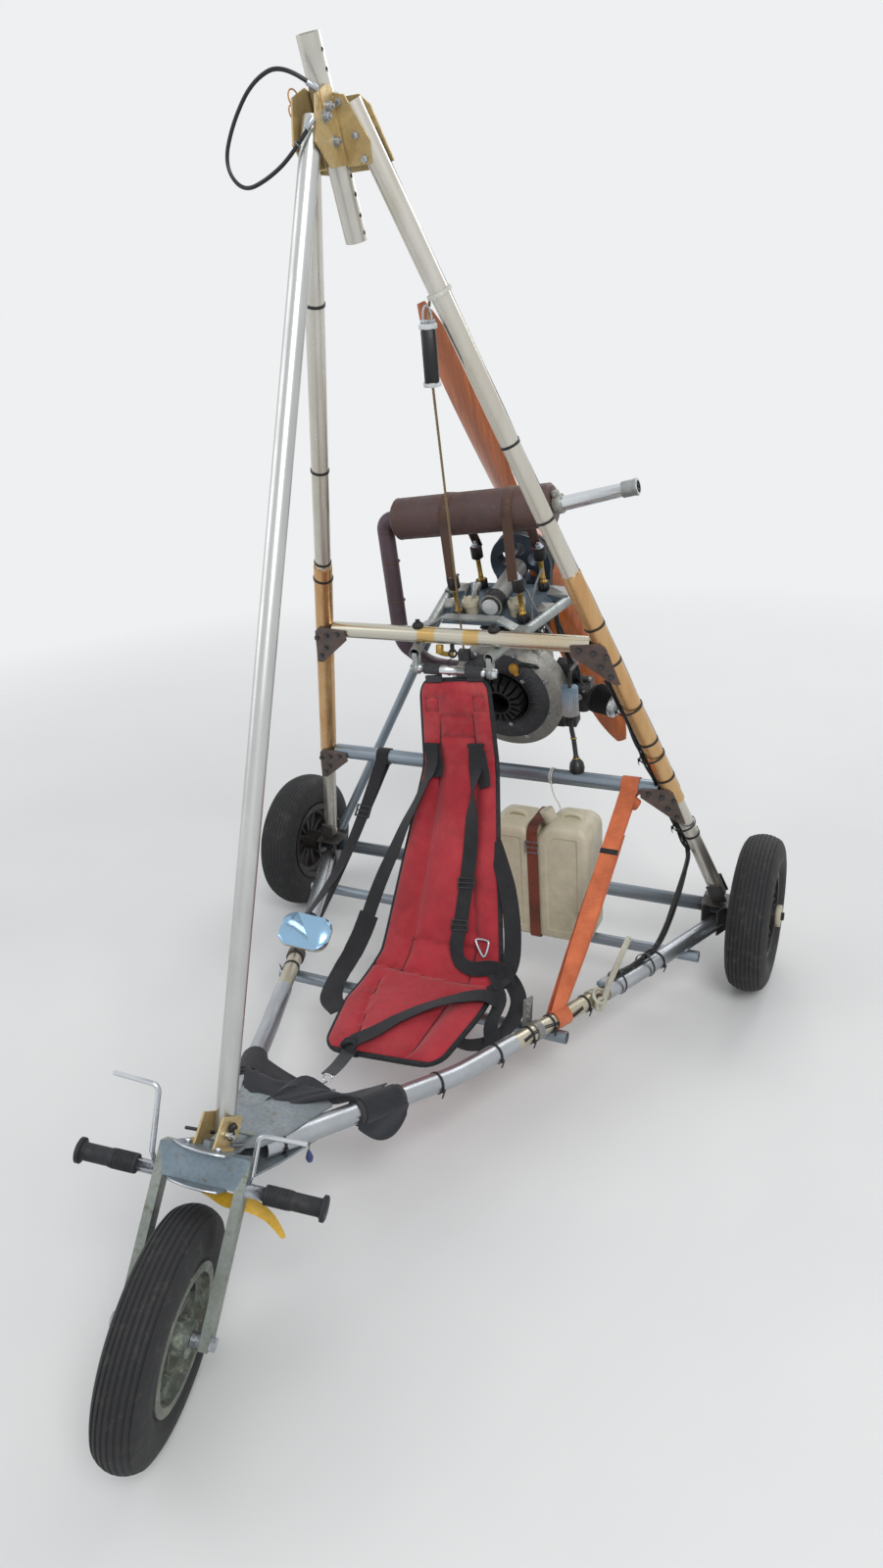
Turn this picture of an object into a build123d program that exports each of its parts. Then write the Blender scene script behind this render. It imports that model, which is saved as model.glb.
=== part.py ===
import os
from math import asin, atan2, cos, degrees, hypot, pi, radians, sin, sqrt, tan

from build123d import *

os.makedirs("parts", exist_ok=True)

# A three wheeled paramotor trike: one steered nose wheel, two rear wheels, a pyramid of
# aluminium tubes, a hammock seat and an engine that drives a wooden pusher propeller.
# Millimetres. X is to the vehicle's left, Y to the rear, Z up. The ground is Z = 0.

# Fore and aft place of the frame's datum line from the middle of the whole length
datum_y = -96

# Clearance between neighbouring pieces that don't turn on each other
fit_gap = 0.3
# Radial clearance of pins and shafts in their bores
pin_gap = 0.05

# Wheels
wheel_r = 197
tyre_w = 98
front_wheel_r = 191
front_tyre_w = 82
rim_r = 104
half_track = 662
rear_axle_y = datum_y + 730

# Tubes: outer diameters and wall
wall = 2
upright_d = 36
strut_d = 34
rail_d = 40
cross_d = 37
axle_d = 36
floor_d = 28
bearer_d = 25
hang_d = 38
sleeve_wall = 3

# Main points of the frame, vehicle's left side where there are two
head_z = 1919
upright_top = (39, datum_y + 156, head_z)
upright_foot = (half_track - 93, rear_axle_y - 2, wheel_r + 41)
strut_top = (0, datum_y + 100, 1895)
strut_foot = (0, datum_y - 541, 403)
hang_top = (0, datum_y + 112, 2008)
hang_low = (0, datum_y + 203, 1729)
upper_cross_z = 944
lower_cross_z = 561
sleeve_top_z = 1109
sleeve_low_z = 534
rail_nose = (42, datum_y - 505, 345)
rail_front_bend = (222, datum_y - 121, 240)
rail_rear_bend = (440, datum_y + 399, 178)
rail_end = (half_track - 92, rear_axle_y - 32, wheel_r - 27)
rail_bend_r = 500
rail_joint_front_y = datum_y + 30
rail_joint_rear_y = datum_y + 300
rail_joint_overlap = 60

sides = (("left", 1), ("right", -1))


def save(builder, label):
    builder.part.label = label
    export_step(builder.part, f"parts/{label}.step")


def mirrored(point, side):
    return (point[0] * side, point[1], point[2])


def between(a, b, t):
    return tuple(a[i] + (b[i] - a[i]) * t for i in range(3))


def distance(a, b):
    return sqrt(sum((a[i] - b[i]) ** 2 for i in range(3)))


def at_height(a, b, z):
    return between(a, b, (z - a[2]) / (b[2] - a[2]))


def at_station(a, b, y):
    return between(a, b, (y - a[1]) / (b[1] - a[1]))


# A straight round tube or rod from point a to point b; wall 0 makes it solid
def straight_tube(a, b, outer_d, tube_wall=0, mode=Mode.ADD):
    run = Vector(*b) - Vector(*a)
    with BuildSketch(Plane(origin=a, z_dir=run)) as section:
        Circle(outer_d / 2)
        if tube_wall:
            Circle(outer_d / 2 - tube_wall, mode=Mode.SUBTRACT)
    extrude(section.sketch, amount=run.length, mode=mode)


# A round tube or rod along straight runs joined by arcs
def bent_tube(points, radii, outer_d, tube_wall=0):
    with BuildLine() as route:
        FilletPolyline(*points, radius=radii)
    with BuildSketch(Plane(origin=route.line @ 0, z_dir=route.line % 0)) as section:
        Circle(outer_d / 2)
        if tube_wall:
            Circle(outer_d / 2 - tube_wall, mode=Mode.SUBTRACT)
    sweep(section.sketch, path=route.line)


# A box of given sizes on a plane placed anywhere
def box_at(place, size, mode=Mode.ADD):
    with Locations(place):
        Box(*size, mode=mode)


# Pyramid of tubes
# The two uprights lie in one leaning plane; its normal points forward and up
lean_run = Vector(0, upright_foot[1] - upright_top[1], upright_foot[2] - upright_top[2])
lean_down = lean_run.normalized()
lean_normal = Vector(0, lean_down.Z, -lean_down.Y)


def upright_at(z, side=1):
    return mirrored(at_height(upright_top, upright_foot, z), side)


# Plane parallel to the uprights' plane at a height, moved forward by an offset
def lean_plane(z, offset):
    middle = upright_at(z)
    origin = Vector(0, middle[1], z) + lean_normal * offset
    return Plane(origin=origin, x_dir=(1, 0, 0), z_dir=lean_normal)


strut_pin_d = 8
strut_pin = between(strut_foot, strut_top, 0.0075)[1:]
with BuildPart() as strut:
    straight_tube(strut_foot, strut_top, strut_d, wall)
    straight_tube(
        (-strut_d, *strut_pin), (strut_d, *strut_pin), strut_pin_d + 2 * pin_gap, mode=Mode.SUBTRACT
    )
save(strut, "strut")

for side_name, side in sides:
    with BuildPart() as upright:
        straight_tube(mirrored(upright_top, side), mirrored(upright_foot, side), upright_d, wall)
    save(upright, f"upright_{side_name}")

# Bronze tinted sleeves over the lower half of both uprights
with BuildPart() as sleeves:
    for side_name, side in sides:
        straight_tube(
            upright_at(sleeve_top_z, side),
            upright_at(sleeve_low_z, side),
            upright_d + 2 * (fit_gap + sleeve_wall),
            sleeve_wall,
        )
save(sleeves, "sleeves")

sleeve_d = upright_d + 2 * (fit_gap + sleeve_wall)


# A cross tube between the sleeves at a height
def cross_ends(z):
    end = upright_at(z)
    slope = (upright_foot[0] - upright_top[0]) / (upright_top[2] - upright_foot[2])
    reach = end[0] - (sleeve_d / 2 + fit_gap) / cos(atan2(slope, 1)) - cross_d / 2 * slope
    return (-reach, end[1], z), (reach, end[1], z)


for label, z in (("upper_cross", upper_cross_z), ("lower_cross", lower_cross_z)):
    with BuildPart() as cross:
        straight_tube(*cross_ends(z), cross_d, wall)
    save(cross, label)

# Gusset plates on the front of the cross tubes and sleeves
gusset_t = 3
gusset_wide = 74
gusset_high = 84
gusset_lift = sleeve_d / 2 + fit_gap
for label, z in (("upper_gussets", upper_cross_z), ("lower_gussets", lower_cross_z)):
    with BuildPart() as gussets:
        for side_name, side in sides:
            corner = upright_at(z)[0] + 6
            low = upright_at(z - gusset_high)[0] + 8
            with BuildSketch(lean_plane(z, gusset_lift)) as plate:
                with BuildLine():
                    Polyline(
                        (side * (corner - gusset_wide), 12),
                        (side * (corner - 8), 20),
                        (side * (corner + 6), 8),
                        (side * low, -gusset_high),
                        (side * (low - 16), -gusset_high),
                        (side * (corner - gusset_wide), -14),
                        close=True,
                    )
                make_face()
            extrude(plate.sketch, amount=gusset_t)
    save(gussets, label)

# Hang tube between the uprights' tops, with its row of cross bores
hang_wall = 3
hang_bore_d = 8
hang_bores_z = (1741, 1766, 1796, 1822, 1961, 1985)
with BuildPart() as hang_tube:
    straight_tube(hang_low, hang_top, hang_d, hang_wall)
    for z in hang_bores_z:
        middle = at_height(hang_low, hang_top, z)
        straight_tube(
            (-hang_d, middle[1], z), (hang_d, middle[1], z), hang_bore_d, mode=Mode.SUBTRACT
        )
save(hang_tube, "hang_tube")

# Folded side plates that hold the strut's top, the hang tube and the uprights
plate_t = 3
head_plate_in = hang_d / 2 + fit_gap
head_front_y = strut_top[1] - 34
with BuildPart() as head_plates:
    for side_name, side in sides:
        with BuildSketch(Plane.YZ.offset(side * (head_plate_in + plate_t / 2))) as cheek:
            with BuildLine():
                Polyline(
                    (head_front_y, head_z - 60),
                    (head_front_y + 12, head_z + 4),
                    (head_front_y + 52, head_z + 22),
                    (upright_top[1] - 24, head_z + 18),
                    (upright_top[1] - 12, head_z - 40),
                    (upright_top[1] + 2, head_z - 84),
                    (head_front_y + 40, head_z - 92),
                    close=True,
                )
            make_face()
        extrude(cheek.sketch, amount=plate_t / 2, both=True)
        # Flange folded outward over the front of the upright
        with BuildSketch(lean_plane(head_z, upright_d / 2 + fit_gap)) as flange:
            with BuildLine():
                Polyline(
                    (side * head_plate_in, 20),
                    (side * (head_plate_in + 22), 14),
                    (side * (head_plate_in + 50), -52),
                    (side * (head_plate_in + 44), -84),
                    (side * head_plate_in, -84),
                    close=True,
                )
            make_face()
        extrude(flange.sketch, amount=plate_t)
    # Grey plate on the rear of both uprights' tops
    with BuildSketch(lean_plane(head_z, -(upright_d / 2 + fit_gap))) as back_plate:
        with BuildLine():
            Polyline(
                (-46, 6), (46, 6), (62, -10), (84, -92), (40, -100), (-40, -100), (-84, -92), (-62, -10),
                close=True,
            )
        make_face()
    extrude(back_plate.sketch, amount=-plate_t)
save(head_plates, "head_plates")

# Base frame
stub_d = 20
hub_w = 92
hub_side_gap = 1
cap_d = 54
cap_t = 12
stub_end_x = half_track + hub_w / 2 + cap_t + 8
axle_half = half_track - tyre_w / 2 - 14
with BuildPart() as axle:
    straight_tube(
        (-axle_half, rear_axle_y, wheel_r), (axle_half, rear_axle_y, wheel_r), axle_d, wall
    )
    for side_name, side in sides:
        straight_tube(
            (side * (axle_half - 60), rear_axle_y, wheel_r),
            (side * axle_half, rear_axle_y, wheel_r),
            axle_d - 2,
        )
        straight_tube(
            (side * axle_half, rear_axle_y, wheel_r),
            (side * stub_end_x, rear_axle_y, wheel_r),
            stub_d,
        )
        cap_start = side * (half_track + hub_w / 2 + hub_side_gap)
        straight_tube(
            (cap_start, rear_axle_y, wheel_r), (cap_start + side * cap_t, rear_axle_y, wheel_r), cap_d
        )
        collar_end = side * (half_track - hub_w / 2 - hub_side_gap)
        straight_tube((side * axle_half, rear_axle_y, wheel_r), (collar_end, rear_axle_y, wheel_r), 28)
save(axle, "axle")

rail_path = (rail_nose, rail_front_bend, rail_rear_bend, rail_end)
joint_run = (rail_front_bend, rail_rear_bend)
rail_joint_d = rail_d - 2 * (wall + fit_gap)
for side_name, side in sides:
    front_end = at_station(*joint_run, rail_joint_front_y)
    with BuildPart() as rail_front:
        bent_tube(
            [mirrored(p, side) for p in (rail_nose, rail_front_bend, front_end)],
            rail_bend_r, rail_d, wall,
        )
    save(rail_front, f"rail_front_{side_name}")
    rear_start = at_station(*joint_run, rail_joint_rear_y)
    with BuildPart() as rail_rear:
        bent_tube(
            [mirrored(p, side) for p in (rear_start, rail_rear_bend, rail_end)],
            rail_bend_r, rail_d, wall,
        )
    save(rail_rear, f"rail_rear_{side_name}")
with BuildPart() as rail_joints:
    for side_name, side in sides:
        straight_tube(
            mirrored(at_station(*joint_run, rail_joint_front_y - rail_joint_overlap), side),
            mirrored(at_station(*joint_run, rail_joint_rear_y + rail_joint_overlap), side),
            rail_joint_d, wall,
        )
save(rail_joints, "rail_joints")


def rail_at(y, side=1):
    for a, b in zip(rail_path, rail_path[1:]):
        if y <= b[1]:
            break
    return mirrored(at_station(a, b, y), side)


# Black rubber sleeves on the front rails
grip_wall = 4
grip_stations = (datum_y - 335, datum_y - 245)
with BuildPart() as rail_grips:
    for side_name, side in sides:
        straight_tube(
            rail_at(grip_stations[0], side), rail_at(grip_stations[1], side),
            rail_d + 2 * (fit_gap + grip_wall), grip_wall,
        )
save(rail_grips, "rail_grips")

# Floor tubes that run across under the rails
floor_rear_y = datum_y + 577
floor_front_y = datum_y + 135
floor_rear_z = rail_at(floor_rear_y)[2] - rail_d / 2 - floor_d / 2 - fit_gap
floor_front_z = rail_at(floor_front_y)[2] - rail_joint_d / 2 - floor_d / 2 - fit_gap
floor_overhang = 36
for label, y, z in (
    ("floor_tube_rear", floor_rear_y, floor_rear_z),
    ("floor_tube_front", floor_front_y, floor_front_z),
):
    reach = rail_at(y)[0] + floor_overhang
    with BuildPart() as floor_tube:
        straight_tube((-reach, y, z), (reach, y, z), floor_d, wall)
    save(floor_tube, label)

# Engine frame of reference
# The engine and the propeller shaft lean so that the propeller is square to the uprights
engine_tilt = 15
engine_origin = Vector(0, datum_y + 699, 958)
thrust_dir = Vector(0, cos(radians(engine_tilt)), sin(radians(engine_tilt)))
engine_up = Vector(0, -sin(radians(engine_tilt)), cos(radians(engine_tilt)))


def in_engine(x, y, z):
    point = engine_origin + Vector(x, 0, 0) + thrust_dir * y + engine_up * z
    return (point.X, point.Y, point.Z)


# Place with X left, Y rearward along the shaft and Z up, all leaned
def engine_place(x, y, z):
    return Plane(origin=in_engine(x, y, z), x_dir=(1, 0, 0), z_dir=engine_up)


# Sketch plane square to the shaft that looks forward: local x left, local y up
def engine_face(y, z=0):
    return Plane(origin=in_engine(0, y, z), x_dir=(1, 0, 0), z_dir=thrust_dir * -1)


# Bearers from under the upper cross tube back to the rear braces
bearer_front = (92, datum_y + 455, upper_cross_z - 36)
bearer_rear = (175, datum_y + 862, 960)
brace_low = (half_track - 116, rear_axle_y + 24, wheel_r + 45)

# The bearers carry a hat shaped cross member in front of the engine
hat_y = datum_y + 592
hat_foot_z = 936
hat_top_z = 956
with BuildPart() as bearers:
    for side_name, side in sides:
        straight_tube(mirrored(bearer_front, side), mirrored(bearer_rear, side), bearer_d, wall)
    with BuildSketch(Plane.XZ.offset(-hat_y)) as hat:
        with BuildLine():
            Polyline(
                (-134, hat_foot_z), (-112, hat_foot_z), (-76, hat_top_z), (64, hat_top_z),
                (104, hat_foot_z), (134, hat_foot_z), (134, hat_foot_z + 4), (106, hat_foot_z + 4),
                (66, hat_top_z + 4), (-78, hat_top_z + 4), (-114, hat_foot_z + 4),
                (-134, hat_foot_z + 4), close=True,
            )
        make_face()
    extrude(hat.sketch, amount=20, both=True)
save(bearers, "bearers")

brace_d = 25
brace_high = between(bearer_rear, brace_low, 0.045)
with BuildPart() as braces:
    for side_name, side in sides:
        straight_tube(mirrored(brace_high, side), mirrored(brace_low, side), brace_d, wall)
save(braces, "braces")

# Brackets at the axle's ends: cheeks round the rail's end, base and ears for the upright
bracket_t = 4
base_z = wheel_r + axle_d / 2 + fit_gap
rail_dir = Vector(*rail_end) - Vector(*rail_rear_bend)
rail_yaw = degrees(atan2(rail_dir.X, rail_dir.Y))
with BuildPart() as axle_brackets:
    for side_name, side in sides:
        with Locations(Location((side * (rail_end[0] - 4), rear_axle_y - 4, base_z + bracket_t / 2))):
            Box(72, 66, bracket_t)
        for across in (-1, 1):
            shift = across * (rail_d / 2 + fit_gap + bracket_t / 2)
            cheek_mid = (
                side * (rail_end[0] + 4) + shift * cos(radians(rail_yaw)),
                rear_axle_y - 12 - shift * side * sin(radians(rail_yaw)),
                0,
            )
            cheek_low = rail_end[2] - 22
            with Locations(
                Location(
                    (cheek_mid[0], cheek_mid[1], (cheek_low + base_z + bracket_t) / 2),
                    (0, 0, -side * rail_yaw),
                )
            ):
                Box(bracket_t, 88, base_z + bracket_t - cheek_low)
        foot = mirrored(upright_foot, side)
        head = mirrored(upright_top, side)
        axis = (Vector(*head) - Vector(*foot)).normalized()
        for fore in (-1, 1):
            ear = Plane(origin=foot, x_dir=(0, 1, 0), z_dir=axis)
            offset = fore * (upright_d / 2 + fit_gap + bracket_t / 2)
            with Locations(ear.location * Location((offset, 0, 16))):
                Box(bracket_t, 34, 58)
    straight_tube(
        (-axle_half - 40, rear_axle_y, wheel_r), (axle_half + 40, rear_axle_y, wheel_r),
        axle_d + 2 * fit_gap, mode=Mode.SUBTRACT,
    )
    for side_name, side in sides:
        straight_tube(
            mirrored(between(upright_foot, upright_top, -0.004), side),
            mirrored(between(upright_foot, upright_top, 0.06), side),
            upright_d + 2 * fit_gap, mode=Mode.SUBTRACT,
        )
        straight_tube(
            mirrored(between(brace_low, bearer_rear, -0.012), side),
            mirrored(between(brace_low, bearer_rear, 0.1), side),
            brace_d + 2 * fit_gap, mode=Mode.SUBTRACT,
        )
        straight_tube(
            mirrored(rail_rear_bend, side), mirrored(between(rail_rear_bend, rail_end, 1.002), side),
            rail_d + 2 * fit_gap, mode=Mode.SUBTRACT,
        )
save(axle_brackets, "axle_brackets")

# Nose
# The steering axis leans back; the fork stands parked with its wheel turned to the left
steer_rake = 38.3
parked_turn = 18.3
pivot = (0, datum_y - 599, 381)
steer_dir = Vector(0, sin(radians(steer_rake)), cos(radians(steer_rake)))
steer_plane = Plane(origin=pivot, x_dir=(1, 0, 0), z_dir=steer_dir)
fork_plane = Plane(steer_plane.location * Location((0, 0, 0), (0, 0, parked_turn)))
rail_slope = degrees(atan2(rail_nose[2] - rail_front_bend[2], rail_front_bend[1] - rail_nose[1]))

# Fork: crown block between two flat bars, foot pegs and hooks
crown_half = 61
crown_front = 19
crown_rear = 9
crown_bevel = 15
crown_high = 51
blade_t = 16
blade_w = 35
blade_x = crown_half + blade_t / 2
fork_len = 253.8
fork_lead = 11
blade_below = 12
pivot_d = 14
axle_bolt_d = 14
peg_d = 22
peg_ahead = 5
peg_up = -22
peg_reach = 204
hook_d = 8
hook_ahead = 57
hook_reach = 166
hook_rises = (("left", 1, 74), ("right", -1, 114))


# Point in the parked fork: to its left, ahead of the steering axis, up along the axis
def in_fork(x, ahead, up):
    place = fork_plane.from_local_coords((x, -ahead, up))
    return (place.X, place.Y, place.Z)


# Point in the frame's middle plane: behind the steering axis and up along it
def steer_yz(behind, up):
    place = steer_plane.from_local_coords((0, behind, up))
    return (place.Y, place.Z)


# Two plates over and under the crown, folded to run along the front rails
nose_plate_t = 4
plate_level = crown_high / 2 + fit_gap
rail_level = rail_d / 2 + fit_gap
rail_start = steer_plane.to_local_coords(Vector(0, rail_nose[1], rail_nose[2]))
rail_behind, rail_up = rail_start.Y, rail_start.Z
fold = steer_rake - rail_slope
nose_reach = 250
bolt_head_t = 9


# Height of a line that runs parallel to the rails at a distance above them
def rail_line(behind, level):
    return rail_up + (behind - rail_behind) * tan(radians(fold)) + level / cos(radians(fold))


# Where that line crosses the height of a plate's front part
def fold_place(level, front_level):
    return rail_behind + (front_level - rail_up - level / cos(radians(fold))) / tan(radians(fold))


with BuildPart() as nose_plates:
    for low, high, rail_low, rail_high in (
        (plate_level, plate_level + nose_plate_t, rail_level, rail_level + nose_plate_t),
        (-plate_level - nose_plate_t, -plate_level, -rail_level - nose_plate_t, -rail_level),
    ):
        with BuildSketch(Plane.YZ) as side_view:
            with BuildLine():
                Polyline(
                    steer_yz(-80, low), steer_yz(fold_place(rail_low, low), low),
                    steer_yz(nose_reach, rail_line(nose_reach, rail_low)),
                    steer_yz(nose_reach, rail_line(nose_reach, rail_high)),
                    steer_yz(fold_place(rail_high, high), high), steer_yz(-80, high), close=True,
                )
            make_face()
        extrude(side_view.sketch, amount=110, both=True)
    with BuildSketch(steer_plane) as outline:
        with BuildLine():
            ThreePointArc((50, -28), (0, -46), (-50, -28))
            Polyline(
                (-50, -28), (-50, 2), (-38, 14), (-38, 48), (-60, 64), (-74, 110), (-92, 220),
                (-60, 236), (60, 236), (92, 220), (74, 110), (60, 64), (38, 48), (38, 14), (50, 2), (50, -28),
            )
        make_face()
    extrude(outline.sketch, amount=200, both=True, mode=Mode.INTERSECT)
    bolt_end = plate_level + nose_plate_t + bolt_head_t
    straight_tube((0, *steer_yz(0, -bolt_end)), (0, *steer_yz(0, bolt_end)), pivot_d)
    for level in (plate_level + nose_plate_t, -plate_level - nose_plate_t - bolt_head_t):
        with BuildSketch(steer_plane.offset(level)) as head:
            RegularPolygon(12, 6)
        extrude(head.sketch, amount=bolt_head_t)
save(nose_plates, "nose_plates")

# Two gold angle plates and a pin that hold the strut's foot
foot_plate_t = 4
foot_plate_in = strut_d / 2 + fit_gap
foot_low = plate_level + nose_plate_t + fit_gap
with BuildPart() as strut_bracket:
    for side_name, side in sides:
        cheek_x = side * (foot_plate_in + foot_plate_t / 2)
        with BuildSketch(Plane.YZ.offset(cheek_x)) as cheek:
            with BuildLine():
                Polyline(
                    steer_yz(-18, foot_low), steer_yz(14, foot_low), steer_yz(44, foot_low + 16),
                    steer_yz(44, foot_low + 50), steer_yz(-10, foot_low + 50), close=True,
                )
            make_face()
        extrude(cheek.sketch, amount=foot_plate_t / 2, both=True)
        box_at(
            steer_plane * Location((side * (foot_plate_in + 10), 0, foot_low + foot_plate_t / 2)),
            (20, 30, foot_plate_t),
        )
    pin_half = foot_plate_in + 12
    straight_tube((-pin_half, *strut_pin), (pin_half, *strut_pin), strut_pin_d)
    straight_tube(
        (0, *steer_yz(0, plate_level)), (0, *steer_yz(0, foot_low + bolt_head_t)), 26, mode=Mode.SUBTRACT
    )
save(strut_bracket, "strut_bracket")

front_hub = in_fork(0, fork_lead, -fork_len)
with BuildPart() as fork:
    crown_side = Plane(origin=fork_plane.origin, x_dir=fork_plane.y_dir, z_dir=fork_plane.x_dir)
    with BuildSketch(crown_side) as crown:
        with BuildLine():
            Polyline(
                (-crown_front, -crown_high / 2), (crown_rear - crown_bevel, -crown_high / 2),
                (crown_rear, crown_bevel - crown_high / 2), (crown_rear, crown_high / 2),
                (-crown_front, crown_high / 2), close=True,
            )
        make_face()
    extrude(crown.sketch, amount=crown_half, both=True)
    for side_name, side in sides:
        blade_high = fork_len + blade_below + crown_high / 2
        box_at(
            fork_plane * Location(
                (side * blade_x, blade_w / 2 - crown_front, crown_high / 2 - blade_high / 2)
            ),
            (blade_t, blade_w, blade_high),
        )
        peg_foot = in_fork(side * (crown_half + blade_t - 1), peg_ahead, peg_up)
        straight_tube(peg_foot, in_fork(side * peg_reach, peg_ahead, peg_up), peg_d)
    straight_tube(
        in_fork(-100, fork_lead, -fork_len), in_fork(100, fork_lead, -fork_len),
        axle_bolt_d + 2 * pin_gap, mode=Mode.SUBTRACT,
    )
    straight_tube(
        (0, *steer_yz(0, -crown_high)), (0, *steer_yz(0, crown_high)),
        pivot_d + 2 * pin_gap, mode=Mode.SUBTRACT,
    )
    hook_x = crown_half + blade_t + hook_d / 2 - 1
    for side_name, side, rise in hook_rises:
        hook_route = [
            in_fork(side * hook_x, crown_front - 8, peg_up + 12),
            in_fork(side * (hook_x + 4), crown_front + 4, 6),
            in_fork(side * (hook_x + 8), hook_ahead, rise),
            in_fork(side * hook_reach, hook_ahead, rise + 3),
        ]
        bent_tube(hook_route, (14, 14), hook_d)
save(fork, "fork")

# Front axle with its nuts and the spacers beside the hub
nut_t = 9
with BuildPart() as front_axle:
    axle_reach = crown_half + blade_t + nut_t + fit_gap
    straight_tube(
        in_fork(-axle_reach, fork_lead, -fork_len), in_fork(axle_reach, fork_lead, -fork_len), axle_bolt_d
    )
    for side_name, side in sides:
        nut_x = side * (crown_half + blade_t + fit_gap)
        nut_plane = Plane(
            origin=in_fork(nut_x, fork_lead, -fork_len), z_dir=Vector(fork_plane.x_dir) * side
        )
        with BuildSketch(nut_plane) as nut:
            RegularPolygon(12, 6)
        extrude(nut.sketch, amount=nut_t)
        straight_tube(
            in_fork(side * (hub_w / 2 + hub_side_gap), fork_lead, -fork_len),
            in_fork(side * (crown_half - fit_gap), fork_lead, -fork_len), 26,
        )
save(front_axle, "front_axle")

# Rubber on the foot pegs: a sleeve, a wider end and a round cap
grip_in = 108
grip_wide = 154
with BuildPart() as peg_grips:
    for side_name, side in sides:
        sleeve_start = in_fork(side * grip_in, peg_ahead, peg_up)
        wide_start = in_fork(side * grip_wide, peg_ahead, peg_up)
        cap_start = in_fork(side * (peg_reach + fit_gap), peg_ahead, peg_up)
        cap_end = in_fork(side * (peg_reach + 7), peg_ahead, peg_up)
        straight_tube(sleeve_start, wide_start, peg_d + 10, 5 - fit_gap)
        straight_tube(wide_start, cap_start, peg_d + 7, 3.5 - fit_gap)
        straight_tube(cap_start, cap_end, peg_d + 20)
save(peg_grips, "peg_grips")

# Wheels
tyre_bead_r = rim_r + fit_gap
tyre_bead_half = 33
flange_high = 8
tread_drop = 11


# Ring with a rounded tyre section, turned about the wheel's axle
def tyre_body(place, r, width):
    half = width / 2
    tread_half = 0.76 * half
    tread_r = r - tread_drop
    wall_r = tyre_bead_r + flange_high + 1
    with BuildSketch(Plane.XY) as section:
        with BuildLine():
            Line((-tyre_bead_half, tyre_bead_r), (tyre_bead_half, tyre_bead_r))
            Line((tyre_bead_half, tyre_bead_r), (tyre_bead_half, wall_r))
            ThreePointArc((tyre_bead_half, wall_r), (half, (wall_r + tread_r) / 2), (tread_half, tread_r))
            ThreePointArc((tread_half, tread_r), (0, r), (-tread_half, tread_r))
            ThreePointArc((-tread_half, tread_r), (-half, (wall_r + tread_r) / 2), (-tyre_bead_half, wall_r))
            Line((-tyre_bead_half, wall_r), (-tyre_bead_half, tyre_bead_r))
        make_face()
    ring = revolve(section.sketch, axis=Axis.X, revolution_arc=360, mode=Mode.PRIVATE)
    add(ring.moved(place.location))


# Spoked rim: outer channel, twelve spokes and a hub with a bore
spoke_count = 12
spoke_t = 9
spoke_w = 22
hub_d = 56
channel_wall = 8
channel_deep = 20


def rim_body(place, bore_d):
    lip = tyre_bead_half + fit_gap
    base_r = rim_r - channel_deep
    with BuildSketch(Plane.XY) as channel:
        with BuildLine():
            Polyline(
                (-lip - 4, rim_r + flange_high), (-lip, rim_r + flange_high), (-lip, rim_r),
                (lip, rim_r), (lip, rim_r + flange_high), (lip + 4, rim_r + flange_high),
                (lip + 4, rim_r - channel_wall), (22, rim_r - channel_wall), (18, base_r),
                (-18, base_r), (-22, rim_r - channel_wall), (-lip - 4, rim_r - channel_wall),
                close=True,
            )
        make_face()
    ring = revolve(channel.sketch, axis=Axis.X, revolution_arc=360, mode=Mode.PRIVATE)
    hub = Rot(0, 90, 0) * Cylinder(hub_d / 2, hub_w, mode=Mode.PRIVATE)
    bore = Rot(0, 90, 0) * Cylinder(bore_d / 2, hub_w + 2, mode=Mode.PRIVATE)
    spoke_run = base_r - hub_d / 2 + 8
    spoke_mid = (base_r + hub_d / 2) / 2
    wheel = ring + hub
    for index in range(spoke_count):
        spoke = Box(spoke_w, spoke_t, spoke_run, mode=Mode.PRIVATE).moved(Location((0, 0, spoke_mid)))
        wheel = wheel + Rot(360 / spoke_count * index, 0, 0) * spoke
    wheel = wheel - bore
    add(wheel.moved(place.location))


front_place = Plane(origin=front_hub, x_dir=fork_plane.x_dir, z_dir=steer_dir)
left_place = Plane(origin=(half_track, rear_axle_y, wheel_r), x_dir=(1, 0, 0), z_dir=(0, 0, 1))
right_place = Plane(origin=(-half_track, rear_axle_y, wheel_r), x_dir=(1, 0, 0), z_dir=(0, 0, 1))
wheel_table = (
    ("front", front_place, front_wheel_r, front_tyre_w, axle_bolt_d),
    ("rear_left", left_place, wheel_r, tyre_w, stub_d),
    ("rear_right", right_place, wheel_r, tyre_w, stub_d),
)
for wheel_name, place, r, width, pin_d in wheel_table:
    with BuildPart() as tyre:
        tyre_body(place, r, width)
    save(tyre, f"tyre_{wheel_name}")
    with BuildPart() as rim:
        rim_body(place, pin_d + 2 * pin_gap)
    save(rim, f"rim_{wheel_name}")

# Engine
crank_z = -250
cowl_front = -20
cowl_deep = 62
cowl_r = 140
intake_deep = 44
with BuildPart() as fan_cowl:
    with BuildSketch(engine_face(cowl_front, crank_z)) as scroll:
        Circle(cowl_r)
        with Locations((12, -8)):
            Circle(cowl_r + 6)
    extrude(scroll.sketch, amount=-cowl_deep)
    with BuildSketch(engine_face(cowl_front, crank_z)) as cover:
        Circle(cowl_r - 14)
    extrude(cover.sketch, amount=8)
    with BuildSketch(engine_face(cowl_front - 8, crank_z)) as intake:
        Circle(74)
    extrude(intake.sketch, amount=-intake_deep, mode=Mode.SUBTRACT)
    box_at(engine_place(-84, cowl_front - 4, crank_z + 118), (30, 20, 26))
save(fan_cowl, "fan_cowl")

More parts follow.
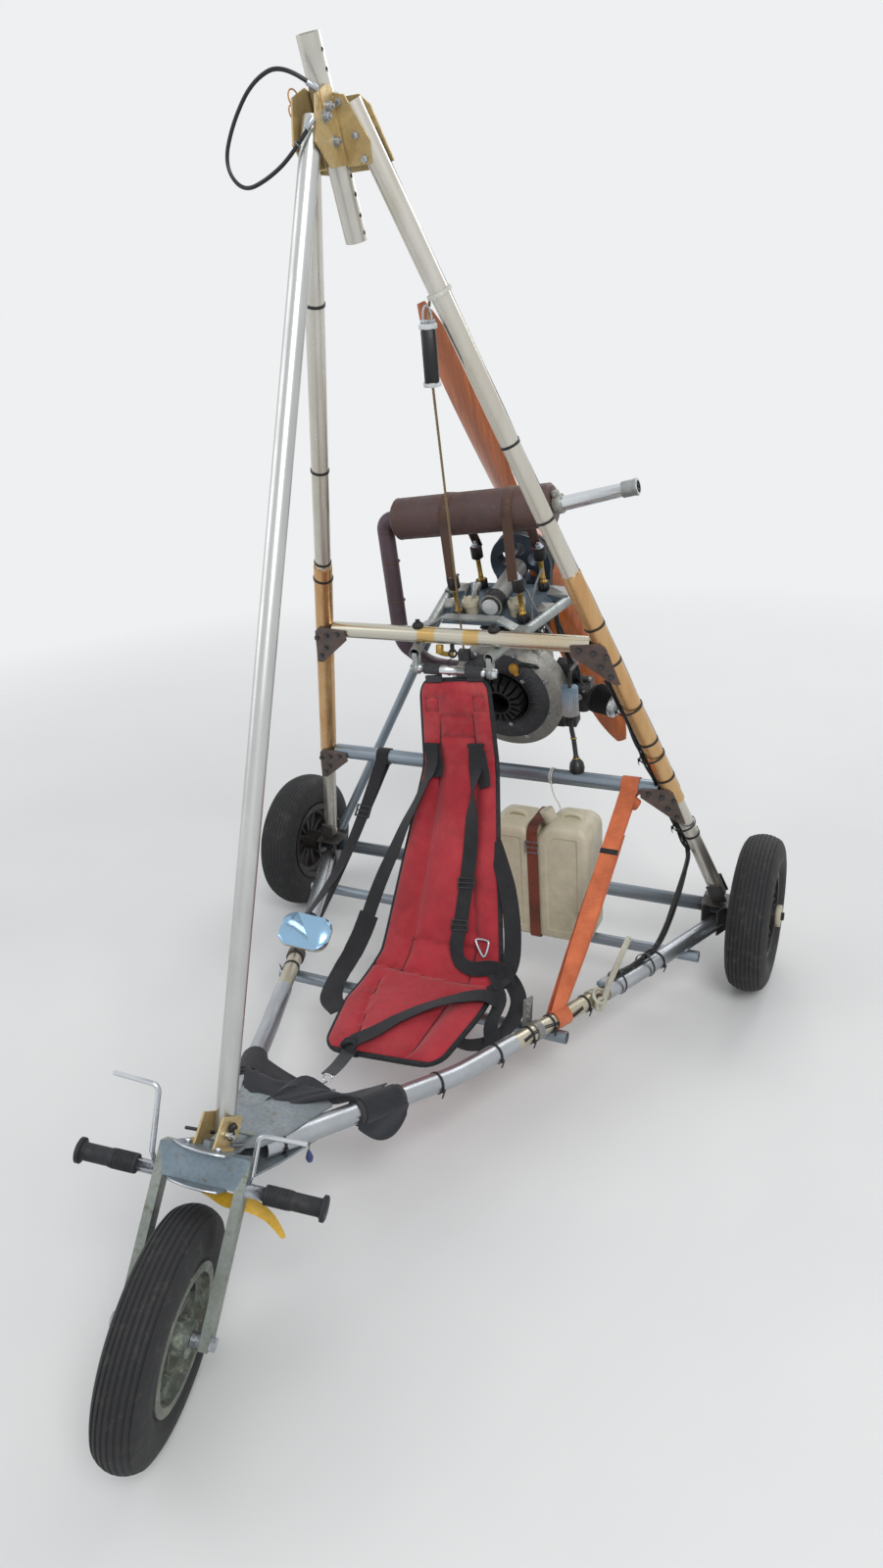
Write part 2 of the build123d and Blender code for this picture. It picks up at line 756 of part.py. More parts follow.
# Slotted starter grille that stands out of the cowl's intake
grille_slots = 18
with BuildPart() as fan_grille:
    with BuildSketch(engine_face(cowl_front + intake_deep - 8 - fit_gap, crank_z)) as base_ring:
        Circle(72)
    with BuildSketch(engine_face(cowl_front - 36, crank_z)) as nose_ring:
        Circle(58)
    loft([base_ring.sketch, nose_ring.sketch])
    with BuildSketch(engine_face(cowl_front - 37, crank_z)) as well:
        Circle(30)
    extrude(well.sketch, amount=-52, mode=Mode.SUBTRACT)
    with BuildSketch(engine_face(cowl_front - 37, crank_z)) as slots:
        with PolarLocations(50, grille_slots):
            Rectangle(30, 6)
    extrude(slots.sketch, amount=-30, mode=Mode.SUBTRACT)
save(fan_grille, "fan_grille")

block_front = cowl_front + cowl_deep + fit_gap
block_deep = 128
head_top = -62
fin_count = 9
with BuildPart() as engine:
    box_at(engine_place(0, block_front + block_deep / 2, crank_z - 10), (150, block_deep, 150))
    box_at(engine_place(0, block_front + block_deep / 2, -128), (92, 92, 130))
    for index in range(fin_count):
        box_at(
            engine_place(0, block_front + block_deep / 2, -172 + index * 11), (128, 118, 4),
        )
    box_at(engine_place(0, block_front + block_deep / 2, head_top - 9), (110, 104, 18))
    straight_tube(
        in_engine(0, block_front + block_deep - 1, crank_z),
        in_engine(0, block_front + block_deep + 16, crank_z), 60,
    )
    straight_tube(
        in_engine(0, block_front + block_deep, crank_z),
        in_engine(0, block_front + block_deep + 62, crank_z), 20,
    )
save(engine, "engine")

# Blue grey plate over the engine that joins the bearers, with the shaft's bearing housing
plate_z = -36
housing_d = 46
ear_stations = (30, 110)
shaft_d = 20
with BuildPart() as engine_plate:
    box_at(engine_place(0, 66, plate_z + 2), (250, 200, 4))
    straight_tube(in_engine(0, 30, 0), in_engine(0, 196, 0), housing_d)
    straight_tube(in_engine(0, 0, 0), in_engine(0, 34, 0), 58)
    box_at(engine_place(0, 112, -27), (54, 120, 13))
    # Ears that rest against the bearers
    for y in ear_stations:
        outer = at_station(bearer_front, bearer_rear, in_engine(0, y, plate_z)[1])[0]
        for side_name, side in sides:
            box_at(engine_place(side * (outer + 110) / 2, y, plate_z + 11), (outer - 110, 40, 22))
    for side_name, side in sides:
        straight_tube(
            mirrored(bearer_front, side), mirrored(bearer_rear, side), bearer_d + 2 * fit_gap,
            mode=Mode.SUBTRACT,
        )
    straight_tube(in_engine(0, -2, 0), in_engine(0, 14, 0), 43, mode=Mode.SUBTRACT)
    straight_tube(
        in_engine(0, 2, 0), in_engine(0, 198, 0), shaft_d + 2 * pin_gap, mode=Mode.SUBTRACT
    )
save(engine_plate, "engine_plate")

# Four rubber mounts on brass bolts that carry the silencer
mount_x = 84
mount_stations = (-10, 145)
rubber_d = 30
low_rubber = (plate_z + 4 + fit_gap, plate_z + 24)
high_rubber = (plate_z + 88, plate_z + 116)
bolt_d = 12
mount_spots = [(side * mount_x, y) for side_name, side in sides for y in mount_stations]
with BuildPart() as engine_mounts:
    for x, y in mount_spots:
        for low, high in (low_rubber, high_rubber):
            straight_tube(in_engine(x, y, low), in_engine(x, y, high), rubber_d)
        straight_tube(in_engine(x, y, low_rubber[1]), in_engine(x, y, high_rubber[0]), bolt_d)
save(engine_mounts, "engine_mounts")

# Exhaust
silencer_r = 48.5
silencer_ends = ((-226, datum_y + 685, 1165.5), (172, datum_y + 685, 1201))
silencer_wall = 2
with BuildPart() as silencer:
    straight_tube(*silencer_ends, 2 * silencer_r)
    chamfer(silencer.edges().filter_by(GeomType.CIRCLE), 7)
exhaust_d = 42
exhaust_path = (
    between(*silencer_ends, -0.002),
    (-264, datum_y + 685, 1162),
    (-258, datum_y + 705, 850),
    (-242, datum_y + 838, 742),
    (-75.3, datum_y + 838, 742),
)
with BuildPart() as exhaust_pipe:
    bent_tube(exhaust_path, (25, 90, 52), exhaust_d)
save(exhaust_pipe, "exhaust_pipe")
tail_start = between(*silencer_ends, 1.0008)
tail_bend = between(*silencer_ends, 1.07)
tail_end = (362, datum_y + 685, 1240)
with BuildPart() as tail_pipe:
    bent_tube((tail_start, tail_bend, tail_end), (60,), 30, 2)
    straight_tube(between(tail_start, tail_end, 0.9), between(tail_start, tail_end, 1.02), 35, 4)
save(tail_pipe, "tail_pipe")

strap_w = 24
strap_t = 3
strap_spots = (-mount_x + 2, mount_x - 8)
strap_ring = silencer_r - 0.5
leg_foot_z = high_rubber[1] + fit_gap
with silencer:
    for x in strap_spots:
        centre = between(
            *silencer_ends, (x - silencer_ends[0][0]) / (silencer_ends[1][0] - silencer_ends[0][0])
        )
        offset = Vector(*centre) - engine_origin
        ring_y = offset.dot(thrust_dir)
        ring_z = offset.dot(engine_up)
        side_plane = Plane(origin=in_engine(x, 0, 0), x_dir=thrust_dir, z_dir=(1, 0, 0))
        with BuildSketch(side_plane) as hoop:
            with Locations((ring_y, ring_z)):
                Circle(strap_ring + strap_t)
            with BuildLine():
                Polyline(
                    (ring_y - strap_ring - strap_t, ring_z), (mount_stations[0] - 12, leg_foot_z),
                    (mount_stations[0] + 12, leg_foot_z), (mount_stations[0] + 12, leg_foot_z + strap_t),
                    (mount_stations[0] - 8, leg_foot_z + strap_t), (ring_y - strap_ring, ring_z),
                    close=True,
                )
            make_face()
            with BuildLine():
                Polyline(
                    (ring_y + strap_ring + strap_t, ring_z), (mount_stations[1] + 12, leg_foot_z),
                    (mount_stations[1] - 12, leg_foot_z), (mount_stations[1] - 12, leg_foot_z + strap_t),
                    (mount_stations[1] + 6, leg_foot_z + strap_t), (ring_y + strap_ring, ring_z),
                    close=True,
                )
            make_face()
            with Locations((ring_y, ring_z)):
                Circle(strap_ring, mode=Mode.SUBTRACT)
            with Locations((ring_y, ring_z - strap_ring)):
                Rectangle(2 * strap_ring - 1, 2 * strap_ring - 24, mode=Mode.SUBTRACT)
        extrude(hoop.sketch, amount=strap_w / 2, both=True)
save(silencer, "silencer")

# Carburettor side, with the way from its throat to the far end of the filter
neck_run = Vector(*in_engine(290, 12, -277)) - Vector(*in_engine(226, 38, -273))
with BuildPart() as carburettor:
    straight_tube(in_engine(86, 104, -262), in_engine(172, 64, -266), 36)
    straight_tube(in_engine(75.3, 104, -262), in_engine(88, 104, -262), 48)
    box_at(engine_place(188, 54, -268), (50, 50, 56))
    straight_tube(in_engine(188, 54, -322), in_engine(188, 54, -296), 40)
    neck_start = tuple(Vector(*in_engine(226, 38, -273)) - neck_run.normalized() * 18)
    straight_tube(neck_start, in_engine(226, 38, -273), 40)
    # Round fuel filter in front of it
    straight_tube((214, datum_y + 650, 716), (216, datum_y + 640, 786), 40)
    straight_tube((214, datum_y + 650, 700), (214, datum_y + 650, 717), 14)
    # Fuel hose from the filter to the carburettor
    bent_tube(
        ((216, datum_y + 640, 785), (216, datum_y + 642, 826), (200, datum_y + 745, 812),
         in_engine(188, 54, -245)),
        (14, 24), 9,
    )
save(carburettor, "carburettor")
cone_start = tuple(Vector(*in_engine(226, 38, -273)) + neck_run.normalized() * fit_gap)
with BuildPart() as air_filter:
    with BuildSketch(Plane(origin=cone_start, z_dir=neck_run)) as wide:
        Circle(38)
    with BuildSketch(Plane(origin=in_engine(290, 12, -277), z_dir=neck_run)) as narrow:
        Circle(30)
    loft([wide.sketch, narrow.sketch])
save(air_filter, "air_filter")

# Reduction drive and propeller
belt_y = 228
belt_w = 26
big_pulley_r = 80
small_pulley_r = 40
belt_t = 8
flange_t = 3


# Grooved pulley with two flanges on the shaft line at a height; cut_holes lightens the web
def pulley_body(r, z, cut_holes):
    straight_tube(
        in_engine(0, belt_y - belt_w / 2, z), in_engine(0, belt_y + belt_w / 2, z),
        2 * (r - belt_t - fit_gap),
    )
    for start in (belt_y - belt_w / 2 - flange_t, belt_y + belt_w / 2):
        straight_tube(in_engine(0, start, z), in_engine(0, start + flange_t, z), 2 * r + 4)
    if cut_holes:
        for index in range(5):
            turn = radians(72 * index)
            x, up = 42 * sin(turn), 42 * cos(turn)
            straight_tube(
                in_engine(x, belt_y - 20, z + up), in_engine(x, belt_y + 20, z + up), 36,
                mode=Mode.SUBTRACT,
            )


crank_d = 20
with BuildPart() as crank_pulley:
    pulley_body(small_pulley_r, crank_z, False)
    straight_tube(
        in_engine(0, belt_y - 40, crank_z), in_engine(0, belt_y + 40, crank_z),
        crank_d + 2 * pin_gap, mode=Mode.SUBTRACT,
    )
save(crank_pulley, "crank_pulley")

with BuildPart() as belt:
    spread = -crank_z
    swing = degrees(asin((big_pulley_r - small_pulley_r) / spread))
    for grow, mode in ((0, Mode.ADD), (-belt_t, Mode.SUBTRACT)):
        big = big_pulley_r + grow
        small = small_pulley_r + grow
        c, s = cos(radians(swing)), sin(radians(swing))
        with BuildSketch(engine_face(belt_y - belt_w / 2 + 1)) as loop:
            with BuildLine():
                Line((-big * c, -big * s), (-small * c, crank_z - small * s))
                ThreePointArc(
                    (-small * c, crank_z - small * s), (0, crank_z - small), (small * c, crank_z - small * s)
                )
                Line((small * c, crank_z - small * s), (big * c, -big * s))
                ThreePointArc((big * c, -big * s), (0, big), (-big * c, -big * s))
            make_face()
        extrude(loop.sketch, amount=-(belt_w - 2), mode=mode)
save(belt, "belt")

prop_y = 310
hub_half = 22
clamp_r = 40
with BuildPart() as prop_shaft:
    straight_tube(in_engine(0, 8, 0), in_engine(0, prop_y + 46, 0), shaft_d)
    straight_tube(in_engine(0, -6, 0), in_engine(0, 9, 0), 38)
    for start in (prop_y - hub_half - fit_gap - 8, prop_y + hub_half + fit_gap):
        straight_tube(in_engine(0, start, 0), in_engine(0, start + 8, 0), 2 * clamp_r)
save(prop_shaft, "prop_shaft")

with BuildPart() as big_pulley:
    pulley_body(big_pulley_r, 0, True)
    straight_tube(
        in_engine(0, belt_y - 40, 0), in_engine(0, belt_y + 40, 0), shaft_d + 2 * pin_gap,
        mode=Mode.SUBTRACT,
    )
save(big_pulley, "big_pulley")

# Wooden propeller: rounded hub and two twisted blades from lens shaped sections
prop_r = 650
prop_turn = 17.6
hub_r = 55
blade_table = (
    # radius, chord, thickness, pitch angle
    (36, 56, 30, 34),
    (190, 112, 22, 30),
    (400, 104, 14, 20),
    (570, 76, 9, 15),
    (prop_r, 26, 5, 13),
)
with BuildPart() as propeller:
    straight_tube(in_engine(0, prop_y - hub_half, 0), in_engine(0, prop_y + hub_half, 0), 2 * hub_r)
    for flip in (0, 180):
        turn = radians(prop_turn + flip)
        out = Vector(-sin(turn), 0, 0) + engine_up * cos(turn)
        chordwise = out.cross(thrust_dir)
        sections = []
        for r, chord, thick, pitch in blade_table:
            swing = radians(pitch)
            along = chordwise * cos(swing) + thrust_dir * sin(swing)
            origin = engine_origin + thrust_dir * prop_y + out * r
            with BuildSketch(Plane(origin=origin, x_dir=along, z_dir=out), mode=Mode.PRIVATE) as lens:
                with BuildLine():
                    ThreePointArc((-chord / 2, 0), (0, thick / 2), (chord / 2, 0))
                    ThreePointArc((chord / 2, 0), (0, -thick / 2), (-chord / 2, 0))
                make_face()
            sections.append(lens.sketch)
        loft(sections)
    straight_tube(
        in_engine(0, prop_y - 60, 0), in_engine(0, prop_y + 60, 0), shaft_d + 2 * pin_gap,
        mode=Mode.SUBTRACT,
    )
save(propeller, "propeller")

# Seat
seat_bar_d = 20
seat_bar_y = datum_y + 464
seat_bar_z = 871

# The hammock seat hangs from the bar and has swung a little to the vehicle's left
seat_sway = 5.6
seat_t = 36
seat_frame = Location((0, 0, seat_bar_z), (0, -seat_sway, 0)) * Location((0, 0, -seat_bar_z))
# Upper surface of the seat seen from the side, from the top edge to the front edge
seat_profile = (
    (datum_y + 461, 846),
    (datum_y + 430, 650),
    (datum_y + 303, 452),
    (datum_y + 168, 242),
    (datum_y - 98, 236),
)
# Half widths of the seat at heights, seen from the front
seat_widths = ((846, 82), (640, 88), (450, 116), (260, 138), (150, 138))


def shifted_profile(points, depth):
    moved = []
    for index, point in enumerate(points):
        before = points[max(index - 1, 0)]
        after = points[min(index + 1, len(points) - 1)]
        run_y, run_z = after[0] - before[0], after[1] - before[1]
        length = hypot(run_y, run_z)
        moved.append((point[0] - run_z / length * depth, point[1] + run_y / length * depth))
    return moved


with BuildPart() as seat_pad:
    with BuildSketch(Plane.YZ) as side_view:
        with BuildLine():
            Polyline(*seat_profile, *reversed(shifted_profile(seat_profile, seat_t)), close=True)
        make_face()
    extrude(side_view.sketch, amount=200, both=True)
    with BuildSketch(Plane.XZ) as front_view:
        with BuildLine():
            Polyline(
                *[(w, z) for z, w in seat_widths], *[(-w, z) for z, w in reversed(seat_widths)],
                close=True,
            )
        make_face()
    extrude(front_view.sketch, amount=900, both=True, mode=Mode.INTERSECT)
seat_pad_placed = seat_pad.part.moved(seat_frame)
seat_pad_placed.label = "seat_pad"
export_step(seat_pad_placed, "parts/seat_pad.step")


# Flat band laid on the seat's upper surface between two distances along it
def seat_band(x, half_w, lift, thick, first, last, profile):
    low = shifted_profile(profile, -lift)[first:last]
    high = shifted_profile(profile, -lift - thick)[first:last]
    with BuildSketch(Plane.YZ.offset(x)) as band:
        with BuildLine():
            Polyline(*low, *reversed(high), close=True)
        make_face()
    extrude(band.sketch, amount=half_w, both=True)


# Shoulder straps down the back and a lap belt over the front of the seat
webbing_t = 3
with BuildPart() as harness:
    for x in (-62, 62):
        seat_band(x, 20, fit_gap, webbing_t, 1, 3, seat_profile)
    seat_band(0, 128, fit_gap, webbing_t, 3, 5, (
        *seat_profile[:3], between((datum_y - 98, 236, 0), (datum_y + 168, 242, 0), 0.62)[:2],
        between((datum_y - 98, 236, 0), (datum_y + 168, 242, 0), 0.45)[:2],
    ))
harness_placed = harness.part.moved(seat_frame)
harness_placed.label = "harness"
export_step(harness_placed, "parts/harness.step")

# Seat bar with the grey loops that hang the seat on it and the bar on the bearers
loop_w = 40
seat_tail_low = seat_profile[0][1] + fit_gap
seat_tail_high = seat_bar_z - seat_bar_d / 2 - seat_tail_low
seat_tail_z = seat_tail_low + seat_tail_high / 2
with BuildPart() as seat_bar:
    straight_tube((-106, seat_bar_y, seat_bar_z), (106, seat_bar_y, seat_bar_z), seat_bar_d)
    for side_name, side in sides:
        for start, width, thick in ((32, loop_w, webbing_t), (86, 12, 4)):
            straight_tube(
                (side * start, seat_bar_y, seat_bar_z), (side * (start + width), seat_bar_y, seat_bar_z),
                seat_bar_d + 2 * thick,
            )
        box_at(
            seat_frame * Location((side * (32 + loop_w / 2), seat_profile[0][0], seat_tail_z)),
            (loop_w, 8, seat_tail_high),
        )
        hanger_top = at_station(bearer_front, bearer_rear, seat_bar_y)[2]
        box_at(
            Location((side * 92, seat_bar_y, (seat_bar_z + hanger_top) / 2)),
            (12, 22, hanger_top - seat_bar_z),
        )
    for side_name, side in sides:
        straight_tube(
            mirrored(bearer_front, side), mirrored(bearer_rear, side), bearer_d + 2 * fit_gap,
            mode=Mode.SUBTRACT,
        )
save(seat_bar, "seat_bar")

# Black sling between the front rails on which the pilot's feet rest
sling_w = 90
sling_t = 5
sling_sag = 74
sling_y = sum(grip_stations) / 2
sling_x, sling_z = rail_at(sling_y)[0], rail_at(sling_y)[2] - rail_d / 2 - fit_gap - grip_wall - 4.7
sling_under = sling_z - sling_t
with BuildPart() as foot_sling:
    with BuildSketch(Plane.XZ.offset(-sling_y)) as sling:
        with BuildLine():
            ThreePointArc((-sling_x, sling_z), (0, sling_z - sling_sag), (sling_x, sling_z))
            Line((sling_x, sling_z), (sling_x, sling_under))
            ThreePointArc((sling_x, sling_under), (0, sling_under - sling_sag), (-sling_x, sling_under))
            Line((-sling_x, sling_under), (-sling_x, sling_z))
        make_face()
    extrude(sling.sketch, amount=sling_w / 2, both=True)
save(foot_sling, "foot_sling")


# Flat strap pulled straight between two points, with its width along X
def flat_strap(a, b, width, thick):
    run = Vector(*b) - Vector(*a)
    mid = between(a, b, 0.5)
    box_at(Plane(origin=mid, x_dir=(1, 0, 0), z_dir=run.cross(Vector(1, 0, 0))), (width, run.length, thick))


# Orange strap from the lower cross tube to the left rail, black strap on the right side
strap_thick = 2.5
lower_cross_y = upright_at(lower_cross_z)[1]
for label, side, width, top_x, low_y in (
    ("orange_strap", 1, 46, 372, datum_y + 184), ("black_strap", -1, 44, 292, datum_y + 340),
):
    rail_point = rail_at(low_y, side)
    rail_r = rail_joint_d / 2 if low_y < rail_joint_rear_y else rail_d / 2
    high = (side * top_x, lower_cross_y, lower_cross_z)
    with BuildPart() as tie_strap:
        straight_tube(
            (high[0] - width / 2, high[1], high[2]), (high[0] + width / 2, high[1], high[2]),
            cross_d + 2 * (fit_gap + strap_thick), strap_thick,
        )
        rail_run = Vector(*mirrored(rail_rear_bend, side)) - Vector(*mirrored(rail_front_bend, side))
        rail_run = rail_run.normalized()
        near = Vector(*rail_point) - rail_run * (width / 2)
        far = Vector(*rail_point) + rail_run * (width / 2)
        straight_tube(
            (near.X, near.Y, near.Z), (far.X, far.Y, far.Z),
            2 * (rail_r + fit_gap + strap_thick), strap_thick,
        )
        flat_strap(
            (high[0], high[1] - cross_d / 2 - fit_gap - 1, high[2] - 3),
            (rail_point[0], rail_point[1] + 8, rail_point[2] + rail_r + fit_gap + 1), width - 6, strap_thick,
        )
        straight_tube(
            mirrored(high, -1), (2 * high[0], high[1], high[2]), cross_d + 2 * fit_gap, mode=Mode.SUBTRACT,
        )
        near, far = near - rail_run * 60, far + rail_run * 60
        straight_tube(
            (near.X, near.Y, near.Z), (far.X, far.Y, far.Z), 2 * (rail_r + fit_gap), mode=Mode.SUBTRACT
        )
    save(tie_strap, label)

# Two plastic fuel cans side by side on the rear floor tube, and their leather belt
can_w, can_deep, can_high = 138, 128, 322
can_low = floor_rear_z + floor_d / 2 + fit_gap
can_shoulder = 40
can_spots = ((228, can_high), (84, can_high - 12))
with BuildPart() as fuel_cans:
    for x, high in can_spots:
        with BuildSketch(Plane.XZ.offset(-floor_rear_y)) as can:
            with BuildLine():
                Polyline(
                    (x - can_w / 2, can_low), (x + can_w / 2, can_low),
                    (x + can_w / 2, can_low + high - can_shoulder / 2),
                    (x + can_w / 2 - can_shoulder / 2, can_low + high),
                    (x - can_w / 2 + can_shoulder, can_low + high),
                    (x - can_w / 2, can_low + high - can_shoulder),
                    close=True,
                )
            make_face()
        extrude(can.sketch, amount=can_deep / 2, both=True)
    fillet(fuel_cans.edges().filter_by(Axis.Z), 16)
    straight_tube(
        (can_spots[0][0] - 44, floor_rear_y, can_low + can_high - 24),
        (can_spots[0][0] - 58, floor_rear_y, can_low + can_high + 14), 36,
    )
belt_w_can = 24
belt_mid_x = (can_spots[0][0] + can_spots[1][0]) / 2
with fuel_cans:
    half_x = (can_spots[0][0] - can_spots[1][0]) / 2 + can_w / 2 - 0.5
    half_y = can_deep / 2 - 0.5
    with BuildSketch(Plane.XY.offset(can_low + 150)) as belt_ring:
        with Locations((belt_mid_x, floor_rear_y)):
            RectangleRounded(2 * (half_x + 3), 2 * (half_y + 3), 19)
            RectangleRounded(2 * half_x, 2 * half_y, 16, mode=Mode.SUBTRACT)
    extrude(belt_ring.sketch, amount=belt_w_can)
save(fuel_cans, "fuel_cans")

# Mirror on a stalk from the right rail
mirror_base = rail_at(datum_y + 174, -1)
mirror_mid = (-300, datum_y + 165, 292)
mirror_plane = Plane(origin=mirror_mid, x_dir=(1, 0.1, 0), z_dir=(0.25, -0.45, 0.86))
with BuildPart() as mirror:
    with BuildSketch(mirror_plane) as glass:
        RectangleRounded(124, 88, 30)
    extrude(glass.sketch, amount=-9)
    back = mirror_plane * Location((-20, -8, -8))
    low = (mirror_base[0] + 2, mirror_base[1], mirror_base[2] + rail_joint_d / 2 + 3)
    straight_tube(low, tuple(back.position), 8)
    rail_run = (Vector(*mirrored(rail_rear_bend, -1)) - Vector(*mirrored(rail_front_bend, -1))).normalized()
    near = Vector(*mirror_base) - rail_run * 12
    far = Vector(*mirror_base) + rail_run * 12
    straight_tube(
        (near.X, near.Y, near.Z), (far.X, far.Y, far.Z), rail_joint_d + 2 * (fit_gap + 4), 4,
    )
save(mirror, "mirror")

# Ring ended hand lever and perforated plate lever beside the left rail
lever_spot = rail_at(datum_y + 262)
with BuildPart() as hand_levers:
    rail_run = (Vector(*rail_rear_bend) - Vector(*rail_front_bend)).normalized()
    across = rail_run.cross(Vector(0, 0, 1)).normalized()
    base = Vector(*lever_spot) + across * (rail_joint_d / 2 + 6)
    lever_plane = Plane(origin=base, x_dir=rail_run, z_dir=across)
    with BuildSketch(lever_plane) as lever:
        Circle(19)
        with Locations((42, 66)):
            SlotCenterToCenter(150, 16, rotation=58)
        Circle(9, mode=Mode.SUBTRACT)
    extrude(lever.sketch, amount=3, both=True)
    near = Vector(*lever_spot) - rail_run * 9
    far = Vector(*lever_spot) + rail_run * 9
    straight_tube((near.X, near.Y, near.Z), (far.X, far.Y, far.Z), rail_joint_d + 2 * (fit_gap + 3), 3)
    straight_tube(
        tuple(Vector(*lever_spot) + across * (rail_joint_d / 2 + 1)),
        tuple(Vector(*lever_spot) + across * (rail_joint_d / 2 + 6)), 22,
    )
plate_spot = rail_at(datum_y + 92)
with hand_levers:
    base = Vector(*plate_spot) - across * (rail_joint_d / 2 + 8)
    plate_plane = Plane(origin=base, x_dir=rail_run, z_dir=across)
    with BuildSketch(plate_plane) as lever:
        with Locations((0, 22)):
            Rectangle(26, 92)
        with Locations((0, -8), (0, 8), (0, 24), (0, 40), (0, 56)):
            Circle(4, mode=Mode.SUBTRACT)
    extrude(lever.sketch, amount=2, both=True)
    near = Vector(*plate_spot) - rail_run * 9
    far = Vector(*plate_spot) + rail_run * 9
    straight_tube((near.X, near.Y, near.Z), (far.X, far.Y, far.Z), rail_joint_d + 2 * (fit_gap + 3), 3)
    straight_tube(
        tuple(Vector(*plate_spot) - across * (rail_joint_d / 2 + 1)),
        tuple(Vector(*plate_spot) - across * (rail_joint_d / 2 + 8)), 18,
    )
save(hand_levers, "hand_levers")

# Starter handle hung from the left upright, and the rope pulled from it to the starter
handle_top = (99, datum_y + 254, 1588)
handle_low = (95, datum_y + 264, 1492)
with BuildPart() as starter_handle:
    handle_run = Vector(*handle_low) - Vector(*handle_top)
    handle_plane = Plane(origin=between(handle_top, handle_low, 0.5), x_dir=(1, 0.4, 0), z_dir=handle_run)
    box_at(handle_plane, (26, 34, handle_run.length))
    chamfer(starter_handle.edges(), 5)
rope_d = 5
loop_z = 1640
loop_mid = upright_at(loop_z)
rope_low = in_engine(-84, cowl_front - 4, crank_z + 134)
with starter_handle:
    straight_tube(between(handle_low, rope_low, -0.004), rope_low, rope_d)
    lift = (Vector(*upright_top) - Vector(*upright_foot)).normalized()
    inward = (Vector(-1, 0, 0) - lift * Vector(-1, 0, 0).dot(lift)).normalized()
    hang_from = tuple(Vector(*loop_mid) + inward * (upright_d / 2 + fit_gap + rope_d / 2))
    straight_tube(between(handle_top, hang_from, -0.02), hang_from, rope_d)
    low_edge = Vector(*loop_mid) - lift * 3
    high_edge = Vector(*loop_mid) + lift * 3
    straight_tube(
        (low_edge.X, low_edge.Y, low_edge.Z), (high_edge.X, high_edge.Y, high_edge.Z),
        upright_d + 2 * (fit_gap + rope_d), rope_d,
    )
save(starter_handle, "starter_rope")

# Black cable that loops freely from the head plate: where it leaves, bends and comes back
cable_d = 6.5
cable_points = (
    (20.8, datum_y + 87, 1929.9),
    (-16, datum_y + 62, 1966),
    (-76, datum_y + 60, 1952),
    (-124, datum_y + 60, 1900),
    (-148, datum_y + 58, 1846),
    (-118, datum_y + 56, 1806),
    (-66, datum_y + 54, 1818),
    (-14, datum_y + 54, 1846),
    (20.8, datum_y + 68.1, 1890),
)


# Radii that leave about a tenth of each run straight between its two arcs
def route_radii(points):
    radii = []
    for before, here, after in zip(points, points[1:], points[2:]):
        back = Vector(*before) - Vector(*here)
        ahead = Vector(*after) - Vector(*here)
        turn = 180 - back.get_angle(ahead)
        radii.append(0.45 * min(back.length, ahead.length) / tan(radians(turn / 2)))
    return radii


cable_radii = route_radii(cable_points)
print("head cable radii", [round(r, 1) for r in cable_radii])
with BuildPart() as head_cable:
    bent_tube(cable_points, cable_radii, cable_d)
with BuildLine() as cable_route:
    FilletPolyline(*cable_points, radius=cable_radii)
cable_length = sum(edge.length for edge in cable_route.edges())
print("head cable length", round(cable_length, 1))
print("head cable volume ratio", round(
    head_cable.part.volume / (pi * cable_d ** 2 / 4 * cable_length), 4
))
save(head_cable, "head_cable")
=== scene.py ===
"""Three wheeled powered hang glider trike, dressed around its fixed frame."""

import math
import random

import bmesh
import bpy
from bpy.props import FloatProperty, FloatVectorProperty, IntProperty, PointerProperty
from mathutils import Matrix, Quaternion, Vector
from mathutils.kdtree import KDTree


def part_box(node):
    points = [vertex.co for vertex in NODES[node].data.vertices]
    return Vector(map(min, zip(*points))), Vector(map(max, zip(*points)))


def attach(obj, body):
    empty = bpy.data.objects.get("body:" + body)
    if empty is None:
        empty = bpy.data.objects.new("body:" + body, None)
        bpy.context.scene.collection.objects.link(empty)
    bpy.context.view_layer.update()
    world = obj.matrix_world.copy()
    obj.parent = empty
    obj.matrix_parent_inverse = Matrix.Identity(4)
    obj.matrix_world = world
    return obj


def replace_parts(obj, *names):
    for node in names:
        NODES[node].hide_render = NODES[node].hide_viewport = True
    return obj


bl_info = {
    "name": "Powered Trike",
    "version": (1, 0, 0),
    "blender": (4, 5, 0),
    "location": "3D View > Sidebar > Powered Trike",
    "description": "Dresses the frame of a powered hang glider trike",
    "category": "Object",
}

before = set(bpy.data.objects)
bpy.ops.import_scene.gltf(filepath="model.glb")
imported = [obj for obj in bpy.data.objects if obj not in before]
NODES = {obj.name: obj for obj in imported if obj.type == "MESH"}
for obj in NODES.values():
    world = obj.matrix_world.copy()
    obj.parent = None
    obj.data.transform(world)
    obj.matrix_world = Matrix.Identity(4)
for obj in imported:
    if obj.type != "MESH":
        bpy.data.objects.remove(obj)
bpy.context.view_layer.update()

# The datum that every station along the vehicle is measured from, in millimetres and in metres
DATUM_MM = -96
DATUM = DATUM_MM / 1000
SIDES = (("left", 1), ("right", -1))
ACROSS = Vector((1, 0, 0))


def srgb(red, green, blue):
    """A colour as it is seen, 0 to 255, in the values that a shader takes."""
    return tuple(
        ((c / 255 + 0.055) / 1.055) ** 2.4 if c > 10 else c / 255 / 12.92
        for c in (red, green, blue)
    )


def colour_size(name, description, red, green, blue):
    return FloatVectorProperty(
        name=name, description=description, subtype="COLOR", size=3, min=0, max=1,
        default=srgb(red, green, blue),
    )


def length_size(name, description, default):
    return FloatProperty(name=name, description=description, default=default, unit="LENGTH", precision=4)


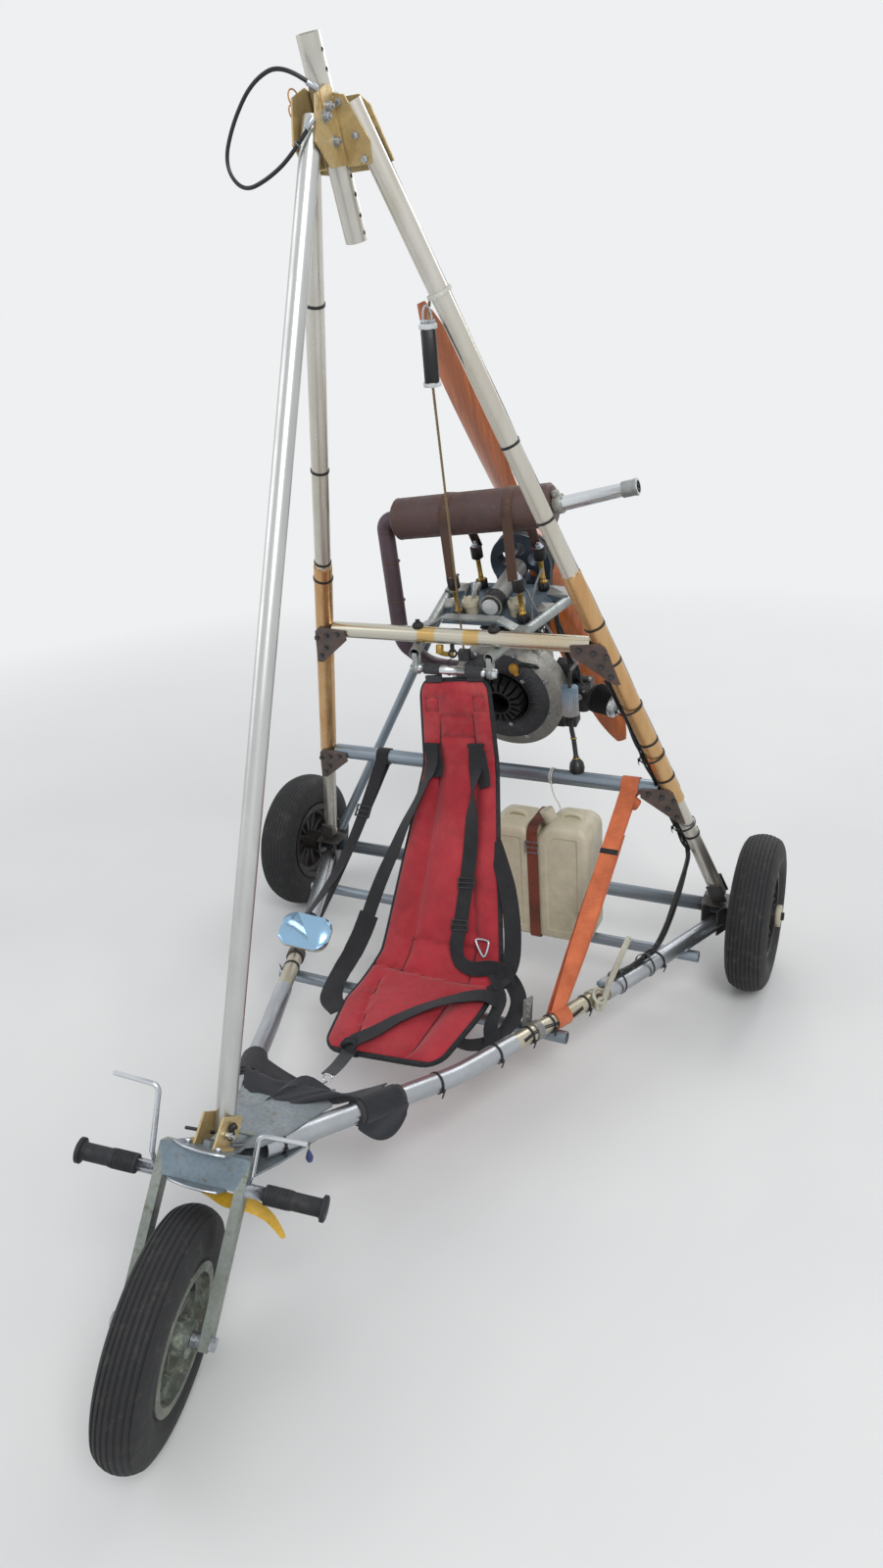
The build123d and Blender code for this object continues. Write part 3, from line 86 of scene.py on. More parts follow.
class TrikeColours(bpy.types.PropertyGroup):
    bright_tube: colour_size("Bright tube", "Polished and worn aluminium tube", 206, 208, 206)
    grey_tube: colour_size("Grey tube", "Blue-grey anodised tube", 150, 163, 175)
    gold_tint: colour_size("Gold tint", "Gold passivation on tubes and plates", 204, 166, 92)
    bronze_tint: colour_size("Bronze tint", "Bronze tinted sleeves", 196, 146, 96)
    seat_cloth: colour_size("Seat cloth", "Faded red quilted cloth", 182, 38, 52)
    orange_strap: colour_size("Orange strap", "Orange tie-down webbing", 206, 108, 66)
    black_webbing: colour_size("Black webbing", "Harness and foot sling webbing", 15, 16, 22)
    rusty_steel: colour_size("Rusty steel", "Heat stained silencer steel", 98, 76, 74)
    can_plastic: colour_size("Can plastic", "Cream fuel can plastic", 214, 207, 184)
    propeller_wood: colour_size("Propeller wood", "Varnished propeller wood", 196, 102, 38)
    yellow_strip: colour_size("Yellow strip", "Yellow strip under the nose", 226, 178, 40)


class TrikeSizes(bpy.types.PropertyGroup):
    tie_width: length_size("Tie width", "Width of the cable ties", 0.0046)
    tie_thick: length_size("Tie thickness", "Thickness of the cable ties", 0.0016)
    thin_cable: length_size("Thin cable", "Diameter of the cables along the tubes", 0.0045)
    piping: length_size("Seat piping", "Diameter of the piping round the seat", 0.008)
    bolt_head: length_size("Bolt head", "Width across a bolt head", 0.013)
    tread_groove: length_size("Tread groove", "Depth of the tread's grooves", 0.0022)
    seat_puff: length_size("Seat puff", "Most that the seat's cloth swells between seams", 0.009)
    rear_spokes: IntProperty(name="Rear spokes", description="Thin spokes of a rear wheel", default=24)


def colours():
    return bpy.context.scene.trike_colours


def sizes():
    return bpy.context.scene.trike_sizes


# ---------------------------------------------------------------- geometry of the frame
def mm(*values):
    return Vector([v / 1000 for v in values])


def spoke(angle):
    """A direction across a turned piece, in the piece's own axes."""
    return Vector((math.cos(angle), math.sin(angle), 0))


def to_front(way):
    """A direction or its opposite, whichever looks to the nose."""
    return -way if way.y > 0 else way


def rear_hub(side):
    """The middle of a rear wheel."""
    return mm(662 * side, 634, 197)


ENGINE_ORIGIN = Vector((0, DATUM + 0.699, 0.958))
ENGINE_TILT = math.radians(15)
THRUST = Vector((0, math.cos(ENGINE_TILT), math.sin(ENGINE_TILT)))
ENGINE_UP = Vector((0, -math.sin(ENGINE_TILT), math.cos(ENGINE_TILT)))
ENGINE_TURN = Matrix(((1, 0, 0), THRUST, ENGINE_UP)).transposed()
# Height of the fan's middle in the engine's axes, in millimetres
FAN_Z = -250


def in_engine(x, y, z):
    """A point in the tilted engine's own axes, in millimetres, as a place."""
    return ENGINE_ORIGIN + ACROSS * x / 1000 + THRUST * y / 1000 + ENGINE_UP * z / 1000


def from_engine(place):
    """The opposite of in_engine."""
    run = place - ENGINE_ORIGIN
    return Vector((run.x, run.dot(THRUST), run.dot(ENGINE_UP))) * 1000


PIVOT = Vector((0, DATUM - 0.599, 0.381))
FORK_SIDE = Vector((0.9494, 0.2464, -0.1946)).normalized()
FORK_UP = Vector((0, 0.6198, 0.7848)).normalized()
FORK_AHEAD = to_front(FORK_SIDE.cross(FORK_UP).normalized())


def in_fork(x, ahead, up):
    """A point in the turned fork's own axes, in millimetres, as a place."""
    return PIVOT + FORK_SIDE * x / 1000 + FORK_AHEAD * ahead / 1000 + FORK_UP * up / 1000


def from_fork(place):
    """The opposite of in_fork."""
    run = place - PIVOT
    return Vector((run.dot(FORK_SIDE), run.dot(FORK_AHEAD), run.dot(FORK_UP))) * 1000


UPRIGHT_TOP = mm(39, DATUM_MM + 156, 1919)
UPRIGHT_FOOT = mm(569, 632, 238)
UPRIGHT_D, SLEEVE_D = 0.036, 0.0426
SLEEVE_SPAN = (0.534, 1.109)
LEAN = (UPRIGHT_TOP - UPRIGHT_FOOT).normalized()
LEAN_FRONT = to_front(Vector((0, -LEAN.z, LEAN.y)).normalized())
CROSS_LEVEL = 0.561
SILENCER_ENDS = mm(-226, DATUM_MM + 685, 1165.5), mm(172, DATUM_MM + 685, 1201)


def upright_at(z, side):
    """The middle of an upright tube at a height."""
    share = (UPRIGHT_TOP.z - z) / (UPRIGHT_TOP.z - UPRIGHT_FOOT.z)
    point = UPRIGHT_TOP.lerp(UPRIGHT_FOOT, share)
    return Vector((point.x * side, point.y, point.z))


def upright_run(side):
    return Vector((LEAN.x * side, LEAN.y, LEAN.z))


def tube_slice(node, axis, value, side=0):
    """The middle of a tube where the plane axis = value cuts its node, or None."""
    mesh = NODES[node].data
    found = []
    for edge in mesh.edges:
        a, b = (mesh.vertices[i].co for i in edge.vertices)
        low, high = sorted((a[axis], b[axis]))
        if low <= value <= high and high - low > 1e-9 and a.x * side >= 0:
            found.append(a.lerp(b, (value - a[axis]) / (b[axis] - a[axis])))
    if len(found) < 3:
        return None
    low = Vector([min(p[i] for p in found) for i in range(3)])
    high = Vector([max(p[i] for p in found) for i in range(3)])
    return (low + high) / 2


def rail_point(y, side):
    """The middle of a rail at a station along the vehicle, and the way that it runs."""
    name = "left" if side > 0 else "right"
    for node in ("rail_front_" + name, "rail_joints", "rail_rear_" + name):
        ends = [tube_slice(node, 1, y + step, side) for step in (-0.006, 0.006)]
        if all(ends):
            return (ends[0] + ends[1]) / 2, (ends[1] - ends[0]).normalized()
    raise RuntimeError(f"no rail at {y}")


# ---------------------------------------------------------------- modelling
def run_at(path, i):
    """The way that a path runs at its point i."""
    return (path[min(i + 1, len(path) - 1)] - path[max(i - 1, 0)]).normalized()


def grid_faces(rows, columns):
    """The faces of a sheet whose points come row by row."""
    wide = columns + 1
    return [(a, a + 1, a + wide + 1, a + wide)
            for a in (i * wide + j for i in range(rows) for j in range(columns))]


def tube_faces(rings, count):
    """The faces between rings of count points each."""
    return [(a, b, b + count, a + count) for a, b in (
        (i * count + k, i * count + (k + 1) % count) for i in range(rings - 1) for k in range(count))]


def weave(piece, columns, place):
    """Lays out a sheet's weave by the real size of its cloth; place(row, column) gives each point's."""
    layer = piece.data.uv_layers.new(name="Weave")
    for loop in piece.data.loops:
        layer.data[loop.index].uv = place(*divmod(loop.vertex_index, columns + 1))


def deselect():
    if bpy.context.object and bpy.context.object.mode != "OBJECT":
        bpy.ops.object.mode_set(mode="OBJECT")
    bpy.ops.object.select_all(action="DESELECT")


def choose(*objects):
    deselect()
    for o in objects:
        o.select_set(True)
    bpy.context.view_layer.objects.active = objects[0]


def settle(piece):
    """Puts the piece's place into its mesh and its object at the origin."""
    choose(piece)
    bpy.ops.object.transform_apply(location=True, rotation=True, scale=True)
    return piece


def in_edit(piece, *steps):
    """Runs edit mode steps, each (operator, settings), on all of the piece's mesh."""
    choose(piece)
    bpy.ops.object.mode_set(mode="EDIT")
    for operator, settings in steps:
        bpy.ops.mesh.select_all(action="SELECT")
        operator(**settings)
    bpy.ops.object.mode_set(mode="OBJECT")
    return piece


def modified(piece, kind, **settings):
    choose(piece)
    modifier = piece.modifiers.new(kind.title(), kind)
    for key, value in settings.items():
        setattr(modifier, key, value)
    bpy.ops.object.modifier_apply(modifier=modifier.name)
    return piece


def smooth(piece, angle=35):
    choose(piece)
    bpy.ops.object.shade_smooth_by_angle(angle=math.radians(angle))
    return piece


def shell(name, points, faces):
    """A mesh piece from its points and faces."""
    mesh = bpy.data.meshes.new(name)
    mesh.from_pydata([tuple(p) for p in points], [], faces)
    mesh.update()
    piece = bpy.data.objects.new(name, mesh)
    bpy.context.scene.collection.objects.link(piece)
    return piece


def block(centre, size, turn=None, bevel=0.0008, segments=2):
    """A box with bevelled edges; size in metres, turn a 3x3 matrix."""
    deselect()
    bpy.ops.mesh.primitive_cube_add(size=1)
    piece = bpy.context.object
    piece.matrix_world = (
        Matrix.Translation(centre) @ (turn or Matrix.Identity(3)).to_4x4() @ Matrix.Diagonal((*size, 1))
    )
    settle(piece)
    if bevel:
        in_edit(piece, (bpy.ops.mesh.bevel, dict(offset=bevel, segments=segments, affect="EDGES")))
    return smooth(piece)


def turn_to(direction, up=None):
    """A 3x3 matrix whose Z axis is a direction, and whose X axis is square to up."""
    z = Vector(direction).normalized()
    guide = Vector(up) if up is not None else Vector((0, 0, 1))
    if abs(guide.normalized().dot(z)) > 0.99:
        guide = Vector((0, 1, 0))
    x = guide.cross(z).normalized()
    return Matrix((x, z.cross(x), z)).transposed()


def rod(a, b, diameter, far_diameter=None, sides=20, bevel=0.0):
    """A round bar or cone from a to b with its end edges bevelled."""
    a, b = Vector(a), Vector(b)
    deselect()
    bpy.ops.mesh.primitive_cone_add(
        vertices=sides, radius1=diameter / 2,
        radius2=(far_diameter if far_diameter is not None else diameter) / 2,
        depth=(b - a).length,
    )
    piece = bpy.context.object
    piece.matrix_world = Matrix.Translation((a + b) / 2) @ turn_to(b - a).to_4x4()
    settle(piece)
    if bevel:
        choose(piece)
        modifier = piece.modifiers.new("Rim", "BEVEL")
        modifier.width = bevel
        modifier.segments = 2
        modifier.limit_method = "ANGLE"
        modifier.angle_limit = math.radians(50)
        bpy.ops.object.modifier_apply(modifier="Rim")
    return smooth(piece)


def lathe(name, profile, origin, axis, steps=32, up=None):
    """A turned piece: profile is (radius, height) points along the axis from origin, in metres."""
    mesh = bpy.data.meshes.new(name)
    mesh.from_pydata([(r, 0, h) for r, h in profile], [(i, i + 1) for i in range(len(profile) - 1)], [])
    piece = bpy.data.objects.new(name, mesh)
    bpy.context.scene.collection.objects.link(piece)
    modified(
        piece, "SCREW", steps=steps, render_steps=steps, use_merge_vertices=True,
        merge_threshold=1e-5, axis="Z", use_smooth_shade=True,
    )
    in_edit(
        piece, (bpy.ops.mesh.remove_doubles, dict(threshold=1e-5)),
        (bpy.ops.mesh.normals_make_consistent, dict(inside=False)),
    )
    piece.matrix_world = Matrix.Translation(origin) @ turn_to(axis, up).to_4x4()
    settle(piece)
    return smooth(piece, 40)


def ring(centre, axis, radius, thick, steps=28, sides=8):
    deselect()
    bpy.ops.mesh.primitive_torus_add(
        major_segments=steps, minor_segments=sides, major_radius=radius, minor_radius=thick / 2
    )
    piece = bpy.context.object
    piece.matrix_world = Matrix.Translation(centre) @ turn_to(axis).to_4x4()
    settle(piece)
    return smooth(piece, 80)


def curve_line(name, points, diameter, cyclic=False, resolution=6, kind="NURBS"):
    """A round cable along its control points, still a curve."""
    data = bpy.data.curves.new(name, "CURVE")
    data.dimensions = "3D"
    spline = data.splines.new(kind)
    spline.points.add(len(points) - 1)
    for point, place in zip(spline.points, points):
        point.co = (*place, 1)
    spline.order_u = 3
    spline.use_endpoint_u = not cyclic
    spline.use_cyclic_u = cyclic
    spline.resolution_u = resolution
    data.bevel_depth = diameter / 2
    data.bevel_resolution = 3
    data.use_fill_caps = True
    piece = bpy.data.objects.new(name, data)
    bpy.context.scene.collection.objects.link(piece)
    return piece


def cable(points, diameter, cyclic=False, resolution=6):
    """A fixed cable or bent rod as a mesh."""
    piece = curve_line("cable", [Vector(p) for p in points], diameter, cyclic, resolution)
    choose(piece)
    bpy.ops.object.convert(target="MESH")
    return smooth(bpy.context.object, 60)


def ribbon(name, points, across, width, thick=0.0022, rows=1, ripple=0.0, seed=1):
    """A flat strap along points; across gives its width direction at each point, or one for all."""
    count = len(points)
    points = [Vector(p) for p in points]
    ways = [Vector(across)] * count if isinstance(across, Vector) else [Vector(a) for a in across]
    widths = [width] * count if not hasattr(width, "__len__") else list(width)
    chance = random.Random(seed)
    verts, along = [], [0.0]
    for a, b in zip(points, points[1:]):
        along.append(along[-1] + (b - a).length)
    for point, way, wide in zip(points, ways, widths):
        way = way.normalized()
        for column in range(rows + 1):
            share = column / rows - 0.5
            jitter = Vector([chance.uniform(-ripple, ripple) for _ in range(3)])
            verts.append(point + way * wide * share + jitter)
    piece = shell(name, verts, grid_faces(count - 1, rows))
    weave(piece, rows, lambda row, column: (column / rows * widths[row], along[row]))
    modified(piece, "SOLIDIFY", thickness=thick, offset=0)
    return smooth(piece, 60)


def engine_rod(a, b, diameter, far_diameter=None, **settings):
    """A rod between two points in the engine's axes."""
    return rod(in_engine(*a), in_engine(*b), diameter, far_diameter, **settings)


def engine_cable(points, diameter):
    """A cable through points in the engine's axes."""
    return cable([in_engine(*p) for p in points], diameter)


def engine_block(place, size, bevel, segments=2):
    """A box that is square to the engine."""
    return block(in_engine(*place), size, ENGINE_TURN, bevel, segments)


def smooth_path(points, divisions=6):
    """More points along a bent run, through the given ones."""
    points = [Vector(p) for p in points]
    result = []
    for i in range(len(points) - 1):
        before = points[max(i - 1, 0)]
        a, b = points[i], points[i + 1]
        after = points[min(i + 2, len(points) - 1)]
        for step in range(divisions):
            t = step / divisions
            result.append(
                0.5 * (2 * a + (b - before) * t + (2 * before - 5 * a + 4 * b - after) * t ** 2
                       + (3 * a - before - 3 * b + after) * t ** 3)
            )
    result.append(points[-1])
    return result


def wrap(centre, axis, radius, width, name):
    """A band of webbing once round a tube."""
    axis, side, steps = axis.normalized(), turn_to(axis.normalized()), 28
    points = []
    for i in range(steps + 1):
        angle = 2 * math.pi * i / steps
        points.append(centre + side @ spoke(angle) * radius)
    return ribbon(name, points, axis, width, 0.0024, rows=4)


def buckle(middle, turn, rungs, half, rung_size, side_size, bevel):
    """A flat buckle: its rungs at their places along it, and the two sides that join them."""
    parts = [block(middle + turn @ Vector((0, k, 0)), rung_size, turn, bevel) for k in rungs]
    for k in (-half, half):
        parts.append(block(middle + turn @ Vector((k, 0, 0)), side_size, turn, bevel))
    return parts


def joined(name, *pieces):
    """The pieces as one object with one mesh."""
    choose(*pieces)
    if len(pieces) > 1:
        bpy.ops.object.join()
    piece = bpy.context.object
    piece.name = piece.data.name = name
    return piece


def paint(piece, *finishes):
    """Gives a piece its materials."""
    piece.data.materials.clear()
    for finish in finishes:
        piece.data.materials.append(material(finish))
    return piece


def dress(piece, name, finish, body="frame"):
    """Names a finished piece, gives it its material and its body."""
    piece.name = name
    if piece.data.name != name:
        piece.data.name = name
    if finish is not None:
        paint(piece, finish)
    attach(piece, body)
    return piece


def fit(name, pieces, finish, body="frame"):
    """Several pieces joined and dressed as one."""
    return dress(joined(name, *pieces), name, finish, body)


def welded_copy(node, name, finishes, pick, body="frame"):
    """A welded copy that stands for a CAD node; pick(centre, normal) gives each face's finish."""
    mesh = NODES[node].data.copy()
    piece = bpy.data.objects.new(name, mesh)
    bpy.context.scene.collection.objects.link(piece)
    in_edit(piece, (bpy.ops.mesh.remove_doubles, dict(threshold=1e-5)))
    paint(piece, *finishes)
    for face in piece.data.polygons:
        face.material_index = finishes.index(pick(face.center.copy(), face.normal.copy()))
    smooth(piece, 32)
    dress(piece, name, None, body)
    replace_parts(piece, node)
    return piece


# ---------------------------------------------------------------- materials
class Surface:
    """One material under construction; its patterns lie in the object's own space."""

    def __init__(self, name, metallic=0.0, roughness=0.5):
        self.material = bpy.data.materials.new(name)
        self.material.use_nodes = True
        self.tree = self.material.node_tree
        self.shader = self.tree.nodes["Principled BSDF"]
        self.shader.inputs["Metallic"].default_value = metallic
        self.shader.inputs["Roughness"].default_value = roughness
        self.places = self.tree.nodes.new("ShaderNodeTexCoord")
        self.space = self.places.outputs["Object"]

    def node(self, kind, **settings):
        node = self.tree.nodes.new(kind)
        for key, value in settings.items():
            setattr(node, key, value)
        return node

    def link(self, source, node, socket):
        self.tree.links.new(source, node.inputs[socket])

    def stretched(self, scale=(1, 1, 1), turn=(0, 0, 0), shift=(0, 0, 0), space=None):
        node = self.node("ShaderNodeMapping")
        node.inputs["Scale"].default_value = scale
        node.inputs["Rotation"].default_value = turn
        node.inputs["Location"].default_value = shift
        self.link(space or self.space, node, "Vector")
        return node.outputs["Vector"]

    def noise(self, scale, detail=4.0, rough=0.6, space=None, distortion=0.0):
        node = self.node("ShaderNodeTexNoise")
        node.inputs["Scale"].default_value = scale
        node.inputs["Detail"].default_value = detail
        node.inputs["Roughness"].default_value = rough
        node.inputs["Distortion"].default_value = distortion
        self.link(space or self.space, node, "Vector")
        return node.outputs["Fac"]

    def cells(self, scale, space=None, feature="F1"):
        node = self.node("ShaderNodeTexVoronoi", feature=feature)
        node.inputs["Scale"].default_value = scale
        self.link(space or self.space, node, "Vector")
        return node.outputs["Distance"]

    def bands(self, scale, direction="X", distortion=0.0, detail=2.0, space=None, kind="BANDS"):
        node = self.node("ShaderNodeTexWave", wave_type=kind)
        if kind == "BANDS":
            node.bands_direction = direction
        node.inputs["Scale"].default_value = scale
        node.inputs["Distortion"].default_value = distortion
        node.inputs["Detail"].default_value = detail
        self.link(space or self.space, node, "Vector")
        return node.outputs["Fac"]

    def remap(self, value, low, high, to_low=0.0, to_high=1.0):
        node = self.node("ShaderNodeMapRange", clamp=True)
        for socket, number in (
            ("From Min", low), ("From Max", high), ("To Min", to_low), ("To Max", to_high),
        ):
            node.inputs[socket].default_value = number
        self.link(value, node, "Value")
        return node.outputs["Result"]

    def math(self, operation, first, second):
        node = self.node("ShaderNodeMath", operation=operation)
        for index, value in enumerate((first, second)):
            if isinstance(value, (int, float)):
                node.inputs[index].default_value = value
            else:
                self.tree.links.new(value, node.inputs[index])
        return node.outputs[0]

    def height(self, axis="Z"):
        node = self.node("ShaderNodeSeparateXYZ")
        self.link(self.space, node, "Vector")
        return node.outputs[axis]

    def mixed(self, share, first, second):
        """Colour between first and second, each a colour or an output."""
        node = self.node("ShaderNodeMix", data_type="RGBA")
        if isinstance(share, (int, float)):
            node.inputs["Factor"].default_value = share
        else:
            self.link(share, node, "Factor")
        for socket, value in ((6, first), (7, second)):
            if isinstance(value, tuple):
                node.inputs[socket].default_value = (*value[:3], 1)
            else:
                self.tree.links.new(value, node.inputs[socket])
        return node.outputs[2]

    def colour(self, value):
        self.link(value, self.shader, "Base Color")

    def rough(self, value):
        self.link(value, self.shader, "Roughness")

    def relief(self, value, strength=0.3, distance=0.001):
        node = self.node("ShaderNodeBump")
        node.inputs["Strength"].default_value = strength
        node.inputs["Distance"].default_value = distance
        self.link(value, node, "Height")
        previous = self.shader.inputs["Normal"]
        if previous.is_linked:
            self.link(previous.links[0].from_socket, node, "Normal")
        self.link(node.outputs["Normal"], self.shader, "Normal")


def scaled(colour, factor):
    return tuple(min(c * factor, 1) for c in colour)


def worn(name, colour, shade, grime, metallic, rough, stretch=(1, 1, 1), patch=6.0,
         dirt=(0.56, 0.74), grain=220.0, bump=0.12, dust=0.35):
    """Metal, paint or plastic with blotches, fine grain, grime and dust that thins upwards."""
    s = Surface(name, metallic, sum(rough) / 2)
    long_space = s.stretched(stretch)
    blotch = s.remap(s.noise(patch, 5, 0.62, long_space), 0.34, 0.68)
    streak = s.remap(s.noise(patch * 9, 3, 0.6, long_space), 0.35, 0.7)
    base = s.mixed(blotch, colour, shade)
    base = s.mixed(s.math("MULTIPLY", streak, 0.45), base, scaled(shade, 0.82))
    spots = s.remap(s.noise(patch * 3.1, 8, 0.72), *dirt)
    base = s.mixed(spots, base, grime)
    low = s.remap(s.height(), 0.0, 0.55, dust, 0.0)
    dusty = s.math("MULTIPLY", low, s.remap(s.noise(24, 6, 0.7), 0.35, 0.65))
    base = s.mixed(dusty, base, srgb(126, 112, 96))
    s.colour(base)
    fine = s.noise(grain, 3, 0.6, long_space)
    level = s.math("ADD", s.math("MULTIPLY", spots, 0.25), s.remap(streak, 0, 1, *rough))
    s.rough(level)
    if bump:
        s.relief(fine, bump, 0.0006)
        s.relief(blotch, bump * 0.6, 0.001)
    return s


def bright_tube(name, tint, shade=None, stretch=(1, 1, 1)):
    return worn(
        name, tint, shade or scaled(tint, 0.8), srgb(134, 122, 104), 0.88, (0.26, 0.36), stretch,
        patch=3, dirt=(0.68, 0.86), bump=0, dust=0.25,
    )


def grey_tube(name, tint, stretch):
    return worn(
        name, tint, scaled(tint, 0.66), srgb(112, 104, 92), 0.72, (0.28, 0.48), stretch, patch=6,
        dirt=(0.62, 0.82), grain=240, bump=0.03, dust=0.4,
    )


def gold_tube(name):
    """Bright tube with gold tinted bands along it, each (middle, half width, share, soft edge); the wide
    faint third one is a painted reflection of gold.
    """
    s = Surface(name, 0.88, 0.3)
    across = s.height("X")
    long_space = s.stretched((0.1, 1, 1))
    base = s.mixed(s.remap(s.noise(5, 5, 0.62, long_space), 0.34, 0.7), srgb(214, 212, 202),
                   srgb(184, 178, 160))
    # The first two are gold bands on the tube; the third, wide and faint, is a painted reflection of
    # gold
    for middle, half, share, soft in (
        (-0.068, 0.022, 0.85, 0.003), (0.043, 0.019, 0.85, 0.003), (0.22, 0.08, 0.35, 0.06),
    ):
        gap = s.math("ABSOLUTE", s.math("SUBTRACT", across, middle), 0.0)
        band = s.remap(gap, half - soft, half + soft, 1, 0)
        base = s.mixed(s.math("MULTIPLY", band, share), base, tuple(colours().gold_tint))
    spots = s.remap(s.noise(16, 8, 0.72), 0.66, 0.84)
    s.colour(s.mixed(spots, base, srgb(122, 96, 60)))
    s.rough(s.remap(spots, 0, 1, 0.24, 0.5))
    s.relief(s.noise(200, 3, 0.6, long_space), 0.02, 0.0006)
    return s


def rubber(name, colour, dusty, rough=(0.55, 0.8)):
    return worn(
        name, colour, scaled(colour, 0.6), srgb(66, 64, 60), 0.0, rough, patch=9,
        dirt=(0.62, 0.88), grain=340, bump=0.22, dust=dusty,
    )


def tyre_rubber(name):
    s = Surface(name, 0.0, 0.75)
    soft = s.noise(13, 6, 0.7)
    base = s.mixed(s.remap(soft, 0.35, 0.7), srgb(21, 22, 24), srgb(38, 38, 40))
    dust = s.remap(s.noise(46, 7, 0.75), 0.54, 0.76, 0, 0.45)
    base = s.mixed(dust, base, srgb(96, 92, 86))
    s.colour(base)
    s.rough(s.remap(soft, 0.3, 0.7, 0.6, 0.88))
    s.relief(s.noise(420, 4, 0.7), 0.3, 0.0006)
    s.relief(s.noise(60, 5, 0.7), 0.15, 0.001)
    return s


def rust(name, colour, spread=(0.46, 0.66)):
    s = Surface(name, 0.35, 0.6)
    heat = s.remap(s.noise(7, 6, 0.6), 0.3, 0.7)
    base = s.mixed(heat, colour, scaled(colour, 0.55))
    violet = s.remap(s.noise(4.5, 4, 0.5), 0.45, 0.7, 0, 0.6)
    base = s.mixed(violet, base, srgb(96, 84, 96))
    spots = s.remap(s.noise(38, 9, 0.78), *spread)
    base = s.mixed(s.math("MULTIPLY", spots, 0.6), base, srgb(104, 74, 62))
    pale = s.remap(s.noise(90, 6, 0.7), 0.62, 0.78, 0, 0.5)
    base = s.mixed(pale, base, srgb(160, 136, 120))
    s.colour(base)
    s.rough(s.remap(spots, 0, 1, 0.48, 0.82))
    s.relief(s.noise(230, 6, 0.7), 0.28, 0.0008)
    s.relief(spots, 0.16, 0.0008)
    return s


def webbing(name, colour, wear):
    """Woven strap: its threads follow the strap's own length and width."""
    s = Surface(name, 0.0, 0.85)
    s.space = s.places.outputs["UV"]
    cross = s.bands(95, "Y", 0.6, 1)
    thread = s.bands(160, "X", 0.4, 1)
    cloth = s.math("MULTIPLY", cross, thread)
    base = s.mixed(s.remap(cloth, 0, 0.8, 0.35, 1), scaled(colour, 0.52), colour)
    faded = s.remap(s.noise(9, 6, 0.65), 0.4, 0.72, 0, wear * 1.6)
    base = s.mixed(faded, base, scaled(tuple(c + 0.018 for c in colour), 1.6))
    stains = s.remap(s.noise(22, 7, 0.75), 0.56, 0.75, 0, 0.5)
    base = s.mixed(s.math("MULTIPLY", stains, 0.4), base, srgb(88, 76, 64))
    s.colour(base)
    s.rough(s.remap(cloth, 0, 1, 0.92, 0.72))
    s.shader.inputs["Sheen Weight"].default_value = 0.1
    s.relief(cloth, 0.55, 0.0012)
    return s


def seat_cloth(name):
    s = Surface(name, 0.0, 0.85)
    red = tuple(colours().seat_cloth)
    faded = s.remap(s.noise(5.5, 5, 0.6), 0.34, 0.68)
    base = s.mixed(faded, red, scaled(red, 0.62))
    pale = s.remap(s.noise(8, 6, 0.7), 0.42, 0.72, 0, 0.55)
    high = s.remap(s.height(), 0.45, 0.86, 0.35, 1)
    base = s.mixed(s.math("MULTIPLY", pale, high), base, srgb(214, 104, 100))
    dark = s.remap(s.noise(30, 8, 0.75), 0.54, 0.74, 0, 0.6)
    base = s.mixed(dark, base, srgb(96, 44, 46))
    threads = s.math("MULTIPLY", s.bands(330, "X", 0.8, 1), s.bands(330, "Z", 0.8, 1))
    base = s.mixed(s.remap(threads, 0, 1, 0.22, 0), base, scaled(red, 0.4))
    s.colour(base)
    s.rough(s.remap(faded, 0, 1, 0.78, 0.93))
    s.shader.inputs["Sheen Weight"].default_value = 0.2
    s.relief(threads, 0.25, 0.0008)
    s.relief(s.noise(34, 5, 0.6), 0.3, 0.004)
    return s


def wood(name):
    """Laminated and varnished blades; the grain runs along them."""
    s = Surface(name, 0.0, 0.28)
    c = tuple(colours().propeller_wood)
    lean = s.stretched((1, 1, 1), (math.radians(-15), 0, 0))
    turned = s.stretched((14, 9, 0.9), (0, math.radians(-17.6), 0), space=lean)
    grain = s.noise(9, 7, 0.65, turned, 0.4)
    base = s.mixed(s.remap(grain, 0.36, 0.66), c, scaled(c, 0.5))
    layers = s.bands(9, "Y", 0.5, 2, s.stretched((1, 1, 0.15), space=lean))
    base = s.mixed(s.remap(layers, 0.55, 0.95, 0, 0.45), base, srgb(120, 58, 22))
    pores = s.remap(s.noise(60, 4, 0.7, turned), 0.6, 0.72, 0, 0.5)
    base = s.mixed(pores, base, srgb(88, 44, 20))
    s.colour(base)
    s.rough(s.remap(s.noise(20, 5, 0.6), 0.3, 0.7, 0.18, 0.4))
    s.shader.inputs["Coat Weight"].default_value = 0.5
    s.shader.inputs["Coat Roughness"].default_value = 0.12
    s.relief(grain, 0.12, 0.0008)
    return s


def can_plastic(name):
    s = worn(
        name, tuple(colours().can_plastic), srgb(204, 198, 170), srgb(140, 120, 84), 0.0, (0.38, 0.6),
        patch=4, dirt=(0.6, 0.78), grain=180, bump=0.12, dust=0.5,
    )
    s.shader.inputs["Subsurface Weight"].default_value = 0.12
    s.shader.inputs["Subsurface Scale"].default_value = 0.01
    return s


def leather(name):
    s = Surface(name, 0.0, 0.6)
    skin = s.cells(420)
    base = s.mixed(s.remap(s.noise(18, 6, 0.7), 0.35, 0.68), srgb(126, 62, 42), srgb(74, 38, 30))
    base = s.mixed(s.remap(skin, 0.0, 0.5, 0.35, 0), base, srgb(50, 28, 22))
    s.colour(base)
    s.rough(s.remap(s.noise(40, 5, 0.6), 0.3, 0.7, 0.42, 0.75))
    s.relief(skin, 0.35, 0.0006)
    return s


def mirror_glass(name):
    s = Surface(name, 1.0, 0.05)
    specks = s.remap(s.noise(160, 7, 0.75), 0.58, 0.75)
    # Painted reflection: the blue base colour is the sky that the glass mirrors, with grey specks over
    # it
    s.colour(s.mixed(specks, srgb(150, 186, 214), srgb(140, 146, 148)))
    s.rough(s.remap(specks, 0, 1, 0.2, 0.45))
    return s


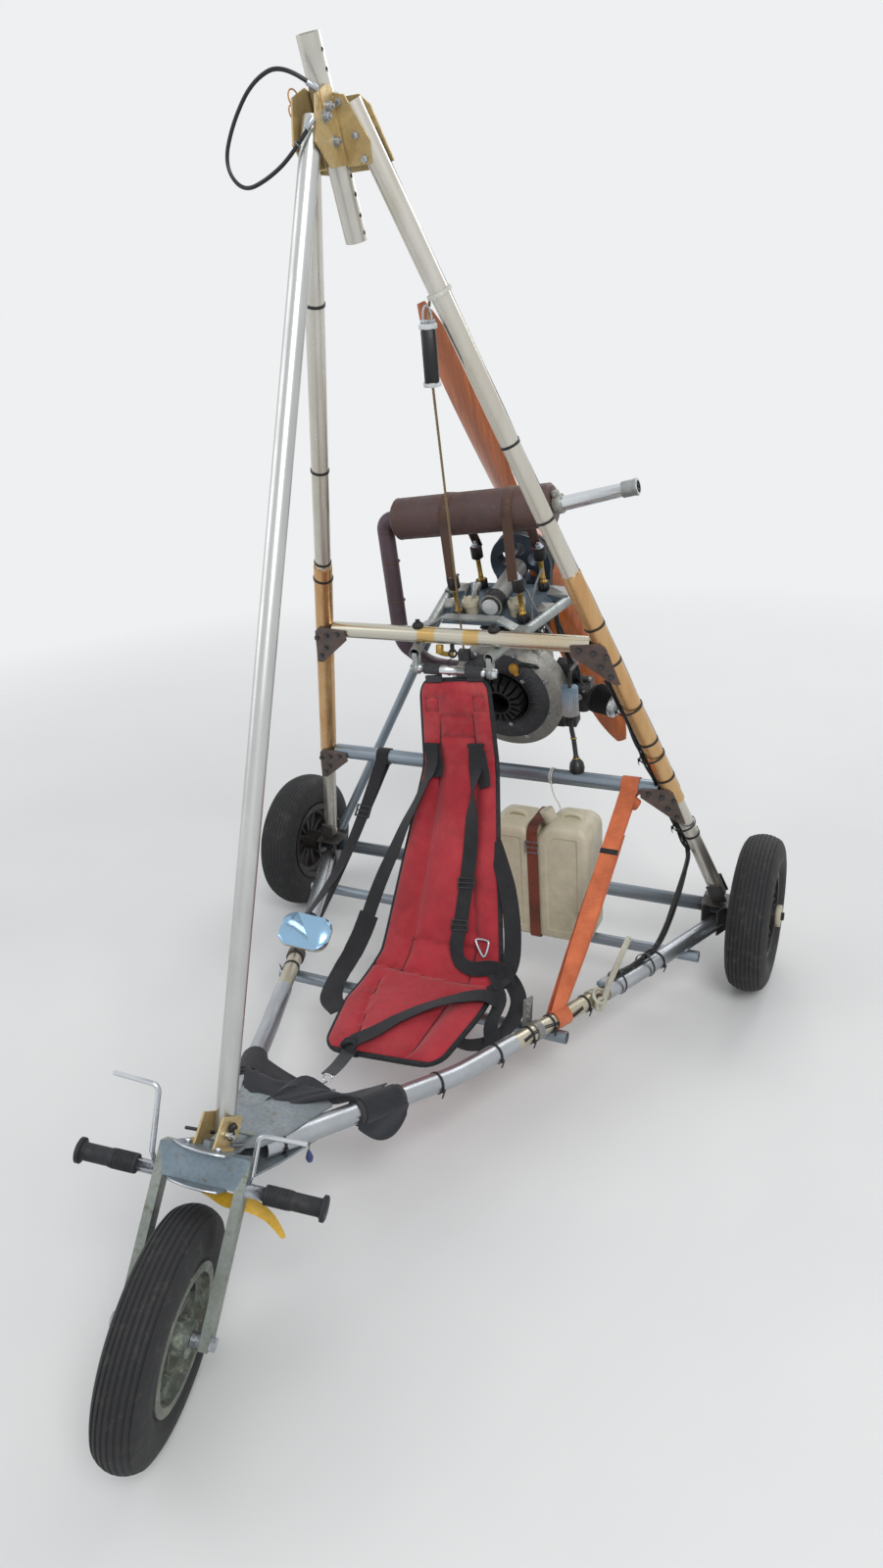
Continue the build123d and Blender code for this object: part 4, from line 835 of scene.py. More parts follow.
def simple(name, colour, metallic=0.0, rough=(0.4, 0.6), **settings):
    return worn(name, colour, scaled(colour, 0.72), scaled(colour, 0.4), metallic, rough, **settings)


def rope_fibre(name):
    s = Surface(name, 0.0, 0.9)
    strands = s.bands(110, "DIAGONAL", 0.5, 1)
    base = s.mixed(s.remap(strands, 0.2, 0.9), srgb(120, 98, 70), srgb(188, 164, 124))
    base = s.mixed(s.remap(s.noise(30, 6, 0.7), 0.5, 0.75, 0, 0.5), base, srgb(98, 82, 62))
    s.colour(base)
    s.rough(s.remap(strands, 0, 1, 0.95, 0.8))
    s.relief(strands, 0.5, 0.001)
    return s


def row(maker, *tones, **settings):
    """A finish: what makes it, its colours from the panel or as seen, 0 to 255, and its settings."""
    return maker, tones, settings


FINISHES = {
    "strut_tube": row(bright_tube, "bright_tube", stretch=(1, 1, 0.08)),
    "upright_tube": row(bright_tube, (216, 215, 210), (196, 189, 174), stretch=(1, 1, 0.08)),
    "sleeve_tube": row(worn, (212, 180, 132), "bronze_tint", (116, 90, 60), metallic=0.86,
        rough=(0.22, 0.36), stretch=(1, 1, 0.1), patch=4, dirt=(0.7, 0.88), bump=0, dust=0.15),
    "rail_tube": row(bright_tube, (196, 200, 204), (158, 164, 170), stretch=(1, 0.1, 1)),
    "rail_joint_tube": row(worn, (200, 197, 186), (184, 172, 142), (128, 114, 90), metallic=0.85,
        rough=(0.3, 0.42), stretch=(1, 0.2, 1), patch=4, dirt=(0.7, 0.88), bump=0),
    "cross_tube": row(grey_tube, "grey_tube", stretch=(0.1, 1, 1)),
    "brace_tube": row(grey_tube, "grey_tube", stretch=(1, 1, 0.1)),
    "gold_cross_tube": row(gold_tube),
    "hang_tube": row(bright_tube, (216, 215, 209), (186, 182, 172), stretch=(1, 1, 0.2)),
    "gold_plate": row(worn, (212, 192, 144), (178, 152, 104), (104, 84, 56), metallic=0.6,
        rough=(0.34, 0.55), patch=12, dirt=(0.6, 0.8), bump=0.06, dust=0.1),
    "brown_plate": row(worn, (112, 98, 92), (84, 74, 70), (120, 84, 60), metallic=0.3,
        rough=(0.5, 0.7), patch=16, dirt=(0.56, 0.72), bump=0.2, dust=0.1),
    "galvanised": row(worn, (172, 176, 174), (132, 138, 138), (96, 88, 76), metallic=0.7,
        rough=(0.36, 0.56), patch=18, dirt=(0.58, 0.76), bump=0.12, dust=0),
    "blue_grey_plate": row(simple, (96, 112, 124), metallic=0.35, rough=(0.4, 0.6), patch=14, bump=0.14),
    "nose_grey": row(worn, (150, 160, 166), (122, 132, 138), (124, 114, 94), metallic=0.5,
        rough=(0.36, 0.56), patch=15, dirt=(0.54, 0.72), bump=0.14, dust=0.3),
    "crown_grey": row(worn, (128, 146, 158), (108, 124, 134), (104, 96, 80), metallic=0.4,
        rough=(0.4, 0.58), patch=16, dirt=(0.54, 0.74), bump=0.14, dust=0.3),
    "blade_grey": row(worn, (152, 160, 154), (128, 136, 130), (104, 98, 80), metallic=0.45,
        rough=(0.4, 0.6), patch=18, dirt=(0.54, 0.72), bump=0.14, dust=0.35),
    "bright_steel": row(simple, (196, 202, 210), metallic=0.9, rough=(0.2, 0.4), patch=20, bump=0.08),
    "dark_steel": row(simple, (88, 88, 88), metallic=0.6, rough=(0.4, 0.6), patch=20, bump=0.12),
    "chrome": row(worn, (224, 228, 232), (206, 210, 214), (150, 148, 144), metallic=1.0,
        rough=(0.12, 0.2), stretch=(0.2, 1, 1), patch=5, dirt=(0.74, 0.92), bump=0, dust=0),
    "polished_alloy": row(simple, (196, 198, 198), metallic=0.85, rough=(0.18, 0.36), patch=18,
        bump=0.06),
    "cast_alloy": row(worn, (176, 174, 167), (142, 140, 134), (88, 80, 70), metallic=0.5,
        rough=(0.45, 0.65), patch=14, dirt=(0.56, 0.76), grain=300, bump=0.25, dust=0),
    "housing_grey": row(simple, (184, 184, 180), metallic=0.4, rough=(0.35, 0.55), patch=14, bump=0.06),
    "engine_black": row(worn, (58, 58, 58), (40, 40, 42), (92, 84, 74), metallic=0.4,
        rough=(0.45, 0.7), patch=16, dirt=(0.54, 0.72), grain=300, bump=0.35, dust=0),
    "cowl_grey": row(worn, (72, 74, 78), (56, 58, 62), (96, 90, 82), metallic=0.2, rough=(0.5, 0.7),
        patch=10, dirt=(0.56, 0.76), grain=320, bump=0.3, dust=0),
    "grille_black": row(rubber, (18, 18, 20), dusty=0, rough=(0.4, 0.6)),
    "black_plastic": row(rubber, (22, 23, 25), dusty=0.15, rough=(0.38, 0.6)),
    "mount_rubber": row(rubber, (20, 20, 21), dusty=0),
    "grip_rubber": row(rubber, (27, 30, 36), dusty=0.1),
    "sleeve_rubber": row(rubber, (40, 42, 46), dusty=0.15),
    "brass": row(simple, (188, 152, 78), metallic=0.85, rough=(0.28, 0.5), patch=24, bump=0.1),
    "tyre": row(tyre_rubber),
    "silencer_rust": row(rust, "rusty_steel"),
    "strap_rust": row(rust, (92, 70, 58), spread=(0.4, 0.62)),
    "pipe_rust": row(rust, (92, 76, 84), spread=(0.52, 0.72)),
    "dark_pulley": row(simple, (76, 88, 102), metallic=0.6, rough=(0.34, 0.5), patch=14, bump=0.12),
    "belt_black": row(rubber, (24, 24, 26), dusty=0),
    "propeller_wood": row(wood),
    "can_plastic": row(can_plastic),
    "cream_plastic": row(simple, (214, 206, 182), metallic=0.0, rough=(0.4, 0.6), patch=18, bump=0.12),
    "belt_leather": row(leather),
    # Mirror glass whose colour is a painted reflection of blue sky
    "mirror_glass": row(mirror_glass),
    "pale_lever": row(simple, (206, 204, 186), metallic=0.2, rough=(0.4, 0.6), patch=20, bump=0.1),
    "grey_lever": row(simple, (146, 148, 146), metallic=0.6, rough=(0.34, 0.5), patch=22, bump=0.1),
    "seat_cloth": row(seat_cloth),
    "black_webbing": row(webbing, "black_webbing", wear=0.3),
    "grey_webbing": row(webbing, (58, 60, 64), wear=0.4),
    "orange_webbing": row(webbing, "orange_strap", wear=0.45),
    "orange_knot": row(simple, "orange_strap", metallic=0.0, rough=(0.7, 0.9), patch=30, grain=500,
        bump=0.4),
    "grey_band": row(simple, (58, 60, 64), metallic=0.0, rough=(0.7, 0.9), patch=20, grain=500,
        bump=0.4),
    "sling_cloth": row(webbing, (27, 29, 37), wear=0.3),
    "tie_black": row(rubber, (15, 15, 16), dusty=0, rough=(0.35, 0.55)),
    "cable_black": row(rubber, (18, 18, 21), dusty=0, rough=(0.3, 0.5)),
    "cable_grey": row(rubber, (122, 124, 128), dusty=0, rough=(0.35, 0.55)),
    "orange_wire": row(simple, (196, 134, 64), metallic=0.0, rough=(0.4, 0.6), patch=30),
    "tan_rope": row(rope_fibre),
    "black_webbing_plain": row(rubber, (24, 25, 30), dusty=0, rough=(0.7, 0.9)),
    "white_string": row(simple, (222, 220, 212), metallic=0.0, rough=(0.6, 0.8), patch=40),
    "yellow_strip": row(simple, "yellow_strip", metallic=0.0, rough=(0.35, 0.55), patch=18, bump=0.12),
    "yellow_bulb": row(simple, (206, 150, 44), metallic=0.0, rough=(0.35, 0.55), patch=30),
    "cap_white": row(simple, (222, 226, 228), metallic=0.0, rough=(0.3, 0.5), patch=30),
    "light_blue": row(simple, (128, 158, 178), metallic=0.0, rough=(0.3, 0.5), patch=30),
    "filter_white": row(simple, (196, 186, 184), metallic=0.0, rough=(0.3, 0.5), patch=30),
    "red_plastic": row(simple, (184, 62, 58), metallic=0.0, rough=(0.35, 0.55), patch=30),
    "blue_plastic": row(simple, (44, 62, 120), metallic=0.0, rough=(0.3, 0.5), patch=30),
    "front_rim_alloy": row(worn, (120, 128, 122), (92, 100, 94), (166, 176, 160), metallic=0.5,
        rough=(0.42, 0.65), patch=20, dirt=(0.5, 0.66), bump=0.2, dust=0.5),
    "rear_rim_black": row(rubber, (24, 24, 26), dusty=0.15, rough=(0.4, 0.6)),
}
MADE = {}


def material(finish):
    """The material of a finish, made once."""
    if finish not in MADE:
        maker, tones, settings = FINISHES[finish]
        tones = [tuple(getattr(colours(), t)) if isinstance(t, str) else srgb(*t) for t in tones]
        MADE[finish] = maker(finish, *tones, **settings).material
    return MADE[finish]


# ---------------------------------------------------------------- the seat's own surface
SEAT_BAR = mm(0, DATUM_MM + 464, 871)
SEAT_SWAY = Matrix.Rotation(math.radians(-5.6), 3, "Y")
# Where the back meets the pan, along the seat, and how far the soft bend between them reaches
SEAT_BEND, BEND_REACH = 683, 90
# Distance along the seat from its top edge, station, height, middle and half width, in millimetres
SEAT_TABLE = (
    (0, 365, 846, -6, 84),
    (198, 334, 650, -8, 92),
    (434, 207, 452, -13, 122),
    (640, 96, 276, -16, 150),
    (683, 72, 242, -24, 160),
    (800, -45, 239, -30, 162),
    (949, -194, 224, -30, 135),
)


def seat_place(s, t, lift=0.0):
    """A place on the seat: s along it in millimetres, t across from -1 to 1, lift off it."""
    for a, b in zip(SEAT_TABLE, SEAT_TABLE[1:]):
        if s <= b[0] or b is SEAT_TABLE[-1]:
            share = (s - a[0]) / (b[0] - a[0])
            y, z, middle, half = (a[i] + (b[i] - a[i]) * share for i in range(1, 5))
            normal = to_front(Vector((0, -(b[2] - a[2]), b[1] - a[1])).normalized())
            break
    bend = max(0.0, 1 - abs(s - SEAT_BEND) / BEND_REACH)
    if bend:
        back, pan = Vector((0, -0.84, 0.54)), Vector((0, 0, 1))
        share = (s - SEAT_BEND + BEND_REACH) / (2 * BEND_REACH)
        normal = back.lerp(pan, min(max(share, 0), 1)).normalized()
        lift = lift + 10 * bend ** 2
    place = mm(middle + t * half, y, z) + normal * lift / 1000
    return SEAT_BAR + SEAT_SWAY @ (place - SEAT_BAR)


def seat_normal(s, t):
    return (seat_place(s, t, 20) - seat_place(s, t, 0)).normalized()


def seat_turn(s, t):
    """A 3x3 matrix at a place on the seat: across it, along it and off it."""
    return Matrix((
        (seat_place(s, t + 0.1) - seat_place(s, t - 0.1)).normalized(),
        (seat_place(s + 5, t) - seat_place(s - 5, t)).normalized(),
        seat_normal(s, t),
    )).transposed()


def seat_strap(name, route, width):
    """A flat strap over the seat; route gives s, t, the lift off the cloth and the roll in degrees."""
    divisions, cloth = 5, 11.0
    path = smooth_path([seat_place(s, t, cloth + lift) for s, t, lift, _ in route], divisions)
    ways = []
    for i in range(len(path)):
        run = run_at(path, i)
        share = i / divisions
        index = min(int(share), len(route) - 1)
        s, t, _, roll = route[index]
        next_roll = route[min(index + 1, len(route) - 1)][3]
        angle = math.radians(roll + (next_roll - roll) * (share - index))
        ways.append((Quaternion(run, angle) @ seat_normal(s, t)).cross(run))
    return ribbon(name, path, ways, width, 0.0024, rows=4)


# ---------------------------------------------------------------- operators
class Piece:
    bl_options = {"REGISTER", "UNDO"}


class TRIKE_OT_frame(Piece, bpy.types.Operator):
    """Gives the frame's tubes, plates and machine parts their finishes"""

    bl_idname = "trike.frame"
    bl_label = "Frame finishes"

    node_finish = {
        "strut": "strut_tube", "upright_left": "upright_tube", "upright_right": "upright_tube",
        "sleeves": "sleeve_tube", "upper_cross": "gold_cross_tube", "lower_cross": "cross_tube",
        "floor_tube_front": "cross_tube", "floor_tube_rear": "cross_tube",
        "rail_front_left": "rail_tube", "rail_front_right": "rail_tube",
        "rail_rear_left": "rail_tube", "rail_rear_right": "rail_tube",
        "rail_joints": "rail_joint_tube", "rail_grips": "sleeve_rubber", "braces": "brace_tube",
        "bearers": "galvanised", "hang_tube": "hang_tube", "head_plates": "gold_plate",
        "upper_gussets": "brown_plate", "lower_gussets": "brown_plate",
        "axle_brackets": "dark_steel", "nose_plates": "nose_grey", "strut_bracket": "gold_plate",
        "front_axle": "bright_steel", "exhaust_pipe": "pipe_rust", "tail_pipe": "chrome",
        "fan_grille": "grille_black", "big_pulley": "dark_pulley", "crank_pulley": "dark_pulley",
        "belt": "belt_black", "prop_shaft": "polished_alloy", "propeller": "propeller_wood",
        "rim_front": "front_rim_alloy", "rim_rear_left": "rear_rim_black",
        "rim_rear_right": "rear_rim_black",
    }

    def execute(self, context):
        for node, finish in self.node_finish.items():
            paint(NODES[node], finish)
        return {"FINISHED"}


class TRIKE_OT_rails(Piece, bpy.types.Operator):
    """Drawn tubes of the four rail lengths, with their open ends"""

    bl_idname = "trike.rails"
    bl_label = "Rails"

    # Outer radius, the share of it inside the wall, and how deep an open end shows
    outer_r, inner_share, open_depth = 0.02, 0.9, 0.03

    def execute(self, context):
        inset, count, sides = 0.024, 44, 44
        for node in ("rail_front_left", "rail_front_right", "rail_rear_left", "rail_rear_right"):
            low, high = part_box(node)
            points = [v.co for v in NODES[node].data.vertices]
            line = [tube_slice(node, 1, low[1] + inset + (high[1] - low[1] - 2 * inset) * i / count)
                    for i in range(count + 1)]
            # Both ends run on straight to the outermost points of the tube
            for end, beside, first in ((line[0], line[3], True), (line[-1], line[-4], False)):
                way = (end - beside).normalized()
                reach = max((p - end).dot(way) for p in points if (p - end).length < 0.09)
                place = end + way * (reach - 0.0002)
                line = [place] + line if first else line + [place]
            verts, faces = [], tube_faces(len(line), sides)
            across = run_at(line, 0).orthogonal().normalized()
            for i, centre in enumerate(line):
                way = run_at(line, i)
                across = (across - way * across.dot(way)).normalized()
                up = way.cross(across)
                for k in range(sides):
                    angle = 2 * math.pi * k / sides
                    out = across * math.cos(angle) + up * math.sin(angle)
                    verts.append(centre + out * self.outer_r)
            # Each end shows its wall and is closed a little inside
            for i, sign in ((0, 1), (len(line) - 1, -1)):
                way = run_at(line, i) * sign
                centre, start = line[i], i * sides
                wall, deep = len(verts), len(verts) + sides
                for reach in (0, self.open_depth):
                    for k in range(sides):
                        inside = (verts[start + k] - centre) * self.inner_share
                        verts.append(centre + inside + way * reach)
                for k in range(sides):
                    n = (k + 1) % sides
                    for ring_a, ring_b in ((start, wall), (wall, deep)):
                        face = (ring_a + k, ring_b + k, ring_b + n, ring_a + n)
                        faces.append(face if sign > 0 else face[::-1])
                cap = tuple(deep + k for k in range(sides))
                faces.append(cap[::-1] if sign > 0 else cap)
            tube = shell(node + "_tube", verts, faces)
            in_edit(tube, (bpy.ops.mesh.normals_make_consistent, dict(inside=False)))
            smooth(tube, 40)
            dress(tube, node + "_tube", "rail_tube")
            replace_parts(tube, node)
        return {"FINISHED"}


class TRIKE_OT_mixed(Piece, bpy.types.Operator):
    """Dresses the parts that carry more than one finish"""

    bl_idname = "trike.mixed"
    bl_label = "Parts of several finishes"

    glass_middle = mm(-300, DATUM_MM + 165, 292)
    glass_normal = Vector((0.25, -0.45, 0.86)).normalized()

    def axle(self, centre, normal):
        """Hub caps with a dark bore at both ends."""
        if abs(centre.x) <= 0.7055:
            return "cross_tube"
        middle = rear_hub(1)
        reach = Vector((centre.y - middle.y, centre.z - middle.z)).length
        return "cream_plastic" if reach > 0.0115 else "mount_rubber"

    def plate(self, centre, normal):
        """The shaft's housing with its dark bore, and the plate below it."""
        place = from_engine(centre)
        radius = math.hypot(place.x, place.z)
        if radius < 24 and place.y < 2:
            return "mount_rubber"
        if radius < 30.5 and place.y < 35:
            return "mount_rubber" if radius > 28 else "housing_grey"
        return "housing_grey" if radius < 24 or place.z > -20 else "blue_grey_plate"

    def mount(self, centre, normal):
        return "brass" if -11.9 < from_engine(centre).z < 51.9 else "mount_rubber"

    def drum(self, centre, normal):
        """Straps stand proud of the silencer's wall."""
        low, high = SILENCER_ENDS
        run, offset = (high - low).normalized(), centre - low
        radius = (offset - run * offset.dot(run)).length
        return "strap_rust" if radius > 0.0489 else "silencer_rust"

    def fork(self, centre, normal):
        """Crown between the blades, blades, and the bright pegs and hooks outside them."""
        place = from_fork(centre)
        side = abs(place.x)
        if side < 60.9:
            return "crown_grey"
        return "blade_grey" if side < 77.2 and -17 < place.y < 20 else "bright_steel"

    def cowl(self, centre, normal):
        place = from_engine(centre)
        radius = math.hypot(place.x, place.z - FAN_Z)
        return "cowl_grey" if place.y < -20.2 or (radius < 127 and place.y < 30) else "cast_alloy"

    def engine(self, centre, normal):
        return "engine_black" if from_engine(centre).z > -180 else "cast_alloy"

    def carburettor(self, centre, normal):
        """The fuel filter in front, its hoses on top, and the flange beside the engine."""
        if 0.195 < centre.x < 0.237 and centre.y < 0.566 and 0.7005 < centre.z < 0.788:
            if centre.z > 0.752:
                return "light_blue"
            return "filter_white" if centre.z > 0.717 else "mount_rubber"
        if centre.z > 0.775 and centre.x > 0.19:
            return "cable_black"
        return "engine_black" if from_engine(centre).x > 160 else "cast_alloy"

    def levers(self, centre, normal):
        return "grey_lever" if centre.y < 0.06 else "pale_lever"

    def bar(self, centre, normal):
        """Chrome bar with its grey tape and galvanised hangers."""
        side = abs(centre.x)
        if centre.z < 0.8595 or 0.0319 < side < 0.0721 and centre.z < 0.886:
            return "grey_band"
        return "galvanised" if 0.084 < side < 0.1 else "chrome"

    def starter(self, centre, normal):
        if centre.z > 1.625:
            return "white_string"
        handle = 1.488 < centre.z < 1.592 and 0.07 < centre.x < 0.125
        return "black_plastic" if handle else "tan_rope"

    def mirror(self, centre, normal):
        height = (centre - self.glass_middle).dot(self.glass_normal)
        if abs(height) < 0.0004 and normal.dot(self.glass_normal) > 0.9:
            return "mirror_glass"
        rim = (centre - mm(-320, 60, 284)).length < 0.09 and height > -0.0093
        return "cream_plastic" if rim else "dark_steel"

    def execute(self, context):
        # CAD node, the piece that stands for it, its finishes, what picks one for a face, and its slot
        for node, name, finishes, pick, slot in (
            ("axle", "axle_tube", ("cross_tube", "cream_plastic", "mount_rubber"), self.axle,
             "tube_grey"),
            ("engine_plate", "engine_plate_dressed", ("blue_grey_plate", "housing_grey", "mount_rubber"),
             self.plate, "cast_alloy"),
            ("engine_mounts", "rubber_mounts", ("mount_rubber", "brass"), self.mount, "black_rubber"),
            ("silencer", "silencer_drum", ("silencer_rust", "strap_rust"), self.drum, "rust_brown"),
            ("fork", "fork_dressed", ("crown_grey", "blade_grey", "bright_steel"), self.fork,
             "zinc_steel"),
            ("fan_cowl", "fan_cowl_dressed", ("cast_alloy", "cowl_grey"), self.cowl, "cast_alloy"),
            ("engine", "engine_block", ("engine_black", "cast_alloy"), self.engine, "cast_alloy"),
            ("carburettor", "carburettor_dressed",
             ("light_blue", "filter_white", "mount_rubber", "cable_black", "engine_black", "cast_alloy"),
             self.carburettor, "cast_alloy"),
            ("hand_levers", "lever_plates", ("grey_lever", "pale_lever"), self.levers, "grey_lever"),
            ("seat_bar", "seat_bar_dressed", ("chrome", "grey_band", "galvanised"), self.bar,
             "bright_chrome"),
            ("starter_rope", "starter_rope_dressed", ("tan_rope", "black_plastic", "white_string"),
             self.starter, "black_plastic"),
            ("mirror", "mirror_dressed", ("mirror_glass", "cream_plastic", "dark_steel"), self.mirror,
             "mirror_glass"),
        ):
            welded_copy(node, name, finishes, pick, "fork" if node == "fork" else "frame")
        return {"FINISHED"}


class TRIKE_OT_wheels(Piece, bpy.types.Operator):
    """Ribbed tyres, thin spokes and valves"""

    bl_idname = "trike.wheels"
    bl_label = "Wheels"

    bead_r, bead_half, wall_r, rim_r = 0.1043, 0.033, 0.1133, 0.104

    def tyre(self, name, node, centre, axis, radius, width, body, grooves):
        half = width / 2
        tread_half, tread_r = 0.76 * half, radius - 0.011
        profile = [(self.bead_r, -self.bead_half), (self.wall_r, -self.bead_half)]

        def arc(start, middle, end, count):
            """Points on the arc through three given ones, without the first."""
            ax, ay = start
            bx, by = middle
            cx, cy = end
            d = 2 * (ax * (by - cy) + bx * (cy - ay) + cx * (ay - by))
            ux = ((ax * ax + ay * ay) * (by - cy) + (bx * bx + by * by) * (cy - ay)
                  + (cx * cx + cy * cy) * (ay - by)) / d
            uy = ((ax * ax + ay * ay) * (cx - bx) + (bx * bx + by * by) * (ax - cx)
                  + (cx * cx + cy * cy) * (bx - ax)) / d
            size = math.hypot(ax - ux, ay - uy)
            first, mid, last = (math.atan2(y - uy, x - ux) for x, y in (start, middle, end))
            if not min(first, last) < mid < max(first, last):
                first, last = (first + 2 * math.pi if first < 0 else first,
                               last + 2 * math.pi if last < 0 else last)
            return [
                (ux + size * math.cos(first + (last - first) * i / count),
                 uy + size * math.sin(first + (last - first) * i / count))
                for i in range(1, count + 1)
            ]

        side = arc((self.wall_r, -self.bead_half), ((self.wall_r + tread_r) / 2, -half),
                   (tread_r, -tread_half), 12)
        # Two rings of the wall stand out and one is sunk
        lips = {2: -0.0011, 3: -0.0011, 7: 0.0011}
        profile += [(r, h + lips.get(i, 0)) for i, (r, h) in enumerate(side)]
        crown = arc((tread_r, -tread_half), (radius, 0), (tread_r, tread_half), grooves * 6)
        for i, (r, h) in enumerate(crown[:-1]):
            profile.append((r - (sizes().tread_groove if i % 6 in (2, 3) else 0), h))
        profile.append(crown[-1])
        profile += [(r, -h) for r, h in reversed(profile[:14])]
        piece = lathe(name, profile, centre, axis, 96)
        dress(piece, name, "tyre", body)
        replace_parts(piece, node)

    def execute(self, context):
        front = mm(3.454, -860.496, 188.297)
        spoke_in, spoke_out, rim_reach = 0.026, 0.096, 0.096
        self.tyre("tyre_front_ribbed", "tyre_front", front, FORK_SIDE, 0.191, 0.082, "wheel_front", 7)
        for name, side in SIDES:
            centre = rear_hub(side)
            body = "wheel_rear_" + name
            self.tyre(f"tyre_rear_{name}_ribbed", f"tyre_rear_{name}", centre, (1, 0, 0), 0.197, 0.098,
                      body, 8)
            # Thin ribs between the spokes, as on a moulded wheel
            ribs = []
            count = sizes().rear_spokes
            for i in range(count):
                angle = 2 * math.pi * (i + 0.25) / count
                way = Vector((0, math.sin(angle), math.cos(angle)))
                ribs.append(rod(centre + way * spoke_in + ACROSS * side * 0.02,
                                centre + way * spoke_out + ACROSS * side * 0.03, 0.006, sides=8))
            fit(f"wheel_ribs_{name}", ribs, "rear_rim_black", body)
        # Valve on each rim
        for body, centre, axis, name in (
            ("wheel_front", front, FORK_SIDE, "front"),
            ("wheel_rear_left", rear_hub(1), ACROSS, "rear_left"),
            ("wheel_rear_right", rear_hub(-1), -ACROSS, "rear_right"),
        ):
            way = (turn_to(axis) @ spoke(0.9)).normalized()
            base = centre + way * rim_reach + axis * 0.02
            valve = joined(
                "valve",
                rod(base + way * 0.003, base - way * 0.018 + axis * 0.006, 0.007, sides=12),
                rod(base - way * 0.017 + axis * 0.0058, base - way * 0.028 + axis * 0.009, 0.0085,
                    sides=12, bevel=0.0008),
            )
            dress(valve, f"valve_{name}", "mount_rubber", body)
        return {"FINISHED"}


